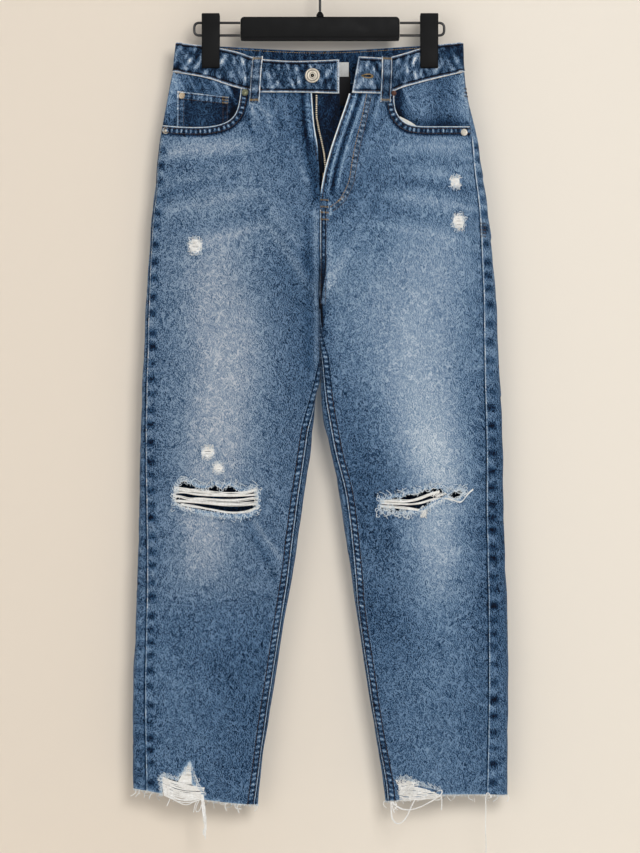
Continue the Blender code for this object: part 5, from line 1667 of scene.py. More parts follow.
def yoke(side):
    word = WORD[side]
    rows = np.linspace(153.0, 212.0, 30)
    steps = (np.array([0.0, 0.6, 1.4, 2.6, 4.2, 6.4, 9.0, 12.0]), np.array([0.0, 1.5, 3.5, 6.0]))

    def top(run, a):
        on_front = run <= fold_run(side, np.full(run.shape, SIDE_LOW))
        return np.where(on_front, SIDE_LOW, BACK_BAND("low", side * a)) + SEAM_GAP

    def low(run, a):
        on_front = run <= fold_run(side, np.full(run.shape, YOKE_FOLD))
        return np.where(on_front, YOKE_FOLD, YOKE_LINE("drop", a)) - SEAM_GAP / 2

    run, drop = column_grid(side, back_reach, rows, 56, top, low, steps, (59.0, 59.0))
    outer, ways = lay(side, run, drop)
    tone, warmth = worn(side, run, drop)
    made = shell("cloth_yoke_" + word, outer, outer - ways * DENIM, tone, warmth, 0.12)
    return cut_cloth(made, "yoke_" + word, run, drop, ["waistband"])


# ------------------------------------------------------------------ waistband and belt loops
def band_columns():
    """Places along the waistband from its right end at the fly, round the back, to its left end."""
    columns = [(1, "front", x) for x in np.arange(BAND_RIGHT_END, 1.0, -2.0)]
    for side in (-1, 1):
        half = [(side, "front", a) for a in np.arange(1.0, 172.1, 2.0)]
        half += [(side, "fold", r) for r in (-8.0, -6.0, -4.0, -2.0, 0.0, 2.0, 4.0, 6.0, 8.0)]
        half += [(side, "back", a) for a in np.arange(172.0, 0.9, -2.0)]
        if side > 0:
            half = [h for h in half if h[1] != "front" or h[2] > LEFT_END][::-1]
        columns += half
    return columns


def band_place(column, part):
    """Side, run and drop of places on the waistband; part is 0 at its top edge and 1 at its seam."""
    side, face, a = column
    part = np.asarray(part, float)
    if face == "fold":
        drop = SIDE_TOP + (SIDE_LOW - SIDE_TOP) * part
        return side, fold_run(side, drop) + a, drop
    table = FRONT_BAND if face == "front" else BACK_BAND
    drop = table("top", side * a) * (1 - part) + table("low", side * a) * part
    if face == "front" and side > 0 and a > LEFT_END:
        end = BAND_LEFT_TOP + (BAND_LEFT_LOW - BAND_LEFT_TOP) * part
        a = a - (LEFT_END - end) * fade_in(a, 64.0, -17.0)
    return side, run_at(side, drop, np.broadcast_to(a, part.shape), face), drop


def waistband():
    columns = band_columns()
    parts = np.concatenate([[0, 0.02, 0.05, 0.09], np.linspace(0.13, 0.87, 13), [0.91, 0.95, 0.98, 1.0]])
    outer, inner, tones, warms, inside = [], [], [], [], []
    along = 0.0
    before = None
    puffs, cross, lines_ = (Gathers(*each, -60.0, 1000.0)
                            for each in ((61, 6.0, 13.0), (62, 7.0, 16.0), (63, 5.0, 12.0)))
    for column in columns:
        side, run, drop = band_place(column, parts)
        base, way = lay(side, run, drop, 0.0, smooth=True)
        if before is not None:
            along += float(np.linalg.norm(base[10] - before))
        before = base[10]
        edge = np.minimum(parts, 1 - parts)
        lean = 15.0 * math.sin(along / 41.0)
        streak = puffs(along + lean * parts + 1.6 * np.sin(parts * 6.0 + along * 0.13), 3.0)
        streak = streak * (0.62 + 0.38 * np.sin(parts * 13.0 + 2.4 * math.sin(along / 5.3) + along / 9.0))
        other = cross(along - 27.0 * parts, 2.3) * unit(np.sin(parts * 3.3 + along / 17.0) + 0.5)
        body_ = unit(edge / 0.13)
        wave = 0.38 * (streak - 0.4) * unit(edge / 0.12) + 0.12 * np.sin(along / 3.1 + 5 * parts)
        soft = -1.1 * unit(1 - edge / 0.035) ** 2
        outer.append(base + way * (BAND_OUT + 0.25 + wave + soft)[:, None])
        inner.append(base + way * (BAND_IN + 0.25 * wave)[:, None])
        thin = lines_(along - 30.0 * parts * math.sin(along / 29.0) + 4.0 * np.sin(parts * 4.0), 1.1)
        tone = (0.085 + body_ * (0.68 * streak ** 1.3 + 0.30 * other
                                 + 0.28 * thin * unit(np.sin(parts * 4.2 + along / 11.0) + 0.5)))
        tone = (tone + 0.07 * np.sin(along / 11.0 + 2.0 * parts) * np.sin(parts * 5.0 + along / 31.0) * body_
                + 0.03)
        if column[1] == "front" and side > 0 and column[2] > 40.0:
            tone = tone + 0.14 * peak(column[2], 52.0, 15.0, 4) * body_
        end = abs(along - 1.0) if column[1] == "front" else 9.0
        if column[1] == "back":
            tone = 0.15 + 0.42 * (tone - 0.1)
        tone = tone + 0.82 * peak(edge, 0.0, 0.038) - 0.3 * peak(edge, 0.09, 0.024)
        # Painted shadow on the waistband on both sides of each front belt loop.
        if column[1] == "front":
            tone = tone - 0.2 * peak(abs(column[2] - 80.5 + 1.5 * side), 8.4, 1.5)
        if end < 3.0 or column is columns[-1]:
            tone = tone * 0 + 0.72
        tones.append(tone)
        warms.append(0 * tone + 0.6)
        # The inside face is kept dark: painted shade in the hollow of the waist.
        inside.append(0.11 + 0.15 * puffs(along + 3.0, 3.0) + 0.1 * peak(edge, 0.0, 0.03))
    grid = lambda rows: np.swapaxes(np.array(rows), 0, 1)
    made = shell("cloth_waistband", grid(outer), grid(inner), grid(tones), grid(warms), grid(inside))
    settle(made, "waistband")
    length = along * MM
    return as_sheet(made, 0.0415, length, 0.0385 * length,
                    rests=["front_right", "front_left", "yoke_right", "yoke_left"])


LOOP_RISE = ([0, 0.06, 0.17, 0.33, 0.5, 0.67, 0.8, 0.9, 1.0],
             [0.1, 0.0, 0.95, 1.35, 1.4, 1.0, 0.25, -0.02, 0.08])


def loop_line(x_top, x_low, drop_top, drop_low, parts):
    """The middle line of a belt loop, and how far it stands off the waistband."""
    return (x_top + (x_low - x_top) * parts, drop_top + (drop_low - drop_top) * parts,
            np.interp(parts, *LOOP_RISE))


def belt_loop(name, face, x_top, x_low, drop_top, drop_low):
    """A folded strip sewn on at both ends, standing a little off the waistband between them."""
    parts = np.linspace(0, 1, 34)
    x, drop, rise = loop_line(x_top, x_low, drop_top, drop_low, parts)
    across = np.array([-LOOP_HALF, -6.0, -5.5, -4.6, -3.2, -1.6, 0.0, 1.6, 3.2, 4.6, 5.5, 6.0, LOOP_HALF])
    x = x[:, None] + across
    base, way = lay_at(x, np.repeat(drop[:, None], len(across), 1), 0.0, face, smooth=True)
    dice = np.random.default_rng(abs(int(x_top)) + 5)
    ripples = np.interp(parts, np.linspace(0, 1, 12), dice.uniform(-0.16, 0.16, 12))[:, None]
    edge = LOOP_HALF - np.abs(across)
    crown = 1.5 - 0.9 * peak(edge, 0.0, 0.5) - 0.28 * peak(edge, 1.7, 0.55) + ripples
    low = BAND_OUT + LAYER_GAP + 0.05 + rise[:, None] + 0 * crown
    tone = 0.33 + 0.56 * peak(edge, 0.0, 0.95) - 0.3 * peak(edge, 2.1, 0.7) + 1.1 * ripples
    tone = tone + 0 * x + 0.05 * np.sin(parts * 21.0)[:, None]
    warmth = 0.9 - 0.62 * peak(edge, 0.0, 1.3) + 0 * tone
    made = layered("cloth_" + name, base, way, low + crown, low, tone, warmth, 0.2)
    settle(made, name)
    width, length = 2 * LOOP_HALF * MM, float(drop_low - drop_top) * MM
    return as_sheet(made, width, length * 1.05, width * length, rests=["waistband"])


LOOPS = [
    ("belt_loop_front_right", "front", -77, -81.5, 134, 192),
    ("belt_loop_front_left", "front", 83.2, 81.2, 134, 192),
    ("belt_loop_back_right", "back", -106, -106, 122.6, 175),
    ("belt_loop_back_left", "back", 106, 106, 122, 175),
    ("belt_loop_centre_back", "back", 0.5, 0.5, 126.2, 179),
]


# ------------------------------------------------------------------ pockets
def facing(side):
    """The denim behind a pocket mouth, from the waist seam to just below the mouth's edge."""
    word = WORD[side]
    mouth = mouth_line(side)
    corner = POCKET_MOUTH[word][0][0]
    outer_a = np.linspace(corner - 9.0, corner + 79.0, 42)
    parts = np.linspace(0, 1, 34)
    edge_a = [a for a, _ in POCKET_MOUTH[word][1:]]
    edge_drop = [d for _, d in POCKET_MOUTH[word][1:]]
    top = FRONT_BAND("low", side * outer_a) + SEAM_GAP
    low = np.interp(outer_a, edge_a, edge_drop) + 8.0
    drop = top + (low - top) * parts[:, None]
    run = front_run(side, drop, outer_a + 0 * drop)
    for back, first, last in ((5.0, 3.5, 1.0), (2.5, 1.0, 1.3), (0.0, 0.0, 1.6)):
        high, bottom = SIDE_LOW + SEAM_GAP + first, mouth[-1, 1] - last
        column = high + (bottom - high) * parts
        drop = np.column_stack([drop, column])
        run = np.column_stack([run, front_reach(side, column)[1] - back])
    deep = np.concatenate([np.full(len(outer_a) + 1, -3.0), [-1.5, 0.0]]) + 0 * drop
    base, way = lay(side, run, drop, 0.0)
    tone, _ = worn(side, run, drop)
    to_seam = front_reach(side, drop)[1] - run
    tone = 0.30 + 0.06 * np.sin(run / 9.0) + 0.3 * (tone - 0.38) + 0.16 * peak(to_seam, 0.0, 7.0)
    tone = tone + (0.06 if side > 0 else -0.05) * peak(drop, 186.0, 26.0)
    a = a_of(side, run, drop)
    # Painted shade just inside the pocket mouth: along its lower edge and beside its upright part by the
    # waist.
    to_mouth = np.interp(a, edge_a, edge_drop) - drop
    corner_shade = peak(a - corner, 6.0 if side > 0 else 10.0, 7.0)
    tone = tone - 0.2 * peak(to_mouth, 3.0, 8.0) - 0.22 * corner_shade
    if side < 0:
        lines = Gathers(75, 7.0, 15.0, 60.0, 320.0)(a + 0.55 * (drop - 170.0), 1.6)
        tone = (tone + 0.3 * lines * peak(drop, 167.0, 12.0)
                + 0.22 * peak(a + 0.5 * (drop - 180.0), 111.0, 2.4) * (drop < 205.0))
    else:
        tone = tone + 0.22 * peak(a - 0.4 * (drop - 190.0), 112.0, 2.6) * fade_in(drop, 206.0, -20.0)
    made = layered("cloth_facing_" + word, base, way, deep, deep - DENIM, tone, 0.15, 0.2)
    return cut_cloth(made, "facing_" + word, run, drop, ["front_" + word, "waistband"])


def coin_pocket():
    shares, parts = np.linspace(0, 1, 72), np.linspace(0, 1, 64)
    top, low = COIN_TOP + COIN_TILT * shares, 234.0 - 2.0 * shares
    a = COIN_LEFT - COIN_WIDTH * shares + 2.0 * parts[:, None]
    drop = np.maximum(top + (low - top) * parts[:, None], FRONT_BAND("low", -a) + SEAM_GAP + 2.0)
    run = front_run(-1, drop, a)
    base, way = lay(-1, run, drop, 0.0)
    from_top = (drop - top) + 0 * a
    hem_part = peak(from_top, 5.0, 5.2, 6)
    puffs = Gathers(71, 4.5, 8.5, -5.0, 200.0)
    marks = puffs(shares * 66.0 + 0 * drop, 1.9)
    side_band = peak(COIN_LEFT - a, 4.0, 5.0, 4)
    lift = -1.45 + 0.5 * hem_part + 0.4 * hem_part * (marks - 0.4) + 0.25 * side_band
    left_edge, right_edge = COIN_LEFT - a, a - (COIN_LEFT - COIN_WIDTH)
    tone = (0.065 + 0.10 * peak(a, 146.0, 20.0) + hem_part * (0.06 + 0.36 * marks)
            + 0.5 * peak(from_top, 0.0, 1.1))
    tone = tone - 0.16 * (peak(from_top, 2.6, 0.9) + peak(from_top, 9.4, 1.0))
    tone = (tone + side_band * (0.10 + 0.26 * Gathers(72, 4.0, 8.0, 150.0, 260.0)(drop, 2.0))
            + 0.45 * peak(left_edge, 0.0, 1.1))
    tone = tone - 0.12 * peak(left_edge, 2.4, 0.9) + 0.3 * peak(right_edge, 0.0, 0.9)
    right_band = peak(right_edge, 4.5, 3.4, 4)
    tone = tone - 0.08 * right_band + 0.14 * Gathers(73, 4.0, 8.0, 150.0, 260.0)(drop, 1.8) * right_band
    made = layered("cloth_coin_pocket", base, way, lift, -2.45 + 0 * lift, tone, 0.3, 0.15)
    return cut_cloth(made, "coin_pocket", run, drop, ["facing_right"])


def pocket_bag():
    rows = np.array([(99.5, 208.8, 217.5), (103.0, 210.4, 220.5),
                     (106.0, 211.8, 222.6), (110.0, 213.8, 224.8),
                     (113.5, 216.0, 226.2), (117.5, 218.8, 227.6), (121.0, 221.6, 229.0)])
    a, top, low = (np.interp(np.linspace(0, 6, 30), np.arange(7), column) for column in rows.T)
    drop = top + (low - top) * np.linspace(0, 1, 14)[:, None]
    run = front_run(1, drop, a + 0 * drop)
    base, way = lay(1, run, drop, 0.0)
    ripple = 0.25 * np.sin(run / 3.0) * peak(drop, top, 4.0)
    cotton = grained("Pocket cotton", (0.56, 0.55, 0.50), (0.86, 0.85, 0.80), 0.8,
                     (0.85, 0.95), bump=0.2, specular=0.1)
    made = layered("cloth_pocket_bag", base, way, -1.5 + ripple, -2.3 + ripple, 0.8, 0.0, 0.8, cotton)
    return cut_cloth(made, "pocket_bag_left", run, drop, ["facing_left", "front_left"])


def patch_outline(across, part):
    """A back pocket's middle, half width and top and low drops, at a share across and down."""
    return (PATCH_MIDDLE + 2.0 * part, PATCH_HALF - 7.0 * part, PATCH_TOP - 3.0 * (across + 1),
            PATCH_LOW + 16.0 * (1 - np.abs(across)))


def back_pocket(side):
    """A plain five-sided patch pocket, its hem folded and its edges topstitched down."""
    word = WORD[side]
    across = np.concatenate([[-1, -0.992, -0.98, -0.96, -0.93], np.linspace(-0.88, 0.88, 45),
                             [0.93, 0.96, 0.98, 0.992, 1]])
    parts = np.concatenate([[0, 0.006, 0.015, 0.03], np.linspace(0.05, 0.95, 50), [0.97, 0.985, 0.994, 1]])
    centre, half, top, low = patch_outline(across, parts[:, None])
    a = centre + across * half
    drop = top + (low - top) * parts[:, None]
    run = back_run(side, drop, a)
    base, way = lay(side, run, drop, 0.0)
    in_side, in_top, in_low = (1 - np.abs(across)) * half, drop - top, (low - drop)
    edge = np.minimum(np.minimum(in_side, in_top), in_low)
    marks = Gathers(81 + side, 6.0, 12.0, 200.0, 520.0)(drop + 0.6 * a, 2.6)
    sewn = peak(edge, 2.6, 0.8) + peak(edge, 8.8, 0.8)
    puff = peak(edge, 5.7, 2.4)
    lift = LAYER_GAP + DENIM + 0.1 - 0.75 * peak(edge, 0.0, 0.7) - 0.25 * sewn + 0.3 * puff * marks
    lift = lift + 0.5 * peak(in_top, 7.0, 6.0, 4) + 1.5 * peak(in_top, 0.0, 16.0) * (1 - across ** 2)
    tone = 0.42 + 0.10 * np.exp(-(((a - 106) / 40.0) ** 2 + ((drop - 345.0) / 38.0) ** 2)) - 0.07 * sewn
    tone = tone + 0.26 * peak(edge, 0.0, 1.0) + 0.16 * puff * (marks - 0.35) - 0.07 * peak(edge, 13.0, 4.0)
    made = layered("cloth_back_pocket_" + word, base, way, lift, LAYER_GAP + 0 * lift, tone, 0.3, 0.15)
    return cut_cloth(made, "back_pocket_" + word, run, drop, ["back_" + word])


# ------------------------------------------------------------------ seams, stitching and bartacks
INSEAM = Run("drop right left", [
    (443.5, 3.5, 3.5), (491, 5, 5.5), (518, 8, 8), (557, 13, 12), (592, 18.8, 18),
    (625, 23.5, 24.4), (687, 33, 39), (790, 46.3, 50), (807, 49, 51), (902, 63.5, 64.6),
    (968.5, 74, 74.5), (1045, 84, 88.5), (1068, 87.2, 90.9)])
FLY_CURVE = [(57.8, 183), (56.9, 187.3), (54.4, 200), (51.8, 212.3), (48.6, 226), (45.4, 238.5), (42.8, 251),
             (40.3, 263.5), (38.2, 277), (36.5, 289.8), (31.3, 302.3), (23.8, 315), (13.5, 322)]


def form_path(side, a, drop, face="front"):
    """A (run, drop) path from distances out and drops."""
    drop = np.asarray(drop, float)
    return np.column_stack([run_at(side, drop, np.asarray(a, float), face), drop])


def on_cloth(side, path, lift, smooth=False):
    return lay(side, path[:, 0], path[:, 1], lift, smooth)[0]


def seam_rows(side, path, off, lift):
    """A line on each side of a seam's path."""
    return [on_cloth(side, beside(path, shift), lift) for shift in (off, -off)]


def felled(marks, half, core=0.25, light=0.58, bright=(0.34, 0.34)):
    """Tone and height of a felled seam: puckers between two sunk rows of stitches, and pale edges."""
    def tone(s, c):
        pucker = marks(s + 0.3 * c, 1.55) * peak(c, 0.0, half - 2.6, 4)
        row = peak(np.abs(c), half - 2.1, 0.7)
        edge = peak(np.abs(c), half - 0.65, 0.6)
        return core + light * (pucker - 0.2) - 0.14 * row + np.where(c > 0, bright[1], bright[0]) * edge

    def height(s, c):
        pucker = marks(s + 0.3 * c, 1.7) * peak(c, 0.0, half - 2.4, 4)
        row = peak(np.abs(c), half - 2.1, 0.8)
        roll = peak(half, np.abs(c), 0.45)
        return 0.72 + 0.42 * (pucker - 0.3) - 0.22 * row - 0.42 * roll

    return tone, height


def strip_of(half, fine=0.55):
    edge = np.array([0.0, 0.3, 0.7, 1.2, 1.8, 2.5])
    return np.concatenate([-half + edge, np.arange(-half + 3.2, half - 3.1, fine * 1.4), half - edge[::-1]])


def inseam(side):
    word = WORD[side]
    last = float(hem_at(side, INSEAM(word, 1060.0)))
    drops = np.linspace(449.0, last - 0.4, 110)
    path = form_path(side, INSEAM(word, drops), drops)
    path[:, 0] -= 10.5 * (fade_in(drops, 600.0, -90.0) if side < 0 else fade_in(drops, 508.0, -46.0))
    tone, height = felled(Gathers(91 + side, 5.2, 8.0, -5.0, 760.0), 5.5, bright=(0.34, 0.66))
    across = np.concatenate([strip_of(5.5), [5.8, 6.3, 6.9, 7.5]])
    # Past 5.55 mm across, the ribbon runs on as a low dark margin: a painted shadow beside the seam.
    made, *_ = ribbon("seam_inner_" + word, side, path, across,
                      lambda s, c: np.where(c > 5.55, 0.16, height(s, c)), 0.06,
                      lambda s, c: np.where(c > 5.55, 0.12 + 0.03 * (c - 5.5), tone(s, c)), 0.25, 1.6)
    shown = path[path[:, 1] > (592.0 if side < 0 else 545.0)]
    sewn = stitches("stitch_inner_" + word, seam_rows(side, shown, 3.35, 0.62), sewing_thread(), 3.2, 0.75, 5)
    return trim("front_" + word, made, sewn)


def rise_seam():
    """The felled seam from the fly down to the crotch, which lies on the wearer's left."""
    drops = np.linspace(326.0, 442.0, 44)
    path = form_path(1, 4.6 + 0 * drops, drops)
    tone, height = felled(Gathers(97, 5.0, 9.0, -5.0, 200.0), 4.4, 0.24, 0.42, (0.34, 0.62))

    # Lower down, deep paints the seam into the dark gap between the legs: a painted shadow over part of its
    # width.
    def deep(s, c):
        fold = unit((c + 4.6 - 6.4 * (s - 66.0) / 50.0) / 1.2)
        return tone(s, c) + (0.40 - 0.375 * fold - tone(s, c)) * fade_in(s, 56.0, 24.0)

    made, *_ = ribbon("seam_rise", 1, path, strip_of(4.4), lambda s,
                      c: height(s, c) * np.clip((118.0 - s) / 50.0, 0.12, 1), 0.06, deep, 0.3, 1.3)
    sewn = stitches("stitch_rise", seam_rows(1, path, 2.9, 0.64), sewing_thread(), 3.2, 0.75, 6)
    return trim("front_left", made, sewn)


def seat_seam():
    """The felled seam down the middle of the back, and the yoke seams."""
    made = []
    drops = np.linspace(169.0, 441.0, 90)
    path = form_path(1, 4.4 + 0 * drops, drops, "back")[::-1]
    tone, height = felled(Gathers(98, 5.0, 9.0, -5.0, 400.0), 4.4, 0.33, 0.18, (0.20, 0.20))
    made.append(ribbon("seam_seat", 1, path, strip_of(4.4), lambda s, c: height(s, c) + 0.35,
                       0.06, tone, 0.3, 1.5)[0])
    rows = seam_rows(1, path, 2.5, 1.0)
    for side in (-1, 1):
        a = np.linspace(9.5 if side > 0 else 1.0, 183.0, 70)
        path = form_path(side, a, YOKE_LINE("drop", a) - 4.6, "back")
        tone, height = felled(Gathers(99 + side, 5.0, 9.0, -5.0, 400.0), 4.4, 0.33, 0.2, (0.24, 0.16))
        made.append(ribbon("seam_yoke_" + WORD[side], side, path, strip_of(4.4), height,
                           0.06, tone, 0.3, 1.5)[0])
        rows += seam_rows(side, path, 2.5, 0.66)
    sewn = stitches("stitch_back", rows, sewing_thread(), 3.2, 0.75, 7)
    trim("back_left", made[0])
    trim("back_right", sewn)
    trim("yoke_right", made[1])
    return trim("yoke_left", made[2])


def mouth_band(side):
    """The folded, double-stitched band along a pocket mouth."""
    word = WORD[side]
    path = rounded(mouth_line(side), 3)
    path = path[path[:, 0] < path[-1, 0] - 0.1]
    path = np.vstack([path, [[mouth_line(side)[-1, 0] - 0.35, path[-1, 1]]]])
    marks = Gathers(101 + side, 4.4, 6.6, -5.0, 300.0)
    across = np.array([-0.25, 0.0, 0.35, 0.8, 1.3, 1.9, 2.5, 3.1, 3.7, 4.4, 5.1, 5.8, 6.5, 7.2, 7.9, 8.6, 9.2,
                       9.7, 10.2, MOUTH_BAND, 11.0, 11.8, 12.6])

    def height(s, c):
        pucker = marks(s, 1.5) * peak(c, 5.5, 2.4, 4)
        rows_ = peak(c, 2.5, 0.7) + peak(c, 8.5, 0.7)
        beyond = c > MOUTH_BAND + 0.05
        roll = np.where(beyond, 0.16, 1.0)
        return (roll * 0.98 + 0.45 * (pucker - 0.3) * ~beyond - 0.25 * rows_ - 0.75 * peak(c, -0.25, 0.45)
                - 0.55 * peak(MOUTH_BAND, c, 0.5) * ~beyond)

    def tone(s, c):
        pucker = marks(s, 1.2) * peak(c, 5.5, 2.8, 4)
        rows_ = peak(c, 2.7, 0.8) + peak(c, 8.6, 0.8)
        plain = 0.14 + 0.66 * (pucker - 0.08) - 0.08 * rows_ + 0.85 * peak(c, 0.35, 0.95)
        # Past the band's edge, a darker margin: a painted shadow beside the folded band.
        return np.where(c > MOUTH_BAND + 0.05, 0.22 + 0.05 * (c - MOUTH_BAND), plain)

    made, *_ = ribbon("band_mouth_" + word, side, path, across, height, 0.06, tone, 0.25, 0.9, smooth=False)
    lines = [on_cloth(side, beside(path, off)[1:-1], 0.98) for off in (2.55, 8.5)]
    sewn = stitches("stitch_mouth_" + word, lines, sewing_thread(), 2.9, 0.85, 8 + side)
    return trim("front_" + word, made, sewn)


def band_stitches():
    """Rows along both edges of the waistband and up its two ends."""
    columns = band_columns()
    paths, inner = [], []
    for part in (0.062, 0.938):
        line = []
        for column in columns[1:-1]:
            side, run, drop = band_place(column, np.array([part]))
            line.append(lay(side, run, drop, BAND_OUT + 0.42, smooth=True)[0][0])
        paths.append(line)
    for column in (columns[1], columns[-2]):
        side, run, drop = band_place(column, np.linspace(0.06, 0.94, 20))
        paths.append(lay(side, run, drop, BAND_OUT + 0.42, smooth=True)[0])
    for column in [c for c in columns if c[1] == "back"]:
        side, run, drop = band_place(column, np.array([0.065]))
        inner.append(lay(side, run, drop, BAND_IN - 0.25, smooth=True)[0][0])
    sewn = stitches("stitch_waistband", paths, sewing_thread(), 3.0, 0.85, 11)
    under = stitches("stitch_waistband_inside", [inner], ochre_thread(), 3.0, 0.8, 12)
    return trim("waistband", sewn, under)


def loop_stitches():
    """Two rows up each belt loop and a bartack at each end."""
    rows, bars = [], []
    for _, face, *ends in LOOPS:
        x, drop, rise = loop_line(*ends, np.linspace(0.04, 0.96, 26))
        for across in (-4.4, 4.4):
            rows.append(lay_at(x + across, drop, BAND_OUT + LAYER_GAP + 1.38 + rise, face, smooth=True)[0])
        for part in (0.045, 0.955):
            x_end, drop_end, _ = loop_line(*ends, part)
            bars.append(bar_path(x_end, drop_end, 10.6, 2.6, 0.0, BAND_OUT + LAYER_GAP + 1.85, face))
    sewn = stitches("stitch_loops", rows, sewing_thread(), 2.9, 0.75, 13)
    tacks = threads("bartack_loops", bars, 0.52, ochre_thread(), 4)
    return trim("waistband", sewn, tacks)


def bar_path(x, drop, length, width, turn, lift, face="front", seed=3, smooth=True):
    """A zigzag of thread that makes one bartack; turn is its angle from level."""
    count = max(8, int(length / 0.52))
    along = np.linspace(-length / 2, length / 2, count)
    across = np.where(np.arange(count) % 2, width / 2, -width / 2)
    dice = np.random.default_rng(seed + int(abs(x) * 3 + drop))
    across = across * dice.uniform(0.82, 1.1, count)
    px = x + along * math.cos(turn) - across * math.sin(turn)
    pd = drop + along * math.sin(turn) + across * math.cos(turn)
    return lay_at(px, pd, lift + 0.12 * np.sin(np.arange(count) * 2.1), face, smooth)[0]


def fly_sewing():
    """The curved double row of the fly, its bartacks and the row along each free edge."""
    inner = rounded(FLY_CURVE, 2)
    ahead = np.gradient(inner, axis=0)
    ahead /= np.linalg.norm(ahead, axis=1, keepdims=True)
    outer = inner + np.column_stack([-ahead[:, 1], ahead[:, 0]]) * -6.3
    line = (inner + outer) / 2
    line = line[(line[:, 0] > 9.4) & (line[:, 1] > 182.8)]
    ribs = Gathers(95, 4.6, 8.2, -5.0, 240.0)
    band, *_ = ribbon("seam_fly_curve", 1, form_path(1, line[:, 0], line[:, 1]),
                      [-3.4, -3.1, -2.5, -1.6, -0.6, 0.6, 1.6, 2.5, 3.1, 3.4],
                      lambda s_, c: 0.34 + 0.4 * ribs(s_, 1.8) * peak(c, 0.0, 2.6, 4)
                      - 0.22 * peak(3.4, np.abs(c), 0.5), 0.05,
                      lambda s_, c: 0.20 + 0.42 * ribs(s_, 1.7) * peak(c, 0.0, 2.7, 4)
                      + 0.07 * np.maximum(np.abs(c) - 2.2, 0), 0.9, 1.2)
    trim("front_left", band)
    rows, light = [], []
    for line in (inner, outer):
        line = line[(line[:, 0] > 3.0) & (line[:, 1] > 182.6)]
        (rows if line[len(line) // 2, 0] > (inner[len(inner) // 2, 0] + 3.0)
         else light).append(on_cloth(1, form_path(1, line[:, 0], line[:, 1]), 0.16))
    drops = np.linspace(183.0, 309.0, 46)
    rows.append(on_cloth(1, form_path(1, FLY_EDGE("left", drops) + 2.9, drops), 0.1))
    drops = np.linspace(183.0, 262.0, 30)
    rows.append(on_cloth(-1, form_path(-1, FLY_EDGE("right", drops) + 2.6, drops), 0.1))
    sewn = stitches("stitch_fly", rows, sewing_thread(), 3.0, 1.0, 14)
    trim("front_left", stitches("stitch_fly_inner", light, ochre_thread(), 3.0, 0.9, 16))
    bars = [bar_path(5.6, drop, 9.6, 1.9, 0.05, 0.75, smooth=False) for drop in (314.0, 322.4, 329.4, 338.0)]
    bars.append(bar_path(26.0, 313.0, 9.0, 1.8, -0.65, 0.3, smooth=False))
    tacks = threads("bartack_fly", bars, 0.42, ochre_thread(), 4)
    return trim("front_left", sewn, tacks)


def pocket_sewing():
    """Rows and bartacks of the coin pocket, the pocket mouths and the side seams."""
    rows, bars, dark = [], [], []
    shares = np.linspace(0.03, 0.97, 30)
    for down in (1.7, 9.0):
        a, drop = COIN_LEFT - COIN_WIDTH * shares, COIN_TOP + COIN_TILT * shares + down
        rows.append(on_cloth(-1, form_path(-1, a, drop), -0.95))
    drops = np.linspace(178.5, 220.0, 24)
    for off in (1.7, 7.6):
        rows.append(on_cloth(-1, form_path(-1, COIN_LEFT - off + 0 * drops, drops), -1.12))
    for off in (1.8, 7.0):
        rows.append(on_cloth(-1, form_path(-1, COIN_LEFT - COIN_WIDTH + off + 0 * drops, drops + 7.0), -1.28))
    sewn = stitches("stitch_coin", rows, sewing_thread(), 2.9, 0.8, 15)
    for drop in (184.5, 188.0, 191.5):
        bars.append(bar_path(-118.4, drop, 7.0, 1.7, 0.12, -0.7, smooth=False))
    bars.append(bar_path(-172.6, 179.5, 7.6, 1.8, 0.1, -0.75, smooth=False))
    tacks = threads("bartack_coin", bars, 0.4, ochre_thread(), 4)
    for drop in (342.0, 346.0, 350.0, 354.0, 358.0):
        dark.append(bar_path(203.75, drop, 6.8, 2.4, 0.1, 0.15, smooth=False))
    for drop in (173.5, 178.5, 183.0):
        dark.append(bar_path(182.4, drop, 4.4, 2.2, 0.1, 0.2, smooth=False))
    side_tacks = threads("bartack_side", dark, 0.36, sewing_thread(), 4)
    trim("facing_right", sewn, tacks)
    return trim("front_left", side_tacks)


def back_pocket_sewing(side):
    word = WORD[side]
    corners = np.array([(-1, 0), (-1, 1), (0, 1), (1, 1), (1, 0)], float)
    rows = []
    for inset in (2.6, 8.8):
        path = []
        for (u0, v0), (u1, v1) in zip(corners, corners[1:]):
            for t in np.linspace(0, 1, 26, endpoint=False):
                path.append((u0 + (u1 - u0) * t, v0 + (v1 - v0) * t))
        path = np.array(path + [(1.0, 0.0)])
        part, across = path[:, 1], path[:, 0]
        centre, half, top, low = patch_outline(across, part)
        a = centre + across * (half - inset)
        drop = top + 2.0 + (low - inset * 1.02 - top - 2.0) * part
        rows.append(on_cloth(side, form_path(side, a, drop, "back"), LAYER_GAP + DENIM - 0.05))
    across = np.linspace(-0.97, 0.97, 40)
    for down in (3.0, 14.0):
        a, drop = PATCH_MIDDLE + across * (PATCH_HALF - 1.0), PATCH_TOP - 3.0 * (across + 1) + down
        rows.append(on_cloth(side, form_path(side, a, drop, "back"), LAYER_GAP + DENIM
                             + (1.55 if down < 5 else 0.85)))
    sewn = stitches("stitch_back_pocket_" + word, rows, sewing_thread(), 3.1, 0.8, 17 + side)
    bars = [bar_path(side * (PATCH_MIDDLE + k * (PATCH_HALF - 3.5)), PATCH_TOP - 3.0 * (k + 1)
                     + 4.0, 8.0, 2.0, math.pi / 2,
                     LAYER_GAP + DENIM + 0.9, "back", smooth=False)
            for k in (-1, 1)]
    tacks = threads("bartack_back_pocket_" + word, bars, 0.34, ochre_thread(), 4)
    return trim("back_pocket_" + word, sewn, tacks)


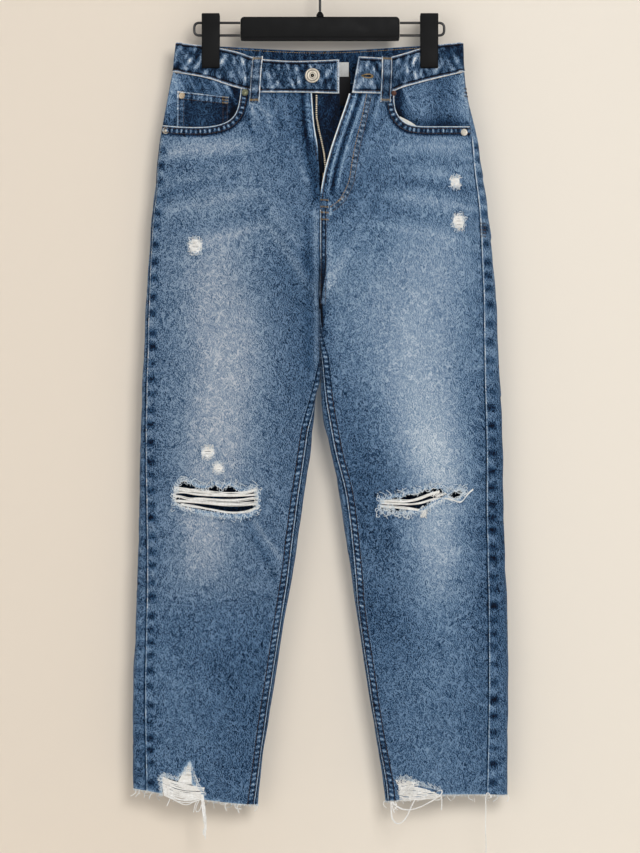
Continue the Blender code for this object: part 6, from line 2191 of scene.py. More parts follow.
def buttonhole():
    """A worn, open buttonhole with its ring of thread, and painted shade in its slit."""
    x, drop, wide, high = 58.5, 159.2, 15.0, 5.4
    turns = np.linspace(0, 2 * math.pi, 49)
    dice = np.random.default_rng(44)
    ring_ = []
    for k, turn in enumerate(turns):
        reach = (1.0 if k % 2 else 0.66) * dice.uniform(0.95, 1.08)
        ring_.append((x + wide / 2 * reach * math.cos(turn), drop + high / 2 * reach * math.sin(turn)
                      * (1 + 0.3 * math.cos(turn))))
    px, pd = np.array(ring_).T
    worn_ring = threads("buttonhole", [lay_at(px, pd, BAND_OUT + 0.7)[0]], 0.62, ochre_thread(), 5)
    # A dark thread along the slit: painted shade in the open buttonhole.
    px, pd = np.array([(x - 4.6 + k * 1.15, drop + 0.25 * math.sin(k)) for k in range(9)]).T
    shadow_slit = threads("buttonhole_slit", [lay_at(px, pd, BAND_OUT + 0.5)[0]], 0.8, dark_gap(), 6)
    return trim("waistband", worn_ring, shadow_slit)


# ------------------------------------------------------------------ rips, worn spots and frayed hems
KNEE_BUNDLES = {
    # strands, half height of the bundle, and its line as a and drop
    -1: [
        (8, 1.9, [(184.5, 671.5), (165, 674.5), (150, 676), (133.8, 678.2), (115, 679.5), (100, 679.2),
                  (87.5, 676.5), (75.5, 672.5)]),
        (5, 1.1, [(185.5, 677.9), (168.8, 677.4), (155, 680.2), (141.2, 680.9), (127.5, 681), (110, 681.4),
                  (93.8, 681.5), (75, 679.8)]),
        (6, 1.4, [(185.5, 681.6), (175, 682.6), (162.5, 686.4), (150, 685), (135, 687), (118.8, 688.2),
                  (100, 687.4), (87.5, 685.2), (74.5, 684.1)]),
        (8, 1.9, [(185.5, 687.9), (173.8, 688.2), (162.5, 689), (150, 689.6), (135, 691.6), (118.8, 692.7),
                  (100, 692.2), (74.5, 690.5)]),
        (5, 1.2, [(176, 692.2), (150, 696.2), (135, 699), (118.8, 702.4), (105, 703.1), (92.5, 702.2),
                  (83.8, 699), (74.5, 695.4)]),
    ],
    1: [
        (8, 1.7, [(72.5, 687.5), (95, 687.9), (103.8, 688.5), (113.8, 688.1), (122.5, 685.8), (131.2, 682.2),
                  (140, 678.9), (151.2, 675.8)]),
        (5, 1, [(72.5, 690.5), (100, 692), (112.5, 692.4), (125, 691), (135, 687.9),
                (146.2, 685), (156.2, 684.5)]),
        (6, 1.7, [(72.5, 694.5), (86, 695.4), (100, 696.4), (115, 698.6), (133, 700.5)]),
        (4, 1.1, [(143, 684), (149, 681.2), (155, 679.1), (163.5, 675.6)]),
        (5, 0.75, [(153, 684.2), (165, 686.6), (170, 688.6), (174.5, 690), (178.8, 687.2), (182.5, 681.6),
                   (188, 675.8), (193, 672.6)]),
    ],
}


def bundle(side, line, strands, half, seed, lift=0.35, out=0.9):
    """Loose parallel threads that keep together along a line of a and drop."""
    dice = np.random.default_rng(seed)
    line, along = step_along(rounded(line, 2), 2.4)
    paths = []
    for k in range(strands):
        level = (k + 0.5) / strands * 2 - 1
        knots = np.linspace(0, along[-1], 7)
        wander = np.interp(along, knots, dice.uniform(-0.5, 0.5, 7)) * half * 0.8
        rise = np.interp(along, knots, dice.uniform(-0.7, 0.7, 7))
        short = dice.uniform(-1.6, 2.2, 2)
        keep = (along > max(0, short[0])) & (along < along[-1] - max(0, short[1]))
        path = form_path(side, line[:, 0], line[:, 1] + level * half + wander)
        ends = np.minimum(along, along[-1] - along)
        hump = out * unit(ends / 12.0) * math.cos(level * 1.3)
        paths.append(on_cloth(side, path, lift + hump + rise * np.clip(ends / 5.0, 0.2, 1))[keep])
    return paths


def curl(side, a, drop, size, turn, seed, lift=0.5, face="front", arc=4.9):
    """One curled end of yarn."""
    dice = np.random.default_rng(seed)
    t = np.linspace(0, 1, 13)
    angle = turn + t * arc * dice.choice([-1.0, 1.0])
    radius = size * (0.55 + 0.5 * t) * dice.uniform(0.85, 1.15)
    tall = dice.uniform(0.7, 1.15)
    pa = a + radius * np.cos(angle) - size * 0.6 * math.cos(turn)
    pd = drop + radius * tall * np.sin(angle) - size * 0.6 * math.sin(turn)
    rise = lift + 1.2 * np.sin(t * math.pi) * dice.uniform(0.4, 1.0)
    return on_cloth(side, form_path(side, pa, pd, face), rise)


def edge_piece(side, line, seed, rough=0.8, lift=0.4, step=2.0):
    """A line of a and drop on the cloth, slightly ragged."""
    path, _ = step_along(rounded(line, 2), step)
    dice = np.random.default_rng(seed)
    path[:, 1] += dice.uniform(-rough, rough, len(path))
    return on_cloth(side, form_path(side, path[:, 0], path[:, 1]), lift)


def flap(name, side, line, reach, way, seed, tone):
    """A ragged lip of worn cloth along the edge of a rip, with tips of uneven length."""
    path, along = step_along(rounded(line, 2), 0.9)
    dice = np.random.default_rng(seed)
    tips = Gathers(seed, 2.6, 6.5, -5.0, 260.0)(along, 1.2)
    ends = np.clip(np.minimum(along, along[-1] - along) / 7.0, 0.12, 1)
    length = reach * ends * (0.4 + 0.55 * tips + dice.uniform(-0.12, 0.12, len(along)))
    t = np.linspace(0, 1, 8)[:, None]
    drop = path[:, 1] + way * length * t
    run = front_run(side, drop, path[:, 0] + 0.8 * t * np.sin(along / 2.3))
    rise = 0.35 + 0.9 * np.sin(math.pi * 0.8 * t) * (0.5 + 0.5 * np.sin(along / 3.7))
    hairs = Gathers(seed + 3, 0.9, 2.2, -5.0, 260.0)(along + 0.3 * t, 0.45)
    outer, inner = (lay(side, run, drop, lift)[0] for lift in (rise + 0.35, rise))
    if way * side > 0:
        outer, inner = outer[::-1], inner[::-1]
        t, hairs = t[::-1], hairs[::-1]
    return shell(name, outer, inner, tone + 0.3 * t ** 5 + 0.22 * (hairs - 0.4), 0.05, 0.3)


def fringes(label, side, rows, edge_seed, seed):
    """Frayed yarns along several lines; each row has its yarn, the fray's settings and the line."""
    return [fray(label + str(k + 1), [edge_piece(side, line, edge_seed + k)], yarn, *settings, seed=seed + k)
            for k, (yarn, settings, line) in enumerate(rows)]


def knee_rip(side):
    """Weft threads across a knee rip and the fraying round it."""
    word = WORD[side]
    paths = []
    for k, (strands, half, line) in enumerate(KNEE_BUNDLES[side]):
        paths += bundle(side, line, strands, half, 201 + 10 * side + k, -0.2 if k % 2 else 0.25)
    weft = threads("weft_knee_" + word, paths, sizes().thread_radius / MM * 0.92, cream_thread(), 5)
    settle(weft, "knee_threads_" + word)
    rows = KNEE_RIP[word]
    upper = [(a, u) for a, u, _ in rows]
    lower = [(a, w) for a, _, w in rows]
    pale = pale_fuzz()
    shifted = lambda line, by: [(a, d + by) for a, d in line]
    fuzz = fringes("f", side, [
        (pale, (1.5, 8.0, math.pi, 1.0, 0.35, 1.1, 0.36), shifted(upper, -1.5)),
        (pale, (2.4, 3.6, 0.0, 0.9, 0.3, 0.9, 0.34), shifted(upper, -0.5)),
        (pale, (2.2, 8.0, 0.0, 1.0, 0.35, 1.1, 0.36), shifted(lower, 0.8)),
        (pale, (2.4, 3.0, math.pi, 0.9, 0.3, 0.9, 0.30), shifted(lower, 0.2))], 31, 41)
    for end, aim in ((0, math.pi / 2 * side), (-1, -math.pi / 2 * side)):
        a, top, low = rows[end]
        line = [(a, top - 1.0), (a + (-1.0 if end == 0 else 1.0), (top + low) / 2), (a, low + 1.0)]
        fuzz.append(fray("f5", [edge_piece(side, line, 35, step=1.2)], pale, 1.0, 5.8, -aim,
                         1.0, 0.3, 0.9, 0.32, 45))
    curls, dice = [], np.random.default_rng(51 + side)
    for line, way in ((upper, -1), (lower, 1)):
        for t in np.linspace(0.0, 1.0, 26):
            a = np.interp(t * (len(line) - 1), np.arange(len(line)), [p[0] for p in line])
            d = np.interp(t * (len(line) - 1), np.arange(len(line)), [p[1] for p in line])
            curls.append(curl(side, a + dice.uniform(-2, 2),
                              d + way * dice.uniform(0.2, 4.6), dice.uniform(1.3, 2.8),
                              way * math.pi / 2 + dice.uniform(-1, 1), int(dice.integers(1e6))))
    for end in (0, -1):
        a, top, low = rows[end]
        out = -1 if end == 0 else 1
        for t in np.linspace(-0.5, 1.5, 9):
            curls.append(curl(side, a + out * dice.uniform(0.5, 4.0),
                              top + (low - top) * t, dice.uniform(1.3, 2.6),
                              dice.uniform(0, 6.2), int(dice.integers(1e6))))
    if side > 0:
        for a, d, size in ((79.5, 698.5, 3.3), (84.0, 704.5, 3.2), (91.0, 702.0, 3.4),
                           (97.0, 707.0, 3.0), (103.5, 703.5, 3.3),
                           (108.0, 708.5, 2.6), (89.0, 697.5, 3.0)):
            curls.append(curl(side, a, d, size * 1.3, 1.0, int(a * 7), 1.1, arc=9.0))
            curls.append(curl(side, a + 0.9, d + 0.7, size * 0.9, 2.4, int(a * 9), 1.5, arc=8.0))
    fuzz.append(threads("f6", curls, 0.4, pale, 4))
    lip_low = [(a, w - 0.8) for a, _, w in rows if (a > 96.0 or side < 0) and a < 164.0]
    lip_high = [(a, u - 0.2) for a, u, _ in rows if 84.0 < a < 172.0]
    lips = [flap("lip_low", side, lip_low, 9.5 if side < 0 else 5.0, 1, 55 + side, 0.56),
            flap("lip_high", side, lip_high, 7.0, -1, 58 + side, 0.54)]
    fluff = merged("fray_knee_" + word, fuzz)
    lips = merged("lips_knee_" + word, lips)
    extra = []
    if side > 0:
        tuft = [edge_piece(side, [(126.5, 698.5), (130.0, 699.5), (134.0, 699.0)], 36, 0.4, 0.7, 0.8)]
        extra.append(fray("f7", tuft, cream_thread(), 0.22, 9.0, 0.1, 0.35, 0.3, 0.3, 0.34, 46))
        extra.append(fray("f8", [edge_piece(side, [(140.0, 679.0), (146.0, 681.0), (152.0, 678.0)], 37, 0.4,
                                            0.7, 0.8)], cream_thread(),
                          0.5, 4.0, 0.9, 0.9, 0.3, 0.6, 0.3, 47))
    else:
        extra.append(fray("f7", [edge_piece(side, [(78.0, 676.0), (77.0, 684.0), (78.0, 693.0)], 38, 0.4,
                                            0.5, 0.8)], cream_thread(),
                          0.5, 4.4, 0.5 * math.pi, 0.8, 0.3, 0.5, 0.32, 48))
        extra.append(fray("f8", [edge_piece(side, [(182.0, 676.0), (183.5, 684.0), (181.0, 693.0)], 39, 0.4,
                                            0.5, 0.8)], cream_thread(),
                          0.5, 4.4, -0.5 * math.pi, 0.8, 0.3, 0.5, 0.32, 49))
    knots = merged("tufts_knee_" + word, extra)
    return trim("front_" + word, fluff, knots, weft, lips)


def worn_spots(side):
    """Small places worn through to the weft, with a furry rim."""
    word, paths, fuzz = WORD[side], [], []
    dice = np.random.default_rng(61 + side)
    for k, (a, drop, wide, high) in enumerate(SMALL_HOLES[side]):
        count = int(high * 2.1)
        for i in range(count):
            level = (i + 0.5) / count * 2 - 1
            reach = wide * 1.02 * math.sqrt(max(0.1, 1 - 0.8 * level * level)) * dice.uniform(0.85, 1.1)
            t = np.linspace(-1, 1, 7)
            path = form_path(side, a + t * reach, drop + level * high * 0.78 + 0.5 * dice.uniform(-1, 1)
                             * (1 - t * t) + dice.uniform(-0.3, 0.3) * t)
            paths.append(on_cloth(side, path, 0.25 + 0.9 * (1 - t * t) * math.cos(level)
                                  + dice.uniform(-0.15, 0.15)))
        turns = np.linspace(0, 2 * math.pi, 17)
        for part, aim in ((turns[8:], math.pi), (turns[:9], 0.0)):
            ring_ = np.column_stack([a + wide * 0.86 * np.cos(part), drop + high * 0.86 * np.sin(part)])
            ring_path = on_cloth(side, form_path(side, ring_[:, 0], ring_[:, 1]), 0.3)
            fuzz.append(fray("s1", [ring_path], pale_fuzz(), 0.6, 5.2, aim, 1.1, 0.4, 0.9, 0.30, 71 + k))
            fuzz.append(fray("s2", [ring_path], cream_thread(), 0.7, 4.0, aim, 1.2, 0.4, 0.9, 0.34, 81 + k))
        curls = [curl(side, a + wide * 0.9 * math.cos(t), drop + high * 0.9 * math.sin(t),
                      dice.uniform(1.3, 2.6), t, 400 + k * 9 + i)
                 for i, t in enumerate(dice.uniform(0, 6.28, 9))]
        fuzz.append(threads("s3", curls, 0.36, cream_thread(), 4))
    weft = threads("weft_spots_" + word, paths, 0.5, cream_thread(), 5)
    fluff = merged("fray_spots_" + word, fuzz)
    return trim("front_" + word, weft, fluff)


def hair_path(points, seed=1, wobble=0.35, step=3.0):
    """A free thread through points of x, drop and y, with small wobbles."""
    path, along = step_along(rounded(points, 2), step)
    dice = np.random.default_rng(seed)
    count = max(4, len(along) // 2)
    for column in (0, 2):
        path[:, column] += np.interp(along, np.linspace(0, along[-1], count),
                                     dice.uniform(-wobble, wobble, count))
    return np.column_stack([path[:, 0], path[:, 2], -path[:, 1]])


def hem_fray_right():
    """The torn triangle at the right hem: slack weft threads and a hank that hangs down."""
    dice = np.random.default_rng(121)
    paths = []
    for k in range(34):
        t = k / 33
        start, end = ((199.5 - 5.0 * t, 1031.0 + 24.0 * t),
                      (149.0 - 5.0 * (1 - t) - 3.0 * t, 1046.0 + 13.0 * t))
        sag = 2.0 + 5.0 * t + dice.uniform(-1.0, 1.2)
        s = np.linspace(0, 1, 15)
        a = start[0] + (end[0] - start[0]) * s
        drop = (start[1] + (end[1] - start[1]) * s + sag * np.sin(math.pi * s)
                + np.interp(s, np.linspace(0, 1, 6), dice.uniform(-0.7, 0.7, 6)))
        paths.append(on_cloth(-1, form_path(-1, a, drop), -0.2 + dice.uniform(-0.5, 0.9)
                              + 0.6 * np.sin(math.pi * s)))
    for k in range(36):
        t = k / 35
        left, right = 163.0 + 15.0 * t, 161.0 - 1.5 * t
        s = np.linspace(0, 1, 6)
        drop = 1014.5 + 25.0 * t + dice.uniform(-0.6, 0.6) + 1.5 * t * s
        paths.append(on_cloth(-1, form_path(-1, left + (right - left) * s, drop + 0.8 * np.sin(math.pi * s)),
                              0.2 + dice.uniform(-0.3, 0.6)))
    y = float(level_y(-146.0, HEM_DROP)) - 0.4
    for k in range(15):
        off, out = dice.uniform(-1.9, 1.9), dice.uniform(-2.0, 2.0, 3)
        knots = [(-147.0 + off, 1054.0, y), (-145.2 + off, 1066.0, y - 0.6),
                 (-144.0 + off * 1.3, 1078.0, y + dice.uniform(-0.6, 0.6)),
                 (-143.2 + out[0], 1090.0, y), (-143.4 + out[1], 1100.0, y + 0.3),
                 (-144.0 + out[2] * 0.8, 1109.0 + dice.uniform(-11.0, 1.0), y)]
        paths.append(hair_path(knots, 330 + k, 0.8))
    for k, knots in enumerate((
            [(-151.0, 1062.0, y), (-154.5, 1068.0, y - 0.5), (-155.5, 1075.0, y), (-151.5, 1077.0, y),
             (-148.0, 1070.0, y), (-147.5, 1064.0, y)],
            [(-152.5, 1060.0, y), (-156.8, 1070.0, y), (-158.0, 1076.5, y)],
            [(-153.0, 1036.0, y), (-155.0, 1044.0, y - 0.8), (-151.0, 1050.0, y - 0.8)],
            [(-194.0, 1054.0, y + 0.6), (-180.0, 1062.5, y), (-166.0, 1068.5, y), (-157.0, 1063.0, y - 0.4)],
            [(-186.0, 1058.0, y + 0.6), (-190.0, 1066.0, y + 0.4), (-190.8, 1068.5, y + 0.4)])):
        paths.append(hair_path(knots, 141 + k))
    weft = threads("weft_hem_right", paths, 0.6, cream_thread(), 5)
    settle(weft, "hem_fray_right")
    pale = pale_fuzz()
    fuzz = fringes("h", -1, [
        (pale, (0.4, 4.8, 1.2, 0.9, 0.3, 0.6, 0.26), [(198.0, 1030.0), (196.0, 1042.0), (196.0, 1056.0)]),
        (pale, (0.4, 4.6, -0.4, 0.9, 0.3, 0.6, 0.26), [(179.0, 1035.0), (172.0, 1026.0), (162.5, 1013.0)]),
        (pale, (0.4, 4.4, 0.6, 0.9, 0.3, 0.6, 0.26),
         [(162.0, 1013.5), (157.0, 1026.0), (153.0, 1038.0), (143.0, 1052.0)]),
        (pale, (0.35, 5.6, math.pi, 0.9, 0.3, 0.6, 0.26),
         [(198.0, 1031.0), (189.0, 1034.0), (179.0, 1036.0)])],
        151, 161)
    curls, dice = [], np.random.default_rng(165)
    for a, d in ((196.0, 1031.0), (192.0, 1032.0), (186.0, 1035.0), (180.0, 1033.0), (175.0, 1028.0),
                 (153.0, 1036.0), (147.0, 1046.0), (145.0, 1052.0)):
        curls.append(curl(-1, a, d, dice.uniform(1.3, 2.6), dice.uniform(0, 6), int(a * 11 + d)))
    fuzz.append(threads("h5", curls, 0.34, pale, 4))
    return trim("front_right", weft, merged("fray_hem_right", fuzz))


def hem_fray_left():
    """The frayed stretch of the left hem with its loops of thread."""
    dice = np.random.default_rng(171)
    paths = []
    for k in range(22):
        t = k / 21
        s = np.linspace(0, 1, 16)
        start, end = (97.5 + 2.0 * t, 1040.0 + 22.0 * t), (150.0 - 20.0 * (1 - t) ** 2, 1048.0 + 9.5 * t)
        a = start[0] + (end[0] - start[0]) * s
        drop = (start[1] + (end[1] - start[1]) * s + np.interp(s, np.linspace(0, 1, 7),
                                                               dice.uniform(-1.0, 1.0, 7))
                + 2.2 * np.sin(math.pi * s) * (t - 0.3))
        paths.append(on_cloth(1, form_path(1, a, drop), 0.55 + dice.uniform(-0.2, 0.7)))
    for k in range(20):
        a0, d0 = 98.0 + dice.uniform(0, 18), 1038.0 + dice.uniform(0, 20)
        s = np.linspace(0, 1, 7)
        paths.append(on_cloth(1, form_path(1, a0 + 9.0 * s, d0 + dice.uniform(-3, 3) * s + dice.uniform(0, 2)
                                           * np.sin(3 * s)), 0.6 + dice.uniform(0, 0.7)))
    y = float(level_y(110.0, HEM_DROP)) - 0.9
    free = [[(88.2, 1064.0, y), (88.8, 1078.0, y), (89.6, 1086.0, y), (96.0, 1092.0, y), (103.0, 1089.0, y),
             (109.5, 1080.0, y), (112.5, 1072.0, y - 0.4), (118.5, 1059.5, y - 0.6)],
            [(89.0, 1063.5, y - 0.5), (98.0, 1071.5, y - 0.7), (109.5, 1074.6, y - 0.8),
             (125.0, 1070.5, y - 0.6), (138.5, 1063.0, y - 0.5), (151.0, 1055.5, y - 0.4), (152.8, 1048.5, y),
             (146.5, 1050.0, y), (138.0, 1055.5, y)],
            [(151.5, 1056.0, y), (151.8, 1064.0, y), (151.7, 1074.0, y)],
            [(94.0, 1063.0, y), (96.5, 1070.0, y), (91.0, 1074.0, y)],
            [(92.0, 1064.0, y), (90.0, 1071.0, y), (93.0, 1077.0, y)]]
    loops = [hair_path(knots, 181 + k, 0.3) for k, knots in enumerate(free)]
    loops += [path + np.array([0.5, -0.3, 0.4]) for path in loops[:2]]
    weft = merged("weft_hem_left", [threads("l0", paths, 0.52, cream_thread(), 5),
                                    threads("l5", loops, 0.72, cream_thread(), 6)])
    settle(weft, "hem_fray_left")
    cream, pale = cream_thread(), pale_fuzz()
    fuzz = fringes("l", 1, [
        (pale, (0.34, 6.2, math.pi, 0.7, 0.25, 0.6, 0.26),
         [(96.0, 1038.0), (104.0, 1036.0), (112.0, 1037.0), (118.0, 1041.0)]),
        (pale, (0.4, 6.4, math.pi - 0.25, 0.35, 0.2, 0.4, 0.26),
         [(114.0, 1041.0), (126.0, 1044.0), (138.0, 1047.0), (150.0, 1050.0)]),
        (cream, (0.22, 6.0, math.pi, 1.4, 0.4, 0.7, 0.34),
         [(98.0, 1042.0), (106.0, 1041.0), (114.0, 1045.0), (110.0, 1052.0)]),
        (cream, (0.3, 6.0, math.pi, 1.4, 0.4, 0.7, 0.34),
         [(100.0, 1054.0), (112.0, 1055.0), (124.0, 1054.0)])],
        191, 201)
    return trim("front_left", weft, merged("fray_hem_left", fuzz))


def loose_thread():
    y = float(level_y(206.5, HEM_DROP - 1.0)) - 0.15
    knots = [(213.5, 1058.5, y - 0.5), (211.5, 1053.5, y - 1.2), (209.0, 1051.5, y - 1.0), (206.8, 1055.0, y),
             (206.6, 1066.0, y), (206.9, 1080.0, y), (206.5, 1094.0, y),
             (206.8, 1105.0, y), (207.4, 1118.0, y), (206.9, 1130.0, y), (207.5, 1141.0, y)]
    made = threads("loose_weft_left", [hair_path(knots, 211, 0.18, 2.5)], 0.62, cream_thread(), 6)
    settle(made, "loose_thread_left")
    return trim("front_left", made)


def hem_edge(side):
    """A low fur of cut yarns along the raw hem, with a few longer ones."""
    word, pieces = WORD[side], []
    runs = np.linspace(0.0, float(total_run(side, HEM_DROP)), 150)
    a, on_front = on_form(side, runs, np.full(runs.shape, HEM_DROP))
    line = on_cloth(side, np.column_stack([runs, hem_at(side, a)]), -0.55)
    torn = on_front & (a > 142.0) & (a < 198.5) & (side < 0)
    if torn.any():
        first, last = np.flatnonzero(torn)[[0, -1]]
        lines = [np.vstack([line[last + 1:], line[:first]])]
    else:
        lines = [np.vstack([line, line[:1]])]
    cream, pale = cream_thread(), pale_fuzz()
    pieces.append(fray("e1", lines, cream, 1.05, 1.9, 0.0, 0.8, 0.3, 0.5, 0.27, 221))
    pieces.append(fray("e2", lines, pale, 1.3, 2.8, 0.0, 1.0, 0.3, 0.7, 0.22, 222 + side))
    pieces.append(fray("e3", lines, cream, 9.0, 9.5, 0.0, 0.7, 0.2, 0.8, 0.6, 223 + side))
    return trim("back_" + word, merged("fray_edge_" + word, pieces))


# ------------------------------------------------------------------ metal, labels, fly and hanger
def level_y(x, drop, face="front"):
    """The plain form's y at places across and down its front or back."""
    x, drop = arrays(x, drop)
    side = half_of(x)
    return flat_place(side, run_at(side, drop, np.abs(x), face), drop)[1]


CHAIN = Run("drop x level", [
    (184.5, -5.2, -1.6), (206, -5.4, -2.4), (223.5, -3, -3.4), (242, 1.2, -5), (261, 4.6, -8),
    (279, 5.6, -11.5), (306, 5, -13)])
SHIELD = Run("drop x0 x1", [(182.6, -24, 24.4), (205, -24, 24.4), (232, -23, 22.5), (262, -19, 21),
                            (290, -13, 18), (310, -7, 12)])
SHIELD_BACK = ((182.0, 214.0, 236.0, 262.0, 274.0, 310.0), (2.35, 2.4, 3.1, 3.3, 4.2, 4.2))
CHAIN_WIDTH, SLIDER_TOP = 4.6, 280.0


def left_chain(drop):
    return CHAIN("x", drop) + np.maximum(0.0, (SLIDER_TOP - drop) * 0.42) + np.where(drop < 279, 5.1, 4.9)


def level_strip(name, drops, left_x, right_x, level, thick, columns, tone, material=None, ripple=0.0):
    """A flat strip behind the fly, held square to the front."""
    share = np.linspace(0, 1, columns)
    x = left_x[:, None] + (right_x - left_x)[:, None] * share
    drop = np.repeat(drops[:, None], columns, 1)
    y = level_y(x, drop) - level[:, None] + ripple * np.sin(x / 2.9 + drop / 17.0) * np.sin(drop / 31.0)
    outer = np.stack([x, y, -drop], -1)
    return (shell(name, outer, outer + np.array([0.0, thick, 0.0]), tone(x, drop), 0.1, 0.1,
                  None, material), x, drop)


def fly():
    """Zip tapes, chain, slider, pull and the shield behind them."""
    level = lambda d: CHAIN("level", d)
    drops = np.linspace(182.6, 310.0, 60)
    behind = level(drops) - np.interp(drops, *SHIELD_BACK)
    # The shield's tone is near black but for light creases near its top: painted shade behind the fly's
    # flaps.
    shield, x, drop = level_strip("cloth_fly_shield", drops, SHIELD("x0", drops),
                                  SHIELD("x1", drops), behind, 1.9, 40,
                                  lambda x, d: 0.035 + 0.11 * peak(x - 3.0, 0.05 * (d - 190),
                                                                   4.5) * peak(d, 190, 26.0)
                                  + 0.05 * np.sin(x / 3.0 + d / 9.0) * peak(d, 200, 40.0), None, 0.22)
    cut_cloth(shield, "fly_shield", x, drop, ["front_right"])
    drops = np.linspace(184.5, 279.6, 70)
    half = CHAIN_WIDTH / 2
    tape = grained("Zip tape", (0.003, 0.004, 0.007), (0.012, 0.016, 0.026), 1.1,
                   (0.85, 0.95), bump=0.2, specular=0.1)
    right, x, drop = level_strip("zip_tape_cloth_right", drops, CHAIN("x", drops) - 14.0,
                                 CHAIN("x", drops) - half - 0.3,
                                 level(drops) - 0.6, 0.8, 12, lambda x, d: 0.05 + 0 * x, tape)
    cut_cloth(right, "zip_tape_right", x, drop, ["fly_shield"])
    gap = 1.4 * (280 - drops) / 95
    left, x, drop = level_strip("zip_tape_cloth_left", drops, left_chain(drops) + half + 0.3,
                                left_chain(drops) + 14.0,
                                level(drops) - 0.6 - gap, 0.8, 12, lambda x, d: 0.05 + 0 * x, tape)
    cut_cloth(left, "zip_tape_left", x, drop, ["front_left"])
    closed = np.linspace(291.6, 305.8, 12)
    metal = zip_metal()
    runs = (("zip_teeth_right", CHAIN("x", drops), drops, level(drops), "zip_chain_right"),
            ("zip_teeth_left", left_chain(drops), drops, level(drops) - gap, "zip_chain_left"),
            ("zip_teeth_closed", CHAIN("x", closed) + 2.5, closed, level(closed), "zip_chain_closed"))
    for name, x, drop, depth_, node in runs:
        path = np.column_stack([x, level_y(x, drop) - depth_ + 1.0, -drop])
        shift = np.array([{"zip_teeth_right": 1.0, "zip_teeth_left": -1.0}.get(name, 0.0), 0.0, 0.0])
        teeth = grow(name, [path + shift], tooth_tree(), metal, Pitch=sizes().tooth_pitch, Width=1.8 * MM,
                     Thickness=1.9 * MM, Height=1.15 * MM, Seed=5)
        cord_ = threads(name + "_cord", [path + np.array([0.0, 0.45, 0.0])], 0.85, tape, 6)
        settle(merged(name, [teeth, cord_]), node)
    give("zip_slider", antique_brass())
    give("zip_pull", antique_brass())


def give(node, material):
    """A CAD solid keeps its shape and takes a finished material."""
    solid = bpy.data.objects[node]
    solid.data.materials.clear()
    solid.data.materials.append(material)


def button_and_rivets():
    place, way = seat(-9.1, 160.1, BAND_OUT + LAYER_GAP + 0.1)
    face = shaded("Button face", "silver", 0.72, 1.25, 0.35, (0.34, 0.5), 0.55)
    profile = [(0, 0), (4.2, 0), (4.2, 1.8), (8.3, 2.2), (8.9, 2.6), (9.2, 3.2), (9.1, 3.9), (8.6, 4.35),
               (7.9, 4.5), (7.3, 4.3), (6.9, 3.95),
               (6.5, 3.9), (6.1, 4.2), (5.6, 4.32), (5.0, 4.25), (4.4, 3.85), (3.9, 3.75), (3.4, 3.95),
               (2.9, 4.1), (2.3, 4.0), (1.7, 3.3), (0, 3.2)]
    made = turned("button", place, way, profile, 48, face)
    hole = turned("button_eye", place, way, [(0, 3.15), (2.3, 3.15), (2.3, 4.0), (1.6, 4.1),
                                             (0, 4.1)], 20, dark_gap())
    nub = turned("button_nub", place, way, [(0, 3.9), (0.6, 3.9), (0.55, 4.25), (0.3, 4.4),
                                            (0, 4.4)], 12, antique_brass())
    first, second = square_to(way)
    turns = np.linspace(0, 2 * math.pi, 41)[:, None]
    circle = lambda radius, height: place + way * height + radius * (np.cos(turns) * first
                                                                     + np.sin(turns) * second)
    # Dark thread rings: two lie in the button's grooves, and the outer one at the rim is a painted shadow
    # round its edge.
    rings = threads("button_rings", [circle(3.5, 3.95), circle(6.7, 4.0), circle(9.1, 3.4)],
                    0.36, sewing_thread(), 5)
    settle(merged("button", [made, hole, nub, rings]), "waist_button")
    copper = grained("Worn copper", (0.40, 0.28, 0.16), (0.86, 0.76, 0.60), 0.6, (0.32, 0.5), 0.6)
    green = grained("Tarnished brass", (0.13, 0.15, 0.09), (0.42, 0.42, 0.28), 0.6, (0.35, 0.5), 0.75)
    pale = grained("Pale rivet", (0.42, 0.37, 0.30), (0.80, 0.76, 0.68), 0.6, (0.35, 0.5), 0.6)
    red = grained("Reddish copper", (0.06, 0.030, 0.025), (0.22, 0.11, 0.08), 0.6, (0.35, 0.5), 0.8)
    for node, x, drop, radius, metal in (("rivet_right_side", -192.4, 226.0, RIVET_RADIUS, pale),
                                         ("rivet_right_fly", -93.2, 179.3, RIVET_RADIUS, green),
                                         ("rivet_left_fly", 91.8, 180.4, 3.2, red),
                                         ("rivet_left_side", 179.6, 228.6, RIVET_RADIUS, pale),
                                         ("rivet_coin", -172.6, 182.4, 3.9, copper)):
        lift = BAND_OUT + LAYER_GAP + 0.2 if drop < 181 else LAYER_GAP + 0.2
        lift = {"rivet_right_side": lift - 0.6, "rivet_coin": -0.9,
                "rivet_left_side": lift + 0.35}.get(node, lift)
        place, way = seat(x, drop, lift)
        rows = [(0, -0.4), (1.0, -0.4), (1.0, 0.1), (0.97, 0.5), (0.88, 0.75), (0.76, 0.72), (0.68, 0.5),
                (0.56, 0.46), (0.42, 0.8), (0.26, 1.0), (0, 1.05)]
        settle(turned("metal_" + node, place, way, [(r * radius, h * 1.5) for r, h in rows], 28, metal), node)


